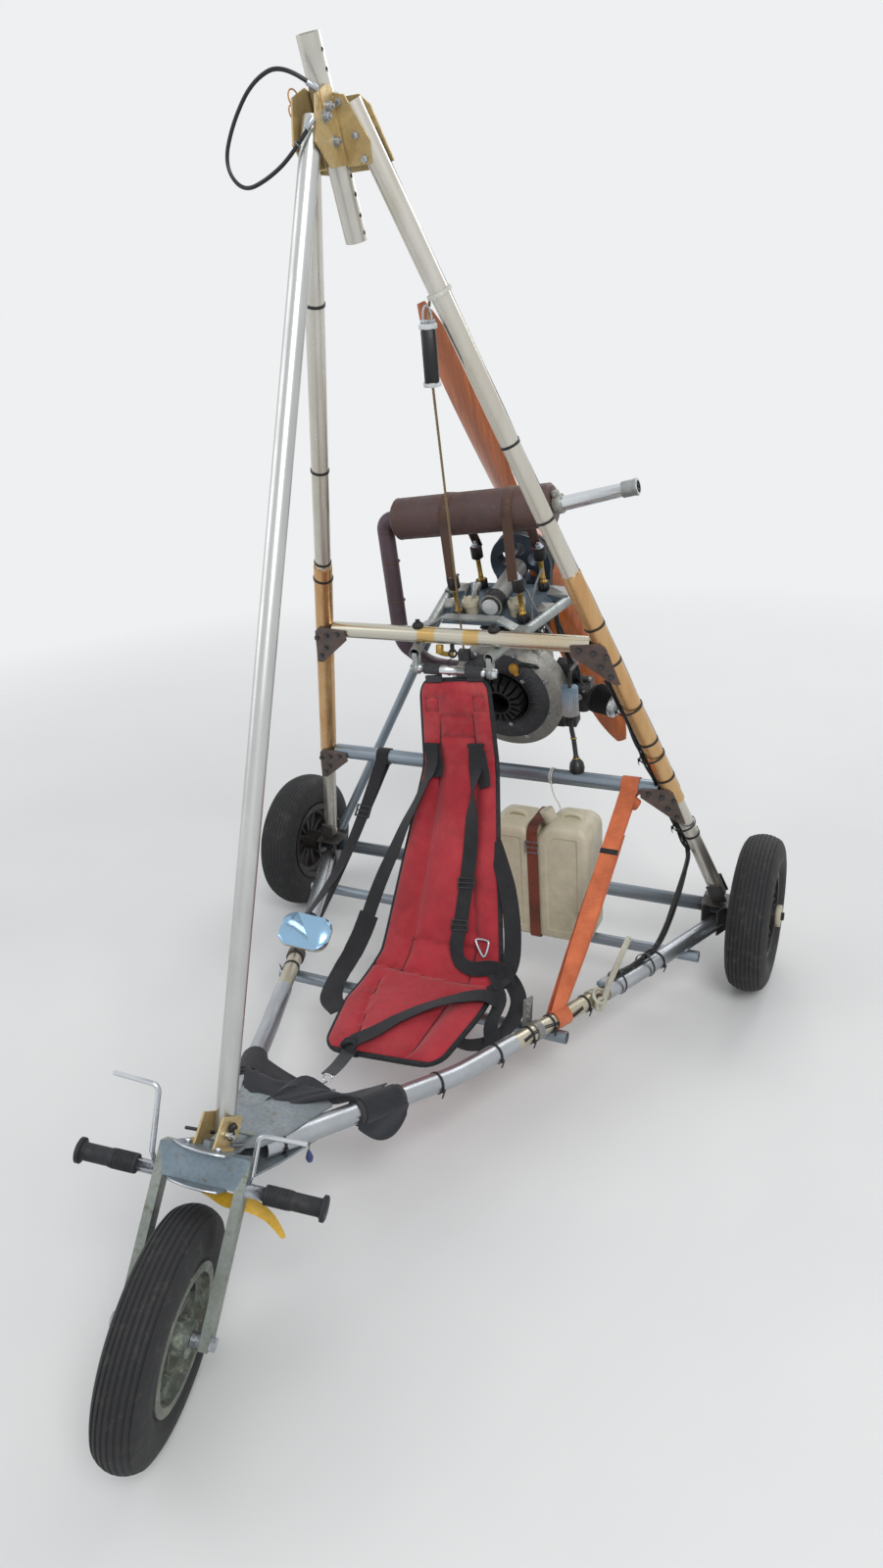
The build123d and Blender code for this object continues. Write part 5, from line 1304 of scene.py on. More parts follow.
class TRIKE_OT_seat(Piece, bpy.types.Operator):
    """Quilted hammock seat with its piping and stitching"""

    bl_idname = "trike.seat"
    bl_label = "Seat"

    rows, columns, thick = 150, 44, 17.0
    # How far a seam is sunk, how far the cloth rises between seams, and over what distance
    seam_depth, quilt_rise, quilt_reach = 0.0042, 0.0085, 0.013

    def tab_seams(self, first, last):
        """The four sides of a sewn tab at the seat's top."""
        low, high = 38, 70
        return [[(low, first), (low, last)], [(high, first), (high, last)],
                [(low, first), (high, first)], [(low, last), (high, last)]]

    def swell(self, pad):
        """Blows the sewn cloth up a little, and caps how far it may move."""
        before = [v.co.copy() for v in pad.data.vertices]
        choose(pad)
        bpy.ops.object.modifier_add(type="CLOTH")
        cloth = pad.modifiers[-1]
        cloth.settings.effector_weights.gravity = 0
        for key, value in dict(
            vertex_group_mass="Sewn", use_pressure=True, uniform_pressure_force=12, quality=6,
            tension_stiffness=12, compression_stiffness=12, bending_stiffness=0.3,
        ).items():
            setattr(cloth.settings, key, value)
        scene = bpy.context.scene
        for step in range(1, 21):
            scene.frame_set(step)
        choose(pad)
        bpy.ops.object.modifier_apply(modifier=cloth.name)
        scene.frame_set(1)
        most = sizes().seat_puff
        for vertex, start in zip(pad.data.vertices, before):
            move = vertex.co - start
            if move.length > most:
                vertex.co = start + move.normalized() * most

    def seam_lines(self):
        """Sewn lines as (s, t) runs."""
        return [
            [(82, -0.47), (244, -0.5), (434, -0.48), (607, -0.5), (690, -0.5)],
            [(78, 0.5), (232, 0.52), (434, 0.5), (589, 0.62), (700, 0.6)],
            [(82, -0.47), (82, 0.5)], [(130, -0.5), (132, 0.5)], [(607, -0.5), (617, 0.62)],
            [(676, -1), (690, -0.3), (700, 0.3), (706, 1)],
            [(719, -0.75), (917, -0.52)], [(745, 0.5), (947, 0.5)],
            *self.tab_seams(-0.86, -0.5), *self.tab_seams(0.55, 0.88),
        ]

    def execute(self, context):
        rows, columns = self.rows, self.columns
        last = SEAT_TABLE[-1][0]
        verts, faces = [], []

        def corner(s, t):
            """The seat's outline has rounded corners at its four ends."""
            share = max(1 - min(s, last - s) / 28, 0.0)
            return t * (1 - 0.14 * share ** 2)

        for depth in (-2.0, -self.thick):
            for i in range(rows + 1):
                for j in range(columns + 1):
                    s, t = last * i / rows, 2 * j / columns - 1
                    # The pan sags between its sides
                    sag = 5 * math.sin((s - 700) / 250 * math.pi) * (1 - t * t) if s > 700 else 0
                    verts.append(seat_place(s, corner(s, t), depth - sag))
        size = (rows + 1) * (columns + 1)
        for quad in grid_faces(rows, columns):
            faces += [quad, tuple(size + k for k in reversed(quad))]
        rim = [j for j in range(columns + 1)]
        rim += [(i + 1) * (columns + 1) - 1 for i in range(1, rows + 1)]
        rim += [rows * (columns + 1) + j for j in range(columns - 1, -1, -1)]
        rim += [i * (columns + 1) for i in range(rows - 1, 0, -1)]
        for a, b in zip(rim, rim[1:] + rim[:1]):
            faces.append((a, size + a, size + b, b))
        pad = shell("seat_quilt", verts, faces)
        in_edit(pad, (bpy.ops.mesh.normals_make_consistent, dict(inside=False)))
        # Sewn lines hold the two layers together
        sewn = set(rim) | {size + k for k in rim}
        groove = {}
        for line in self.seam_lines():
            for (s0, t0), (s1, t1) in zip(line, line[1:]):
                count = max(int(abs(s1 - s0) / 3), int(abs(t1 - t0) * 40), 1)
                for k in range(count + 1):
                    s = s0 + (s1 - s0) * k / count
                    t = t0 + (t1 - t0) * k / count
                    i = round(s / last * rows)
                    j = round((t + 1) / 2 * columns)
                    index = min(i, rows) * (columns + 1) + min(j, columns)
                    sewn |= {index, size + index}
                    groove[index] = (s, t)
        for index, place in groove.items():
            sunk = seat_normal(*place) * self.seam_depth
            pad.data.vertices[index].co -= sunk
            pad.data.vertices[size + index].co += sunk
        held = KDTree(len(sewn))
        for index in sorted(sewn):
            held.insert(pad.data.vertices[index].co.copy(), index)
        held.balance()
        rise = []
        for index in range(size):
            i, j = divmod(index, columns + 1)
            gap = held.find(pad.data.vertices[index].co)[2]
            rise.append(seat_normal(last * i / rows, 2 * j / columns - 1) * self.quilt_rise
                        * (1 - math.exp(-gap / self.quilt_reach)))
        for vertex, lift in zip(pad.data.vertices, rise):
            vertex.co += lift
        pad.vertex_groups.new(name="Sewn").add(sorted(sewn), 1.0, "REPLACE")
        self.swell(pad)
        modified(pad, "SUBSURF", levels=1, render_levels=1)
        smooth(pad, 70)
        dress(pad, "seat_quilt", "seat_cloth")
        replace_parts(pad, "seat_pad")
        # Piping round the outline
        down = [k * last / 40 for k in range(41)]
        ends = (0.7, 0.35, 0, -0.35, -0.7)
        outline = [seat_place(s, corner(s, 1.005), -9) for s in down]
        outline += [seat_place(last + 2, corner(last, t), -9) for t in ends]
        outline += [seat_place(last - s, corner(last - s, -1.005), -9) for s in down]
        outline += [seat_place(-2, corner(0, t), -9) for t in reversed(ends)]
        piping = cable(outline, sizes().piping * 1.6, True, 3)
        dress(piping, "seat_piping", "black_webbing_plain")
        # Stitches along the sewn lines
        stitches = []
        for line in self.seam_lines():
            path = [seat_place(s, t, -4.2) for s, t in line]
            fine = smooth_path(path, 6) if len(path) > 2 else [
                path[0].lerp(path[-1], k / 8) for k in range(9)]
            stitches.append(cable(fine, 0.0016, False, 2))
        fit("seat_stitching", stitches, "black_webbing_plain")
        return {"FINISHED"}


class TRIKE_OT_harness(Piece, bpy.types.Operator):
    """Shoulder straps, lap strap and their buckles"""

    bl_idname = "trike.harness"
    bl_label = "Harness"

    # name, width, route of (s, t, lift, roll)
    straps = (
        ("shoulder_left", 0.034, (
            (150, 0.56, 0, 0), (200, 0.54, 4, 0), (262, 0.5, 6, 60), (320, 0.5, 6, 20), (383, 0.5, 3, 0),
            (457, 0.46, 3, 0), (505, 0.42, 3, 0), (560, 0.38, 4, 0), (610, 0.34, 6, 0),
            (650, 0.42, 6, 20), (668, 0.66, 8, 40), (660, 0.95, 10, 40), (668, 1.16, 4, 30),
            (700, 1.22, -14, 20),
        )),
        ("shoulder_left_tail", 0.03, (
            (160, 0.64, -1, 0), (215, 0.74, 2, 10), (250, 0.8, 2, 20),
        )),
        ("shoulder_right", 0.036, (
            (146, -0.72, 0, 0), (190, -0.7, 4, 20), (234, -0.76, 5, 40), (292, -0.92, 4, 40),
            (345, -1.1, -2, 30), (400, -1.24, -12, 16), (460, -1.36, -16, 6), (520, -1.42, -16, 0),
            (590, -1.46, -16, 0), (650, -1.5, -20, 0), (700, -1.56, -34, 0), (745, -1.5, -52, 0),
        )),
        ("shoulder_right_tail", 0.03, (
            (150, -0.64, -1, 0), (195, -0.56, 2, 0), (228, -0.52, 2, 0),
        )),
        ("hip_strap_right", 0.052, (
            (560, -1.42, -13, 0), (610, -1.46, -13, 0), (660, -1.48, -16, 0), (708, -1.47, -22, 0),
            (756, -1.42, -27, 0), (800, -1.27, -28, -10), (830, -1.05, -26, -10),
        )),
        ("hip_strap_left", 0.04, (
            (372, 0.98, -10, 30), (420, 1.1, -6, 10), (480, 1.22, -5, 0), (560, 1.26, -6, 0),
            (630, 1.22, -4, 0), (680, 1.12, 2, 0), (705, 1.0, 5, 0),
        )),
        ("corner_loop", 0.036, (
            (664, 1.08, 7, 0), (690, 1.26, -6, 0), (728, 1.4, -26, 0), (772, 1.36, -50, 0),
            (812, 1.2, -66, 0), (838, 1.0, -62, 0), (850, 0.86, -44, 0),
        )),
        ("corner_tail", 0.032, (
            (706, 1.02, 4, 0), (742, 1.18, -14, 10), (790, 1.16, -38, 10), (828, 1.26, -60, 0),
            (866, 1.22, -70, 0),
        )),
        ("lap_strap", 0.036, (
            (742, 1.16, -20, 0), (748, 0.98, 2, 0), (775, 0.66, 6, 8), (812, 0.34, 6, 14),
            (858, 0.04, 5, 10), (905, -0.2, 4, 0), (938, -0.42, 6, 0), (956, -0.5, 0, 0),
            (962, -0.52, -16, 0), (950, -0.5, -27, 0),
        )),
    )

    def execute(self, context):
        for name, width, route in self.straps:
            strap = seat_strap(name, route, width)
            dress(strap, name, "black_webbing")
        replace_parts(bpy.data.objects["lap_strap"], "harness")
        # Slot tabs where the shoulder straps come through the back
        tabs = []
        for s, t in ((147, 0.56), (147, -0.72)):
            tabs.append(block(seat_place(s, t, 8), (0.04, 0.007, 0.009), seat_turn(s, t), 0.001))
        fit("strap_slots", tabs, "black_webbing_plain")
        # Slide buckles and the triangular ring
        buckles = []
        for s, t in ((470, 0.46), (565, 0.37)):
            buckles += buckle(seat_place(s, t, 17), seat_turn(s, t), (-0.011, 0, 0.011), 0.0195,
                              (0.042, 0.0034, 0.0034), (0.0034, 0.025, 0.0034), 0.0008)
        fit("slide_buckles", buckles, "black_plastic")
        corners = [seat_place(590, 0.62, 14), seat_place(592, 0.9, 15), seat_place(640, 0.8, 14)]
        path = []
        for a, b in zip(corners, corners[1:] + corners[:1]):
            path += [a.lerp(b, 0.15), a.lerp(b, 0.85)]
        dress(cable(path, 0.005, True, 4), "harness_ring", "bright_steel")
        # Knot at the front of the lap strap
        turns = []
        for k in range(3):
            mid = seat_place(945 + k * 3, -0.46 - 0.03 * k, 11 + 2 * k)
            way = Vector((0.5 - 0.5 * k, 0.6, 0.4 * (k - 1))).normalized()
            turns.append(ring(mid, way, 0.011, 0.011, 20, 8))
        fit("strap_knot", turns, "black_webbing_plain")
        return {"FINISHED"}


class TRIKE_OT_straps(Piece, bpy.types.Operator):
    """Orange and black straps between the lower cross tube and the rails"""

    bl_idname = "trike.straps"
    bl_label = "Tie straps"

    def execute(self, context):
        cross_y = upright_at(CROSS_LEVEL, 1).y
        for name, side, width, top_x, low_y, finish, slot, node in (
            ("orange_tie_strap", 1, 0.042, 0.372, DATUM + 0.16, "orange_webbing", "orange_webbing",
             "orange_strap"),
            ("black_tie_strap", -1, 0.034, 0.292, DATUM + 0.34, "black_webbing", "black_webbing",
             "black_strap"),
        ):
            high = Vector((top_x * side, cross_y, CROSS_LEVEL))
            rail, run = rail_point(low_y, side)
            run = run * (1 if run.x > 0 else -1)
            rail_r = 0.018 if low_y < DATUM + 0.3 else 0.02
            pieces = [wrap(high, ACROSS, 0.0205, width, "top_wrap"),
                      wrap(rail, run, rail_r + 0.0022, width, "low_wrap")]
            front_a = high + Vector((0, -0.0212, -0.002))
            front_b = rail + Vector((0, 0, rail_r + 0.003)) - run * 0.004
            back_a = high + Vector((0, 0.0205, -0.002))
            back_b = rail + Vector((-side * (rail_r + 0.002), 0.012, -rail_r * 0.2))

            def front(t):
                # The black strap hangs down before it runs to the rail, the orange one is taut
                place = front_a.lerp(front_b, t)
                if side < 0:
                    place += Vector((0.012, -0.012, -0.034)) * math.sin(math.pi * t) ** 1.2
                return place

            def across(t):
                return ACROSS.lerp(run, t ** 2 * 0.9)

            shares = [i / 20 for i in range(21)]
            pieces.append(ribbon("run", [front(t) for t in shares], [across(t) for t in shares],
                                 width * 0.94, 0.0024, rows=4, ripple=0.0003, seed=3))
            if side > 0:
                # Folded side of the doubled strap
                edges = [front(t) + across(t).normalized() * width * 0.47 for t in shares[5:]]
                depth = Vector((0.15, 1, 0.35)).normalized()
                pieces.append(ribbon("side", [p + depth * 0.012 for p in edges], depth, 0.024, 0.0024,
                                     rows=3, ripple=0.0003, seed=4))
            pieces.append(ribbon(
                "back", [back_a.lerp(back_b, t) for t in shares], [across(t) for t in shares],
                width * 0.94, 0.0024, rows=4, ripple=0.0003, seed=5))
            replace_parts(fit(name, pieces, finish), node)
            # An adjuster on the black strap, a band and a knot on the orange one
            share = 0.3 if side > 0 else 0.27
            mid, along = front(share), (front(share + 0.02) - front(share - 0.02)).normalized()
            way = across(share).normalized()
            turn = Matrix((way, along, way.cross(along))).transposed()
            out = 1 if (turn @ Vector((0, 0, 1))).y < 0 else -1
            if side < 0:
                bars = buckle(mid + turn @ Vector((0, 0, 0.004 * out)), turn, (-0.014, 0, 0.014), 0.0205,
                              (0.044, 0.004, 0.0045), (0.004, 0.032, 0.0045), 0.001)
                fit("strap_adjuster", bars, "black_plastic")
            else:
                band = block(mid + turn @ Vector((0, 0, 0.0004 * out)), (width * 0.99, 0.013, 0.0052),
                             turn, 0.001)
                loop = block(high + Vector((0.012, -0.03, -0.03)), (0.034, 0.02, 0.03),
                             Matrix.Rotation(0.5, 3, "Y"), 0.008, 3)
                dress(band, "strap_band", "black_webbing_plain")
                dress(loop, "strap_knot_orange", "orange_knot")
        return {"FINISHED"}


class TRIKE_OT_sling(Piece, bpy.types.Operator):
    """Black foot sling between the front rails"""

    bl_idname = "trike.sling"
    bl_label = "Foot sling"

    def drape(self, name, place, rows, columns):
        """A sheet from place(t, u), both 0 to 1, with its cut size in its UV map."""
        points = [[place(i / rows, j / columns) for j in range(columns + 1)] for i in range(rows + 1)]
        length = sum((points[i + 1][columns // 2] - points[i][columns // 2]).length for i in range(rows))
        width = sum((points[rows // 2][j + 1] - points[rows // 2][j]).length for j in range(columns))
        sheet = shell(name, [p for line in points for p in line], grid_faces(rows, columns))
        weave(sheet, columns, lambda row, column: (column / columns * width, row / rows * length))
        area = sum(face.area for face in sheet.data.polygons)
        modified(sheet, "SOLIDIFY", thickness=0.003, offset=0)
        modified(sheet, "SUBSURF", levels=1, render_levels=1)
        smooth(sheet, 60)
        return sheet, width, length, area

    def execute(self, context):
        step = 0.01
        stations = [DATUM - 0.46 + step * k for k in range(25)]
        line = [(y, rail_point(y, 1)[0]) for y in stations]

        def rail(y, side):
            k = min(max(int((y - stations[0]) / step), 0), len(line) - 2)
            share = (y - line[k][0]) / step
            point = line[k][1].lerp(line[k + 1][1], share)
            return Vector((point.x * side, point.y, point.z))

        plates = [v.co for v in NODES["nose_plates"].data.vertices]
        plate_end = max(p.y for p in plates)
        plate_top = max(p.z for p in plates if p.y > plate_end - 0.02)
        chance = random.Random(7)
        folds = [(chance.uniform(0.4, 1), chance.uniform(0, 6.28)) for _ in range(4)]

        def place(t, u):
            # t runs from the right rail to the left one, u from the rear edge to the front edge
            reach = 0.085 + 0.115 * math.sin(math.pi * min(t, 1) ** 0.62) ** 1.3
            y = DATUM - 0.25 - u * reach
            a, b = rail(y, -1), rail(y, 1)
            point = a.lerp(b, 0.02 + 0.96 * t)
            hang = math.sin(math.pi * t)
            drop = (0.062 - 0.036 * u) * hang ** 0.8
            wave = sum(w * math.sin(2 * math.pi * (k + 1) * u * 1.2 + phase + t * (4 - k))
                       for k, (w, phase) in enumerate(folds))
            z = point.z + 0.027 - drop + 0.0042 * wave * hang
            if y < plate_end + 0.012:
                z = max(z, plate_top + 0.005 + 0.002 * abs(wave))
            return Vector((point.x, y, z))

        sling, width, length, area = self.drape("foot_sling_cloth", place, 44, 20)
        dress(sling, "foot_sling_cloth", "sling_cloth")
        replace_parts(sling, "foot_sling")

        def flap_place(t, u):
            # A corner of the cloth that hangs outside the left rail's sleeve
            y = DATUM - 0.352 + 0.1 * t
            point = rail(y, 1)
            drop = u * 0.078 * math.sin(math.pi * (0.1 + 0.8 * t)) ** 0.8
            return point + Vector((0.026 - 0.004 * u, 0.004 * math.sin(7 * u + 5 * t),
                                   0.004 - drop - 0.002 * math.sin(9 * t)))

        flap, width, length, area = self.drape("foot_sling_corner", flap_place, 14, 10)
        dress(flap, "foot_sling_corner", "sling_cloth")
        # Loops of the sling round both rail sleeves
        loops = []
        for side in (1, -1):
            middle, run = rail_point(DATUM - 0.29, side)
            loops.append(wrap(middle, run, 0.0256, 0.084, "loop"))
        fit("sling_loops", loops, "sling_cloth")
        # Grey belt over the cloth with its buckle
        path = smooth_path([place(t, u) + Vector((0, 0, 0.006)) for t, u in (
            (0.3, 0.95), (0.42, 0.7), (0.55, 0.5), (0.68, 0.32), (0.82, 0.2), (0.95, 0.12))], 5)
        belt = ribbon("sling_belt", path, Vector((0.3, 1, 0.1)).normalized(), 0.032, 0.0026, rows=3)
        dress(belt, "sling_belt", "grey_webbing")
        mid = place(0.62, 0.42) + Vector((0, 0, 0.012))
        turn = Matrix.Rotation(math.radians(24), 3, "Z") @ Matrix.Rotation(math.radians(-6), 3, "Y")
        parts = [block(mid + turn @ Vector((x, 0, 0.003)), size, turn, bevel) for x, size, bevel in (
            (0, (0.034, 0.038, 0.007), 0.0014), (0.024, (0.018, 0.024, 0.005), 0.001),
            (-0.023, (0.01, 0.034, 0.006), 0.001))]
        fit("sling_buckle", parts, "cable_grey")
        # Short strap with a hook from the seat's front edge down to the sling
        knot = seat_place(952, -0.5, 0)
        hook_at = knot.lerp(place(0.45, 0.2), 0.55)
        middle = knot.lerp(hook_at, 0.5) + Vector((0, -0.006, -0.004))
        strap = ribbon("seat_tail", smooth_path([knot, middle, hook_at], 4),
                       Vector((1, 0.2, 0)).normalized(), 0.03, 0.0024, rows=3)
        dress(strap, "seat_front_strap", "grey_webbing")
        low = place(0.45, 0.2) + Vector((0, 0, 0.006))
        hook = [cable([hook_at + mm(*p) for p in ((-11, 0, 0), (11, 0, 0), (9, -8, -14), (-9, -8, -14))],
                      0.004, True, 4),
                cable([hook_at + mm(0, -8, -13), hook_at.lerp(low, 0.6), low], 0.0044)]
        fit("sling_hook", hook, "chrome")
        return {"FINISHED"}


class TRIKE_OT_cables(Piece, bpy.types.Operator):
    """Cable ties, the cables that they hold and the free loop at the head"""

    bl_idname = "trike.cables"
    bl_label = "Cables and ties"

    # Stations along each tube: uprights by height, rails by place along the vehicle
    left_upright_ties = (1.375, 1.225, 0.992, 0.905, 0.70, 0.60, 0.43)
    right_upright_ties = (1.64, 1.33, 1.12, 1.08)
    left_rail_ties = (-0.475, -0.275, -0.165, -0.02, 0.07, 0.13, 0.235, 0.36, 0.48)
    right_rail_ties = (-0.34, 0.12, 0.3)

    def tie(self, centre, axis, radius, head_way):
        width, thick = sizes().tie_width, sizes().tie_thick
        corners = ((0, -1), (thick, -1), (thick, 1), (0, 1), (0, -1))
        band = lathe("tie", [(radius + out, end * width / 2) for out, end in corners], centre, axis, 24)
        way = (head_way - axis * head_way.dot(axis)).normalized()
        side = axis.cross(way)
        turn = Matrix((side, axis, way)).transposed()
        head = block(centre + way * (radius + thick + 0.0016), (0.0068, width + 0.002, 0.005), turn,
                     0.0006)
        tail = block(centre + way * (radius + thick + 0.004) + side * 0.009,
                     (0.016, width * 0.9, thick), turn, 0.0003, 1)
        return [band, head, tail]

    def cad_cord(self):
        """The free loop at the head, which is left a curve."""
        points = [mm(x, DATUM_MM + behind, z) for x, behind, z in (
            (20.8, 87, 1929.9), (-16, 62, 1966), (-76, 60, 1952), (-124, 60, 1900), (-148, 58, 1846),
            (-118, 56, 1806), (-66, 54, 1818), (-14, 54, 1846), (20.8, 68.1, 1890),
        )]
        loop = curve_line("head_cable_loop", points, 0.0065, resolution=12)
        dress(loop, "head_cable_loop", "cable_black")
        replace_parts(loop, "head_cable")

    def execute(self, context):
        self.cad_cord()
        ties = []
        for side, stations in ((1, self.left_upright_ties), (-1, self.right_upright_ties)):
            run = upright_run(side)
            for z in stations:
                diameter = SLEEVE_D if SLEEVE_SPAN[0] < z < SLEEVE_SPAN[1] else UPRIGHT_D
                ties += self.tie(upright_at(z, side), run, diameter / 2 + 0.0004,
                                 Vector((side * 0.4, 0.9, 0.1)))
        for side, stations in ((1, self.left_rail_ties), (-1, self.right_rail_ties)):
            for y in stations:
                centre, run = rail_point(DATUM + y, side)
                radius = 0.0204 if not 0.03 < y < 0.3 else 0.0182
                ties += self.tie(centre, run, radius, Vector((side, 0.1, -0.3)))
        fit("cable_ties", ties, "tie_black")
        # Thin dark cable down the left upright from the head to the lower gusset
        lines = []
        for offset, start, stop, thick in (
            (Vector((0.012, 0.0145, 0.004)), 1.88, 0.56, 0.0036),
            (Vector((0.004, 0.0185, 0)), 1.36, 0.5, 0.0036),
        ):
            points, steps = [], 26
            for i in range(steps + 1):
                z = start + (stop - start) * i / steps
                swell = 0.0036 if 0.53 < z < 1.115 else 0
                points.append(upright_at(z, 1) + offset * (1 + swell / 0.018) + Vector(
                    (0.0006 * math.sin(i * 1.7), 0.0008 * math.sin(i * 2.3), 0)))
            lines.append(cable(points, thick, False, 3))
        fit("upright_cables", lines, "cable_black")
        # Bundle that follows the upright down to its foot and then the rail to the hand levers
        bundle = []
        middle = [upright_at(0.86 - 0.075 * i, 1) + Vector((-0.027, -0.004, 0)) for i in range(7)]
        middle.append(upright_at(0.35, 1) + Vector((-0.034, -0.03, 0)))
        for y, up in ((0.5, 0.052), (0.45, 0.031), (0.4, 0.027), (0.35, 0.027), (0.315, 0.027)):
            middle.append(rail_point(DATUM + y, 1)[0] + Vector((-0.004, 0, up)))
        middle = smooth_path(middle, 5)
        for k in range(5):
            points = []
            for i, centre in enumerate(middle):
                side = turn_to(run_at(middle, i))
                angle = 2 * math.pi * k / 5 + 0.16 * i
                reach = 0.0044 + 0.0022 * math.sin(0.7 * i + 2 * k)
                points.append(centre + side @ spoke(angle) * reach)
            bundle.append(cable(points, 0.0042 if k % 2 else 0.005, False, 2))
        for y in (0.44, 0.345):
            centre, run = rail_point(DATUM + y, 1)
            bundle += self.tie(centre + Vector((-0.002, 0, 0.0065)), run, 0.0268, Vector((0, 0, 1)))
        for z in (0.79, 0.66, 0.46):
            reach = 0.0285 if z > 0.53 else 0.0265
            bundle += self.tie(upright_at(z, 1) + Vector((-0.0066, -0.001, 0)), upright_run(1), reach,
                               Vector((-1, -0.4, 0)))
        fit("cable_bundle", bundle, "cable_black")
        centre, run = rail_point(DATUM + 0.31, 1)
        turn = turn_to(run)
        plug = block(centre + Vector((-0.004, 0, 0.026)), (0.016, 0.012, 0.026), turn, 0.0015)
        dress(plug, "cable_connector", "cap_white")
        key = block(centre - run * 0.018 + Vector((-0.004, 0, 0.0262)), (0.013, 0.01, 0.012), turn,
                    0.0012)
        dress(key, "connector_key", "light_blue")
        # Black strands hugging the rail before the perforated lever
        strands = []
        for k in range(2):
            points = []
            for i in range(14):
                centre, run = rail_point(DATUM + 0.045 + 0.013 * i, 1)
                out = Vector((0.5, -0.7, 0)).normalized()
                out = (out - run * out.dot(run)).normalized()
                up = run.cross(out)
                up = up if up.z > 0 else -up
                angle = 0.35 + 0.22 * k + 0.3 * math.sin(0.5 * i)
                points.append(centre + (out * math.cos(angle) + up * math.sin(angle)) * 0.0195)
            strands.append(cable(points, 0.003, False, 3))
        fit("rail_strands", strands, "cable_black")
        # Ring-shaped foot of the pale hand lever, held by a brown bolt
        centre, run = rail_point(DATUM + 0.262, 1)
        way = Vector((0.45, -0.62, 0.64)).normalized()
        way = (way - run * way.dot(run)).normalized()
        face = centre + way * 0.0215
        dress(ring(face + way * 0.003, way, 0.0162, 0.0075, 40, 10), "lever_ring",
              "pale_lever")
        bolt = [rod(face - way * 0.003, face + way * 0.006, 0.012, bevel=0.0008),
                rod(face + way * 0.005, face + way * 0.0105, 0.01, sides=6, bevel=0.0008)]
        fit("lever_bolt", bolt, "strap_rust")
        return {"FINISHED"}


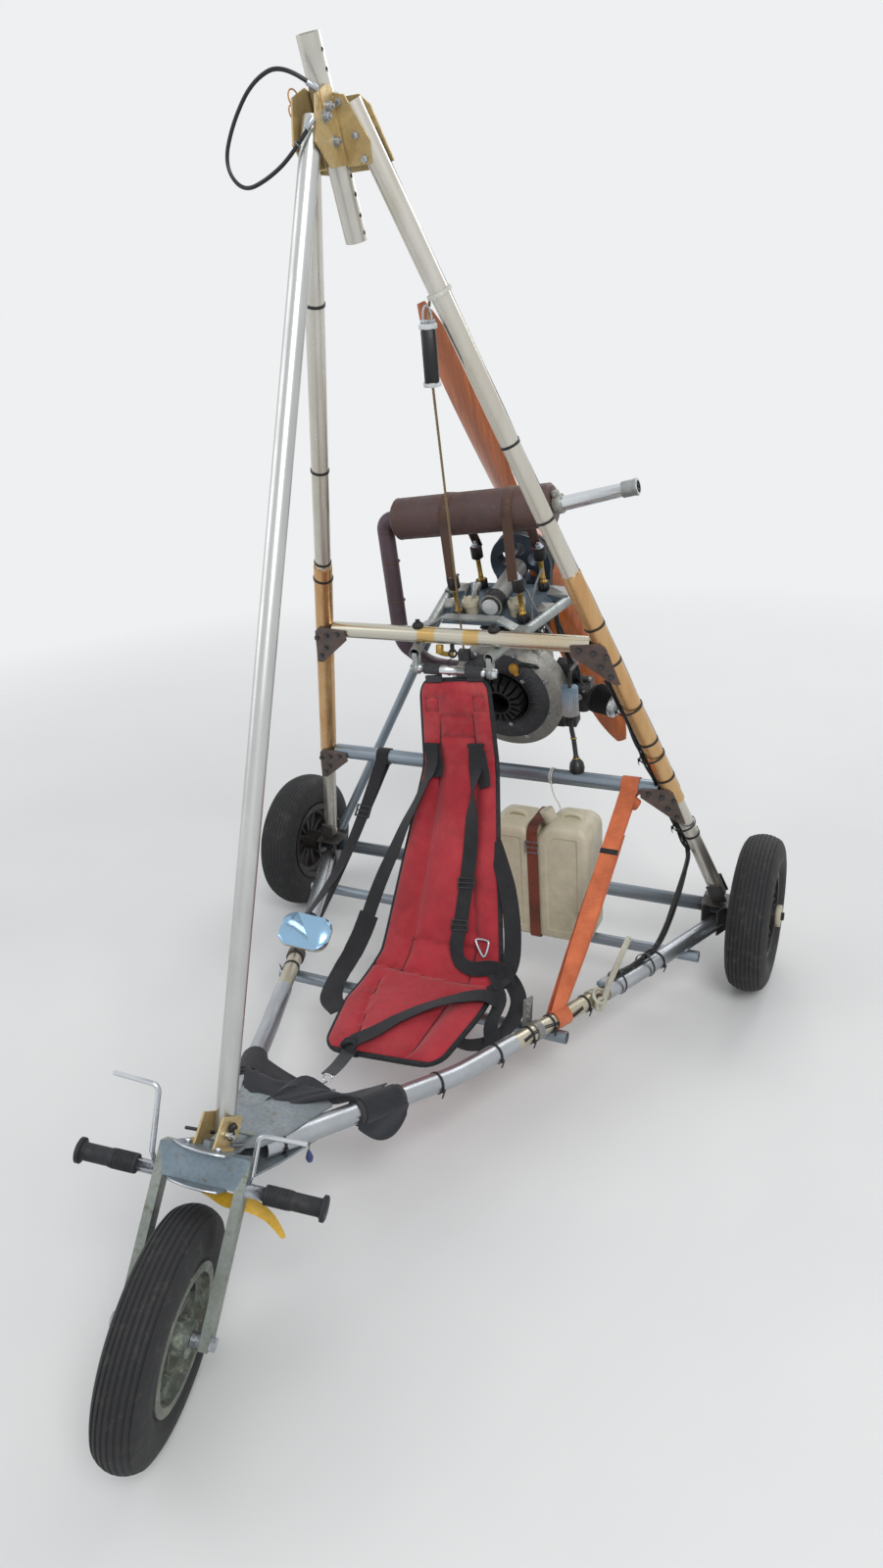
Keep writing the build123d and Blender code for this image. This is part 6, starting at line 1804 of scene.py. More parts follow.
class TRIKE_OT_engine(Piece, bpy.types.Operator):
    """Air filter, bolts, cups, wires and other fittings of the engine"""

    bl_idname = "trike.engine"
    bl_label = "Engine fittings"

    def pleated_filter(self):
        start, end = in_engine(226, 38, -273), in_engine(290, 12, -277)
        run = (end - start).normalized()
        start = start + run * 0.0003
        length = (end - start).length
        pleats, verts = 40, []
        rings = ((0.0, 0.036, 0.036), (0.006, 0.0375, 0.0375), (0.008, 0.0375, 0.032),
                 (length - 0.012, 0.0305, 0.026), (length - 0.010, 0.03, 0.03))
        turn = turn_to(run)
        for height, outer, inner in rings:
            for k in range(pleats * 2):
                angle = math.pi * k / pleats
                r = outer if k % 2 else inner
                verts.append(start + turn @ Vector((r * math.cos(angle), r * math.sin(angle), height)))
        count = pleats * 2
        faces = tube_faces(len(rings), count)
        faces.append(tuple(reversed(range(count))))
        faces.append(tuple((len(rings) - 1) * count + k for k in range(count)))
        cone = shell("pleats", verts, faces)
        smooth(cone, 25)
        paint(cone, "mount_rubber")
        cap = lathe("cap", [(0, 0), (0.0305, 0), (0.0315, 0.002), (0.0315, 0.008), (0.028, 0.0105),
                            (0.014, 0.0112), (0, 0.0112)], end - run * 0.0105, run, 32)
        paint(cap, "polished_alloy")
        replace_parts(fit("air_filter_cone", (cone, cap), None), "air_filter")

    def execute(self, context):
        self.pleated_filter()
        # Washers, nuts and threaded ends above the four mounts, and brass collars round them
        mounts = [(side * 84, y) for side in (1, -1) for y in (-10, 145)]
        mount_top = 80
        hardware = [
            engine_rod((x, y, mount_top + low), (x, y, mount_top + high), width, **shape)
            for x, y in mounts for low, high, width, shape in (
                (3.5, 5.2, 0.024, {}), (5, 12, 0.015, dict(sides=6, bevel=0.0008)),
                (12, 18, 0.008, dict(sides=12, bevel=0.0006)),
            )
        ]
        fit("mount_bolts", hardware, "bright_steel")
        collars = [
            engine_rod((x, y, z - 1.5), (x, y, z + 1.5), width, bevel=0.0005)
            for x, y in mounts for z, width in ((-11, 0.019), (0, 0.0135), (44, 0.0135), (51, 0.019))
        ]
        fit("mount_collars", collars, "brass")
        # White centre cap of the shaft's front bearing
        face = lathe("face", [(0, 0), (0.0205, 0), (0.0205, 0.0028), (0.018, 0.004), (0.006, 0.0046),
                              (0.005, 0.0068), (0, 0.0072)], in_engine(0, -5.9, 0), -THRUST, 36)
        dress(face, "shaft_cap", "cap_white", "propeller")
        # Cups beside the front mounts, one with a rounded lever behind it
        cups = []
        for x, y in ((-62, 18), (58, 22)):
            base = in_engine(x, y, -31.7)
            cups.append(lathe("cup", [
                (0, 0), (0.019, 0), (0.019, 0.022), (0.0215, 0.024), (0.0215, 0.034), (0.0205, 0.036),
                (0.017, 0.036), (0.015, 0.032), (0, 0.031)], base, ENGINE_UP, 32))
            for angle in (0.6, 2.7, 4.8):
                way = ACROSS * math.cos(angle) + THRUST * math.sin(angle)
                spot = base + way * 0.0195
                cups.append(rod(spot + ENGINE_UP * 0.022, spot + ENGINE_UP * 0.039, 0.0065, sides=6))
        fit("reservoir_cups", cups, "cream_plastic")
        lever = engine_rod((-60, 34, -10), (-50, 52, 34), 0.016, 0.022, bevel=0.004)
        dress(lever, "bright_lever", "polished_alloy")
        # Bolts of the fan cowl's rim and its cover
        bolts = []

        def on_fan(radius, degrees, depth):
            angle = math.radians(degrees)
            return radius * math.sin(angle), depth, FAN_Z + radius * math.cos(angle)

        for k in range(8):
            turn = 22 + 45 * k
            bolts.append(engine_rod(on_fan(133, turn, -21.5), on_fan(133, turn, -26), 0.012, sides=6,
                                    bevel=0.0007))
            bolts.append(engine_rod(on_fan(133, turn, -19.8), on_fan(133, turn, -21.6), 0.016))
        for k in range(3):
            turn = 50 + 120 * k
            bolts.append(engine_rod(on_fan(84, turn, -27.8), on_fan(84, turn, -31), 0.013, sides=6,
                                    bevel=0.0008))
        fit("cowl_bolts", bolts, "bright_steel")
        # Raised ring and ribs of the intake's inner wall
        ribs = []
        for k in range(28):
            angle = 2 * math.pi * k / 28
            way = ACROSS * math.sin(angle) + ENGINE_UP * math.cos(angle)
            base = in_engine(0, -25, FAN_Z) + way * 0.0735
            ribs.append(rod(base, base + THRUST * 0.036, 0.0034, sides=6))
        ribs.append(ring(in_engine(0, -28, FAN_Z), THRUST, 0.0755, 0.005, 64, 8))
        fit("intake_ring", ribs, "grille_black")
        # Fins of the head between the larger ones, spark plug with its cap and lead
        block_y = 106.3
        fins = [engine_block((0, block_y, -166.5 + 11 * k), (0.118, 0.108, 0.0022), 0.0004, 1)
                for k in range(8)]
        fins += [engine_block((-46 + 8.4 * k, block_y, -56), (0.0034, 0.092, 0.014), 0.0006, 1)
                 for k in range(12)]
        fit("head_fins", fins, "engine_black")
        plug = [engine_rod((34, 60, -56), (38, 40, -40), 0.02, 0.016, bevel=0.002),
                engine_rod((38, 41, -41), (46, 18, -36), 0.016, bevel=0.003),
                engine_cable(((45, 20, -36), (60, -6, -40), (108, 2, -60), (120, 40, -110),
                              (96, 60, -150)), 0.007)]
        fit("spark_plug_lead", plug, "cable_black")
        # Wires in curves beside the engine, from the bearer down to the carburettor
        wires = []
        chance = random.Random(11)
        for k in range(6):
            sway = [chance.uniform(-9, 9) for _ in range(6)]
            wires.append(engine_cable((
                (116 + k * 3, 96, -26), (134 + sway[0], 80 + sway[1], -70),
                (150 + sway[2], 66 + sway[3], -130), (160 + sway[4], 60, -190),
                (178 + k * 2, 58 + sway[5], -236),
            ), 0.0045 if k % 2 else 0.006))
        fit("engine_wires", wires, "cable_black")
        grey = [engine_cable(((64, 40, 30), (92, 10, 52), (116, -10, 10), (132, 0, -40),
                              (150, 30, -120)), 0.006),
                engine_cable(((112, 80, 60), (104, 40, 40), (98, 10, -10), (112, -20, -34)), 0.0055)]
        fit("throttle_cables", grey, "cable_grey")
        # Black hose from the fuel filter down to its hand pump, which hangs from it
        run_down = ((214, 554, 701), (214, 554, 680), (222, 548, 655), (228, 540, 628), (232, 534, 612))
        hose = cable([mm(*p) for p in run_down], 0.012)
        bulb_foot, bulb_top = mm(240, 522, 562), mm(*run_down[-1])
        bulb = lathe("bulb", [(0, 0), (0.008, 0), (0.0085, 0.006), (0.016, 0.014), (0.019, 0.026),
                              (0.0165, 0.04), (0.008, 0.05), (0.0065, 0.056), (0, 0.056)],
                     bulb_foot, bulb_top - bulb_foot, 28)
        fit("priming_bulb", (hose, bulb), "cable_black")
        clips = [ring(mm(232.5, 533, 609), mm(-8, 12, 50), 0.0075, 0.004),
                 ring(mm(222, 548, 655), mm(-4, 8, 26), 0.0072, 0.003)]
        fit("hose_clips", clips, "brass")
        # Starter coil box, ignition box and brackets on the carburettor side
        boxes = [engine_block((118, 30, -330), (0.06, 0.05, 0.05), 0.004),
                 engine_block((150, 44, -352), (0.044, 0.04, 0.03), 0.003),
                 engine_block((148, 70, -214), (0.05, 0.034, 0.044), 0.003),
                 engine_rod((150, 62, -232), (206, 60, -236), 0.016, bevel=0.002),
                 engine_rod((100, 22, -300), (120, 24, -330), 0.012)]
        fit("engine_boxes", boxes, "engine_black")
        bright = [engine_rod((136, 40, -228), (136, 22, -232), 0.01, bevel=0.001),
                  engine_rod((206, 60, -236), (212, 60, -237), 0.012, sides=6),
                  engine_block((96, 34, -140), (0.012, 0.05, 0.09), 0.001),
                  engine_rod((188, 28, -268), (188, 22, -268), 0.018, bevel=0.002),
                  engine_rod((202, 28.8, -250), (202, 24, -250), 0.007, sides=6),
                  engine_rod((174, 28.8, -288), (174, 24, -288), 0.007, sides=6)]
        fit("carburettor_screws", bright, "polished_alloy")
        # White ends and the shackle of the starter handle
        handle_top, handle_low = mm(99, 158, 1588), mm(95, 168, 1492)
        way = (handle_top - handle_low).normalized()
        ends = [rod(end - way * 0.004, end + way * 0.004, 0.0335, bevel=0.001)
                for end in (handle_top, handle_low)]
        fit("handle_ends", ends, "cap_white")
        # Each point's place across the handle and its height over the top
        bow = ((-0.009, 0.003), (-0.009, 0.026), (0, 0.036), (0.009, 0.026), (0.009, 0.003))
        pin = handle_top + way * 0.008
        shackle = [cable([handle_top + way * up + ACROSS * x for x, up in bow], 0.004),
                   rod(pin - ACROSS * 0.014, pin + ACROSS * 0.014, 0.006, bevel=0.0006)]
        fit("handle_shackle", shackle, "bright_steel")
        # Yellow bulb in front of the block, and ribs of the ducting beside it
        bulb = lathe("bulb", [(0, 0), (0.006, 0), (0.0065, 0.006), (0.011, 0.012), (0.0125, 0.02),
                              (0.01, 0.028), (0.004, 0.0325), (0, 0.033)], in_engine(54, -34, -174),
                     ENGINE_UP + Vector((-0.3, 0, 0)), 24)
        dress(bulb, "yellow_bulb", "yellow_bulb")
        corrugated = [engine_cable(((62, -24, -150), (76, -27, -147), (94, -26, -149),
                                    (110, -16, -158)), 0.009)]
        for k in range(10):
            t = k / 9
            corrugated.append(ring(in_engine(64 + 42 * t, -25.5 + 3 * t, -148 - 6 * t * t),
                                   (1, 0, -0.1), 0.0048, 0.0024, 20, 6))
        fit("corrugated_hose", corrugated, "cable_black")
        # Rubber bush and brass elbow below the upper cross tube
        bush = ring(mm(-8, 386, 905), (0.2, -1, 0.3), 0.0085, 0.005, 28, 8)
        stay = block(mm(-8, 386, 917), (0.01, 0.004, 0.018), None, 0.0008)
        fit("hanging_bush", (bush, stay), "mount_rubber")
        brass = [rod(mm(-42, 388, 902), mm(-42, 392, 922), 0.018, bevel=0.002),
                 cable([mm(-42, 390, 905), mm(-38, 400, 896), mm(-24, 420, 892)], 0.012)]
        fit("brass_elbow", brass, "brass")
        return {"FINISHED"}


class TRIKE_OT_exhaust(Piece, bpy.types.Operator):
    """Weld rings, the silencer's seam and the clamp and collar of the tail pipe"""

    bl_idname = "trike.exhaust"
    bl_label = "Exhaust details"

    def execute(self, context):
        low, high = SILENCER_ENDS
        run = (high - low).normalized()
        way = turn_to(run) @ spoke(1.2)
        way = -way if way.z < 0 else way
        points = [low.lerp(high, 0.02 + 0.96 * k / 10) + way * 0.0487 for k in range(11)]
        seam = [cable(points, 0.0036, False, 2)]
        for share in (0.018, 0.982):
            seam.append(ring(low.lerp(high, share), run, 0.0478, 0.0036, 48, 8))
        fit("silencer_welds", seam, "strap_rust")
        span = (high - low).length
        skin = lathe("skin", [(0.0, 0.0004), (0.043, 0.0004), (0.0488, 0.006), (0.0488, span - 0.006),
                              (0.043, span - 0.0004), (0.0, span - 0.0004)], low, run, 72)
        dress(skin, "silencer_wall", "silencer_rust")
        rings = [ring(mm(*place), axis, 0.0212, 0.0042, 40, 8) for place, axis in (
            ((-262, 592, 1135), (0, 0.05, -1)), ((-260.6, 597, 1060), (0.02, 0.06, -1)),
            ((-259, 603, 960), (0.02, 0.06, -1)), ((-257, 607, 880), (0.02, 0.06, -1)),
            ((-190, 742, 742), (1, 0, 0)), ((-90, 742, 742), (1, 0, 0)),
        )]
        fit("pipe_welds", rings, "strap_rust")
        # Clamp with its screw and the dull collar at the outer end of the tail pipe
        start, end = high, mm(362, DATUM_MM + 685, 1240)
        way = (end - start).normalized()
        clamp = [lathe("clamp", [
            (0.0156, 0), (0.0215, 0), (0.0225, 0.002), (0.0225, 0.017), (0.0215, 0.019),
            (0.0156, 0.019), (0.0156, 0)], start + way * 0.004, way, 36)]
        up = Vector((0, -0.35, 1))
        up = (up - way * up.dot(way)).normalized()
        side = way.cross(up)
        clamp.append(block(start + way * 0.013 + up * 0.026, (0.016, 0.012, 0.012),
                           Matrix((way, -side, up)).transposed(), 0.001))
        screw = start + way * 0.013 + up * 0.027
        clamp.append(rod(screw - side * 0.012, screw + side * 0.012, 0.007, sides=12))
        fit("tail_clamp", clamp, "cast_alloy")
        reach = (end - start).length
        skin = lathe("skin", [(0.0140, reach - 0.03), (0.0140, reach + 0.0004), (0.0152, reach + 0.0004),
                              (0.0152, 0.0)], start, way, 56)
        dress(skin, "tail_wall", "chrome")
        collar = lathe("collar", [(0.0155, 0), (0.0178, 0.0008), (0.0178, 0.028), (0.0188, 0.029),
                                  (0.0188, 0.034), (0.0155, 0.0345), (0.0142, 0.034), (0.0142, 0.02)],
                       end - way * 0.032, way, 36)
        dress(collar, "tail_collar", "galvanised")
        return {"FINISHED"}


class TRIKE_OT_nose(Piece, bpy.types.Operator):
    """Rods, cables, bolts, rubber grips and the yellow strip at the nose"""

    bl_idname = "trike.nose"
    bl_label = "Nose details"

    def nose_spot(self, x, behind, up):
        """A place in the axes of the steering head, in millimetres; the fork's turn isn't in them."""
        rake = math.radians(38.3)
        back = Vector((0, math.cos(rake), -math.sin(rake)))
        axis = Vector((0, math.sin(rake), math.cos(rake)))
        return PIVOT + ACROSS * x / 1000 + back * behind / 1000 + axis * up / 1000

    def execute(self, context):
        spot = self.nose_spot
        # Ribbed rubber of the foot pegs
        grips = []
        for side in (1, -1):
            profile = [(0.0112, 0), (0.0155, 0.0006)]
            for k in range(9):
                h = 0.004 + k * 0.0044
                profile += [(0.0162, h), (0.0162, h + 0.0024), (0.0152, h + 0.003), (0.0152, h + 0.0038)]
            # Smooth end with its flange
            profile += [(0.0158, 0.0455), (0.0146, 0.047), (0.0146, 0.092), (0.0162, 0.094),
                        (0.021, 0.096), (0.021, 0.102), (0.018, 0.1035), (0, 0.1035)]
            grips.append(lathe("grip", profile, in_fork(side * 108, 5, -22), FORK_SIDE * side, 32))
        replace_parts(fit("peg_rubbers", grips, "grip_rubber", "fork"), "peg_grips")
        # Polished front edges of both plates
        for name, level in (("top", 27.8), ("low", -27.8)):
            points = []
            for k in range(13):
                angle = math.radians(-60 + 10 * k)
                points.append(spot(50 * math.sin(angle) / math.sin(math.radians(60)),
                                   -28 - 18 * (math.cos(angle) - 0.5) / 0.5, level))
            edge = cable(points, 0.0046, False, 3)
            dress(edge, f"plate_edge_{name}", "bright_steel")
        # Bright skins of both hooks and of the pegs' shanks
        for name, side, rise in (("left", 1, 74), ("right", -1, 114)):
            corner = in_fork(side * 89, 57, rise)
            foot, tip = in_fork(side * 85, 23, 6), in_fork(side * 166.4, 57, rise + 3)
            run_a, run_b = (corner - foot).normalized(), (tip - corner).normalized()
            bend = [corner - run_a * a + run_b * b for a, b in (
                (0.014, 0), (0.006, 0.0012), (0.0012, 0.006), (0, 0.014))]
            hook = cable([foot, foot.lerp(corner, 0.5), *bend, tip], 0.0086, False, 8)
            dress(hook, f"hook_{name}_skin", "chrome", "fork")

        # Rods and cables over the plate
        def line(diameter, *points):
            return cable([spot(*p) for p in points], diameter)

        pale = line(0.008, (-6, 20, 58), (18, 60, 52), (52, 120, 44), (66, 150, 38))
        dress(pale, "pale_rod", "blade_grey")
        dark = line(0.006, (-70, 24, 40), (-36, 22, 44), (-10, 20, 47))
        dress(dark, "dark_rod", "cable_black")
        grey = [line(0.0055, (20, 30, 37), (34, 80, 42), (58, 150, 46), (84, 230, 62)),
                line(0.0045, (26, 24, 35), (44, 80, 37), (70, 160, 42), (90, 236, 58))]
        fit("brake_cables", grey, "cable_grey")
        red = rod(spot(34, 66, 36), spot(46, 92, 38), 0.007, bevel=0.001)
        dress(red, "red_sleeve", "red_plastic")
        # Knob and small bolts beside the strut's foot
        small = [*(rod(spot(side * 21.5, 8, 52), spot(side * 31, 8, 52), 0.013, sides=6, bevel=0.0008)
                   for side in (1, -1)),
                 rod(spot(31, 8, 52), spot(37, 8, 52), 0.007, sides=12)]
        for x, y in ((-30, -20), (30, -20), (-62, 120), (62, 120), (-74, 200), (74, 200)):
            base = 29.8 if y < 60 else 29.8 + (y - 60) * 0.16
            small.append(rod(spot(x, y, base), spot(x, y, base + 6), 0.012, sides=6, bevel=0.0008))
        fit("nose_bolts", small, "bright_steel")
        knob = [rod(spot(22, 12, 60), spot(30, 16, 70), 0.012, bevel=0.002),
                ring(spot(26, 14, 52), (1, 0, 0.2), 0.008, 0.003)]
        fit("black_knob", knob, "cable_black")
        # Yellow strip under the crown, curved and pointed at both ends, behind the left blade
        path = smooth_path([in_fork(4, 16, -33.5), in_fork(24, 8, -37), in_fork(46, -16, -49),
                            in_fork(80, -44, -56), in_fork(114, -47, -68), in_fork(146, -43, -92)], 6)
        count = len(path)
        widths = [0.003 + 0.02 * math.sin(math.pi * (k + 0.5) / count) ** 0.7 for k in range(count)]
        ways = []
        for k in range(len(path)):
            ways.append(run_at(path, k).cross(Vector((0.3, -0.62, 0.72)).normalized()))
        strip = ribbon("yellow_strip", path, ways, widths, 0.0022, rows=2)
        dress(strip, "yellow_strip", "yellow_strip", "fork")
        hold = rod(in_fork(14, 12, -27), in_fork(14, 12, -37), 0.01, bevel=0.001)
        dress(hold, "strip_bolt", "bright_steel", "fork")
        # Blue drop on a thin cord from the left rail
        rail = rail_point(DATUM - 0.44, 1)[0]
        drop = lathe("drop", [(0, 0), (0.005, 0.004), (0.007, 0.012), (0.0045, 0.022), (0.0015, 0.03),
                              (0, 0.031)], rail + Vector((0.012, 0, -0.062)), (0.05, 0, 1), 20)
        paint(drop, "blue_plastic")
        cord = cable([rail + Vector((0.014, 0, 0.014)), rail + Vector((0.021, 0, -0.002)),
                      rail + Vector((0.017, 0, -0.022)), rail + Vector((0.0135, 0, -0.034))], 0.002)
        paint(cord, "cable_grey")
        fit("blue_drop", (drop, cord), None)
        return {"FINISHED"}


class TRIKE_OT_head(Piece, bpy.types.Operator):
    """Bolts, wire loops and ferrules at the top of the pyramid"""

    bl_idname = "trike.head"
    bl_label = "Head details"

    def execute(self, context):
        bolts = []
        for side in (1, -1):
            way = ACROSS * side
            for y, z in ((0.1, 1.895), (0.112, 1.91), (0.125, 1.865), (0.14, 1.925)):
                spot = Vector((0.0223 * side, DATUM + y, z))
                bolts.append(rod(spot, spot + way * 0.0016, 0.018))
                bolts.append(rod(spot + way * 0.0014, spot + way * 0.008, 0.013, sides=6, bevel=0.0008))
                bolts.append(rod(spot + way * 0.008, spot + way * 0.0115, 0.007, sides=12))
            # Bolts through the folded flanges
            for z, out in ((1.925, 0.030), (1.88, 0.047), (1.848, 0.054)):
                spot = Vector((out * side, upright_at(z, side).y, z)) + LEAN_FRONT * 0.0215
                bolts.append(rod(spot, spot + LEAN_FRONT * 0.006, 0.012, sides=6, bevel=0.0008))
        fit("head_bolts", bolts, "bright_steel")
        wires = []
        for x, y, z, radius, way in (
            (-0.0245, 0.09, 1.925, 0.012, (0.98, -0.15, 0.1)),
            (-0.0245, 0.085, 1.905, 0.0105, (0.98, -0.1, 0.2)),
            (0.03, 0.08, 1.915, 0.012, (0.9, 0.5, 0.1)),
        ):
            wires.append(ring(Vector((x, DATUM + y, z)), way, radius, 0.0024, 28, 6))
        fit("orange_wire_loops", wires, "orange_wire")
        # Bright ferrules of the cable, and a grey band round it
        ferrules = [rod(mm(20.8, -9, 1929.9), mm(10, -19, 1940), 0.0095, bevel=0.001),
                    rod(mm(20.8, -28.5, 1891), mm(9, -36, 1877), 0.0095, bevel=0.001)]
        fit("cable_ferrules", ferrules, "bright_steel")
        tie = ring(mm(-6, -40, 1859), (0.6, 0.1, 0.5), 0.0052, 0.0026)
        dress(tie, "cable_band", "cable_grey")
        return {"FINISHED"}


class TRIKE_OT_fittings(Piece, bpy.types.Operator):
    """Bolts of the gussets and over the bearers' ends, and the white string to a can"""

    bl_idname = "trike.fittings"
    bl_label = "Fittings"

    def execute(self, context):
        bolts = []
        places = ((0.2, 0.86), (0.5, 0.8), (0.62, 0.42), (0.82, 0.16), (0.78, 0.72))
        # Upper and lower gussets lie over the uprights' front
        for node in ("upper_gussets", "lower_gussets"):
            for side in (1, -1):
                spread = [v.co for v in NODES[node].data.vertices if v.co.x * side > 0]
                level = max(p.dot(LEAN_FRONT) for p in spread)
                middle = sum(p.y for p in spread) / len(spread)
                inner, outer = min(abs(p.x) for p in spread), max(abs(p.x) for p in spread)
                bottom, top = min(p.z for p in spread), max(p.z for p in spread)
                for share_x, share_z in places:
                    x = (inner + (outer - inner) * share_x) * side
                    point = Vector((x, middle, bottom + (top - bottom) * share_z))
                    point += LEAN_FRONT * (level - point.dot(LEAN_FRONT))
                    for low, high, width, shape in (
                        (-0.0004, 0.0014, 0.0135, dict(sides=16)),
                        (0.001, 0.0062, 0.0105, dict(sides=6, bevel=0.0008)),
                    ):
                        bolts.append(rod(point + LEAN_FRONT * low, point + LEAN_FRONT * high, width,
                                         **shape))
        fit("gusset_bolts", bolts, "dark_steel")
        # Black bolt heads on the upper cross tube over the bearers' ends
        heads = []
        for x in (-0.094, 0.094):
            centre = Vector((x, upright_at(0.944, 1).y, 0.944 + 0.0185))
            heads.append(lathe("head", [
                (0, 0), (0.013, 0), (0.0135, 0.003), (0.011, 0.008), (0.006, 0.011), (0, 0.0115)],
                centre, (0, 0, 1), 24))
            heads.append(rod(centre + mm(0, 0, 8), centre + mm(0, 0, 16), 0.011, sides=6))
        fit("cross_tube_bolts", heads, "mount_rubber")
        # White string from the lower cross tube down to the can's handle
        cross_y = upright_at(CROSS_LEVEL, 1).y
        turns = [ring(Vector((x, cross_y, CROSS_LEVEL)), ACROSS, 0.0198, 0.0028, 32, 6)
                 for x in (0.172, 0.177)]
        cord = cable([Vector((0.176, cross_y - 0.0198, 0.556)), Vector((0.182, cross_y - 0.022, 0.52)),
                      Vector((0.2, cross_y - 0.016, 0.488)), Vector((0.205, 0.486, 0.462)),
                      Vector((0.196, 0.481, 0.43))], 0.003)
        fit("white_string", (cord, *turns), "white_string")
        return {"FINISHED"}


class TRIKE_OT_cans(Piece, bpy.types.Operator):
    """Fuel cans with rounded walls, sunk panels, a cap and their leather belt"""

    bl_idname = "trike.cans"
    bl_label = "Fuel cans"

    def execute(self, context):
        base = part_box("fuel_cans")[0].z
        floor_y = DATUM + 0.577
        half_depth, tall = 0.064, 0.322
        pieces = []
        for x, height in ((0.228, tall), (0.084, 0.31)):
            outline = [(-0.069, 0), (0.069, 0), (0.069, height - 0.02), (0.049, height),
                       (-0.029, height), (-0.069, height - 0.04)]
            verts = [Vector((x + a, floor_y + depth, base + b)) for depth in (-half_depth, half_depth)
                     for a, b in outline]
            count = len(outline)
            faces = [tuple(range(count)), tuple(reversed(range(count, 2 * count)))]
            faces += [(i, i + count, (i + 1) % count + count, (i + 1) % count) for i in range(count)]
            can = shell("can", verts, faces)
            in_edit(can, (bpy.ops.mesh.normals_make_consistent, dict(inside=False)),
                    (bpy.ops.mesh.bevel, dict(offset=0.016, segments=4, affect="EDGES")))
            # Sunk panels on the front and back walls
            choose(can)
            bpy.ops.object.mode_set(mode="EDIT")
            mesh = bmesh.from_edit_mesh(can.data)
            for face in mesh.faces:
                face.select = abs(face.normal.y) > 0.99 and face.calc_area() > 0.01
            bmesh.update_edit_mesh(can.data)
            bpy.ops.mesh.inset(thickness=0.012, depth=0)
            bpy.ops.mesh.inset(thickness=0.004, depth=-0.003)
            bpy.ops.object.mode_set(mode="OBJECT")
            smooth(can, 35)
            pieces.append(paint(can, "can_plastic"))
            # Handle bar over the can's top
            top = base + height
            handle = cable([Vector((x + a, floor_y, top + b)) for a, b in (
                (-0.016, -0.006), (-0.016, 0.011), (0.036, 0.011), (0.036, -0.006))], 0.014, False, 8)
            pieces.append(paint(handle, "can_plastic"))
            # Screw cap on the outer can's cut corner
            if height == tall:
                start = Vector((x - 0.04, floor_y, base + height - 0.03))
                end = Vector((x - 0.058, floor_y, base + height + 0.0135))
                cap = lathe("cap", [(0.013, 0), (0.0175, 0.012), (0.018, 0.02), (0.018, 0.022),
                                    (0.018, 0.045), (0.0165, 0.047), (0, 0.047)],
                            start, (end - start).normalized(), 32)
                pieces.append(paint(cap, "cream_plastic"))
        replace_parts(fit("fuel_cans_moulded", pieces, None), "fuel_cans")
        # Leather belt that runs up between the cans, over their tops and down behind them
        x, half_y, crown = 0.155, half_depth + 0.0014, 0.3145
        # How far behind the cans' middle, and how high over their foot
        loop = [(-half_y, z) for z in (0.02, 0.1, 0.18, 0.25, 0.288)]
        loop += [(-half_y + 0.006, 0.307), (-half_y + 0.022, crown), (0, crown),
                 (half_y - 0.022, crown), (half_y - 0.006, 0.307)]
        loop += [(half_y, z) for z in (0.288, 0.2, 0.1, 0.02)]
        loop += [(half_y - 0.012, -0.0016), (-half_y + 0.012, -0.0016), loop[0]]
        points = [Vector((x, floor_y + behind, base + z)) for behind, z in loop]
        belt = ribbon("can_belt", smooth_path(points, 4), ACROSS, 0.026, 0.003, rows=2)
        dress(belt, "can_belt", "belt_leather")
        spot = Vector((x, floor_y - half_y - 0.003, base + 0.262))
        bars = [block(spot + ACROSS * k, (0.0028, 0.0034, 0.03), None, 0.0006) for k in (-0.016, 0.016)]
        bars += [block(spot + Vector((0, 0, k)), (0.034, 0.0034, 0.0028), None, 0.0006)
                 for k in (-0.0146, 0, 0.0146)]
        fit("belt_buckle", bars, "bright_steel")
        return {"FINISHED"}


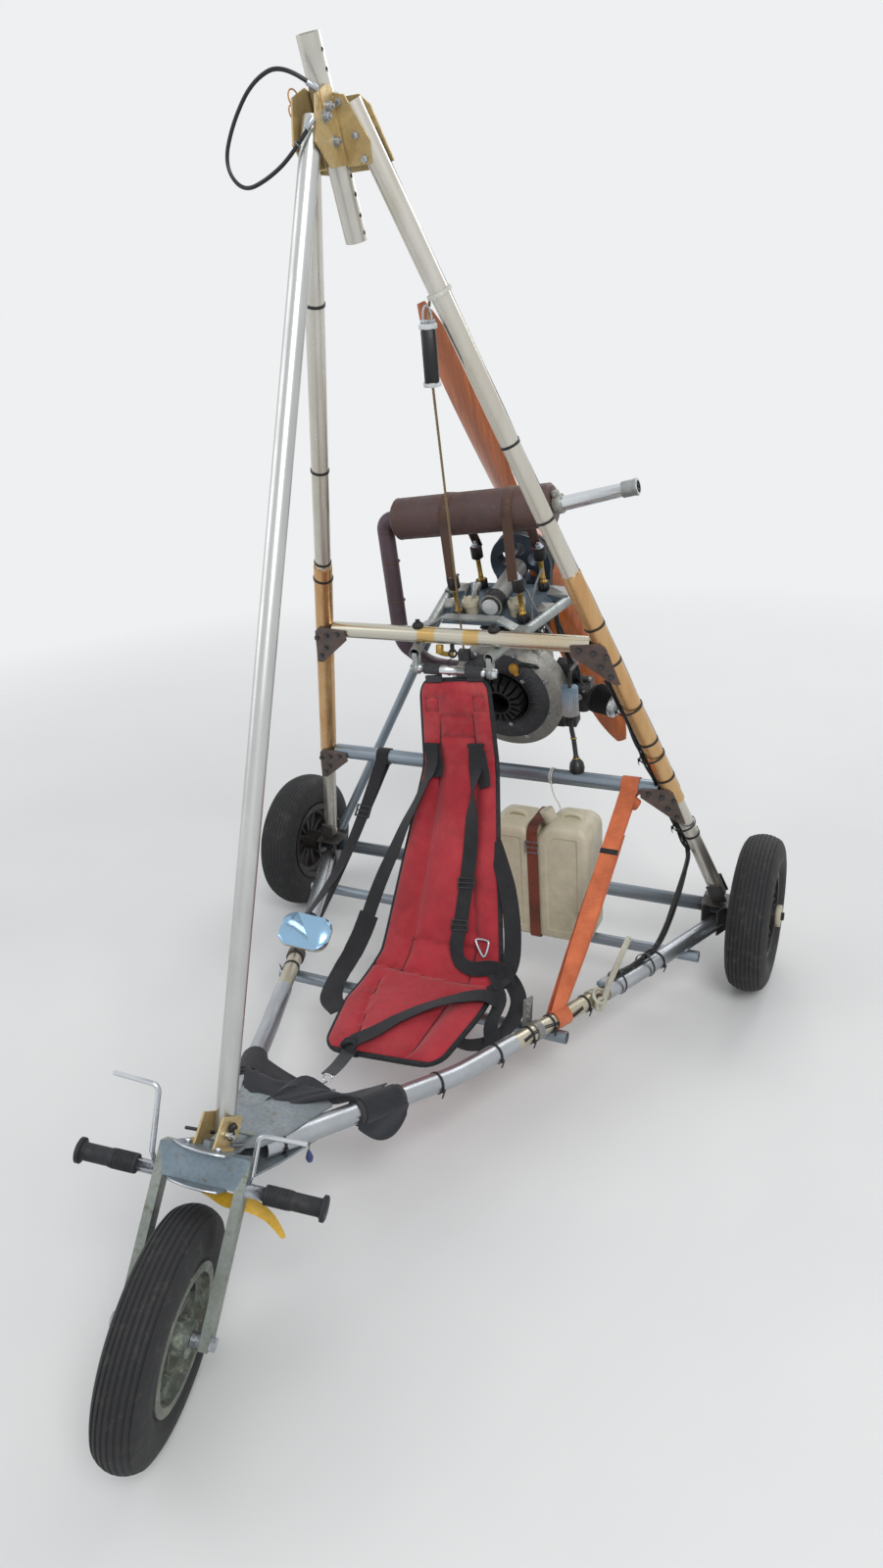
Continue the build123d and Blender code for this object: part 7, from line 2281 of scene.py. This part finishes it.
class TRIKE_OT_stage(Piece, bpy.types.Operator):
    """Pale floor, soft studio light and the camera"""

    bl_idname = "trike.stage"
    bl_label = "Stage"

    def execute(self, context):
        scene = context.scene
        scene.view_settings.view_transform = "Standard"
        deselect()
        bpy.ops.mesh.primitive_circle_add(
            vertices=64, radius=14, fill_type="NGON", location=(0, 0, -0.0004)
        )
        floor = bpy.context.object
        floor.name = floor.data.name = "studio_floor"
        s = Surface("studio_floor", 0.0, 0.85)
        tone = s.remap(s.noise(1.6, 3, 0.5), 0.3, 0.7)
        s.colour(s.mixed(tone, (0.78, 0.78, 0.77), (0.74, 0.74, 0.735)))
        # The floor fades out towards its edge, so that it meets the background with no line
        span = s.node("ShaderNodeVectorMath", operation="LENGTH")
        s.link(s.space, span, 0)
        fade = s.remap(span.outputs["Value"], 1.7, 4.6)
        clear = s.node("ShaderNodeBsdfTransparent")
        both = s.node("ShaderNodeMixShader")
        s.link(fade, both, 0)
        s.link(s.shader.outputs[0], both, 1)
        s.link(clear.outputs[0], both, 2)
        s.link(both.outputs[0], s.tree.nodes["Material Output"], "Surface")
        floor.data.materials.append(s.material)
        settle(floor)
        world = bpy.data.worlds.new("studio")
        scene.world = world
        world.use_nodes = True
        nodes, links = world.node_tree.nodes, world.node_tree.links
        light = nodes["Background"]
        light.inputs["Color"].default_value = (0.93, 0.96, 1.0, 1)
        light.inputs["Strength"].default_value = 0.5
        shown = nodes.new("ShaderNodeBackground")
        shown.inputs["Color"].default_value = (0.86, 0.87, 0.88, 1)
        shown.inputs["Strength"].default_value = 1.0
        rays = nodes.new("ShaderNodeLightPath")

        def either(first, second):
            node = nodes.new("ShaderNodeMath")
            node.operation = "MAXIMUM"
            links.new(first, node.inputs[0])
            links.new(second, node.inputs[1])
            return node.outputs[0]

        # The camera, mirrors and glass see a plain pale backdrop, everything else the light
        seen = either(rays.outputs["Is Camera Ray"], rays.outputs["Is Glossy Ray"])
        seen = either(seen, rays.outputs["Is Transmission Ray"])
        mix = nodes.new("ShaderNodeMixShader")
        links.new(seen, mix.inputs[0])
        links.new(light.outputs[0], mix.inputs[1])
        links.new(shown.outputs[0], mix.inputs[2])
        links.new(mix.outputs[0], nodes["World Output"].inputs["Surface"])
        for name, place, size, power in (
            ("key", (2.6, -2.6, 4.2), 2.0, 125), ("fill", (-3.4, -1.6, 3.0), 3.0, 34),
            ("back", (0.5, 3.6, 3.4), 2.6, 60),
        ):
            deselect()
            bpy.ops.object.light_add(type="AREA", location=place)
            lamp = bpy.context.object
            lamp.name = "lamp_" + name
            lamp.data.size = size
            lamp.data.energy = power
            way = Vector((0, 0, 0.8)) - Vector(place)
            lamp.rotation_euler = way.to_track_quat("-Z", "Y").to_euler()
        bpy.ops.object.camera_add()
        camera = bpy.context.object
        camera.name = "photo_camera"
        # To its right, up and back, as solved from the photograph
        turn = Matrix((
            (0.9040, 0.4212, -0.0733), (-0.1167, 0.4080, 0.9055), (0.4114, -0.8100, 0.4180),
        )).transposed().to_4x4()
        camera.matrix_world = Matrix.Translation((0.9494, -1.6083, 1.5984)) @ turn
        camera.data.sensor_fit = "VERTICAL"
        camera.data.sensor_height = 36
        camera.data.lens = 23.139
        camera.data.clip_start = 0.02
        scene.camera = camera
        return {"FINISHED"}


class TRIKE_PT_panel(bpy.types.Panel):
    """Lists the operators that dress the trike, and its sizes and colours"""

    bl_idname = "TRIKE_PT_panel"
    bl_label = "Powered Trike"
    bl_space_type = "VIEW_3D"
    bl_region_type = "UI"
    bl_category = "Powered Trike"

    def draw(self, context):
        for operator in OPERATORS:
            self.layout.operator(operator.bl_idname)
        for group in (context.scene.trike_sizes, context.scene.trike_colours):
            for key in group.bl_rna.properties.keys():
                if key not in ("rna_type", "name"):
                    self.layout.prop(group, key)


OPERATORS = (
    TRIKE_OT_stage, TRIKE_OT_frame, TRIKE_OT_rails, TRIKE_OT_mixed, TRIKE_OT_wheels, TRIKE_OT_seat,
    TRIKE_OT_harness, TRIKE_OT_straps, TRIKE_OT_sling, TRIKE_OT_cables, TRIKE_OT_engine,
    TRIKE_OT_exhaust, TRIKE_OT_nose, TRIKE_OT_head, TRIKE_OT_fittings, TRIKE_OT_cans,
)
CLASSES = (TrikeColours, TrikeSizes, *OPERATORS, TRIKE_PT_panel)


def register():
    for item in CLASSES:
        bpy.utils.register_class(item)
    bpy.types.Scene.trike_colours = PointerProperty(type=TrikeColours)
    bpy.types.Scene.trike_sizes = PointerProperty(type=TrikeSizes)


def unregister():
    del bpy.types.Scene.trike_sizes
    del bpy.types.Scene.trike_colours
    for item in reversed(CLASSES):
        bpy.utils.unregister_class(item)


def main():
    register()
    for operator in OPERATORS:
        group, name = operator.bl_idname.split(".")
        getattr(getattr(bpy.ops, group), name)()


if __name__ == "__main__":
    main()
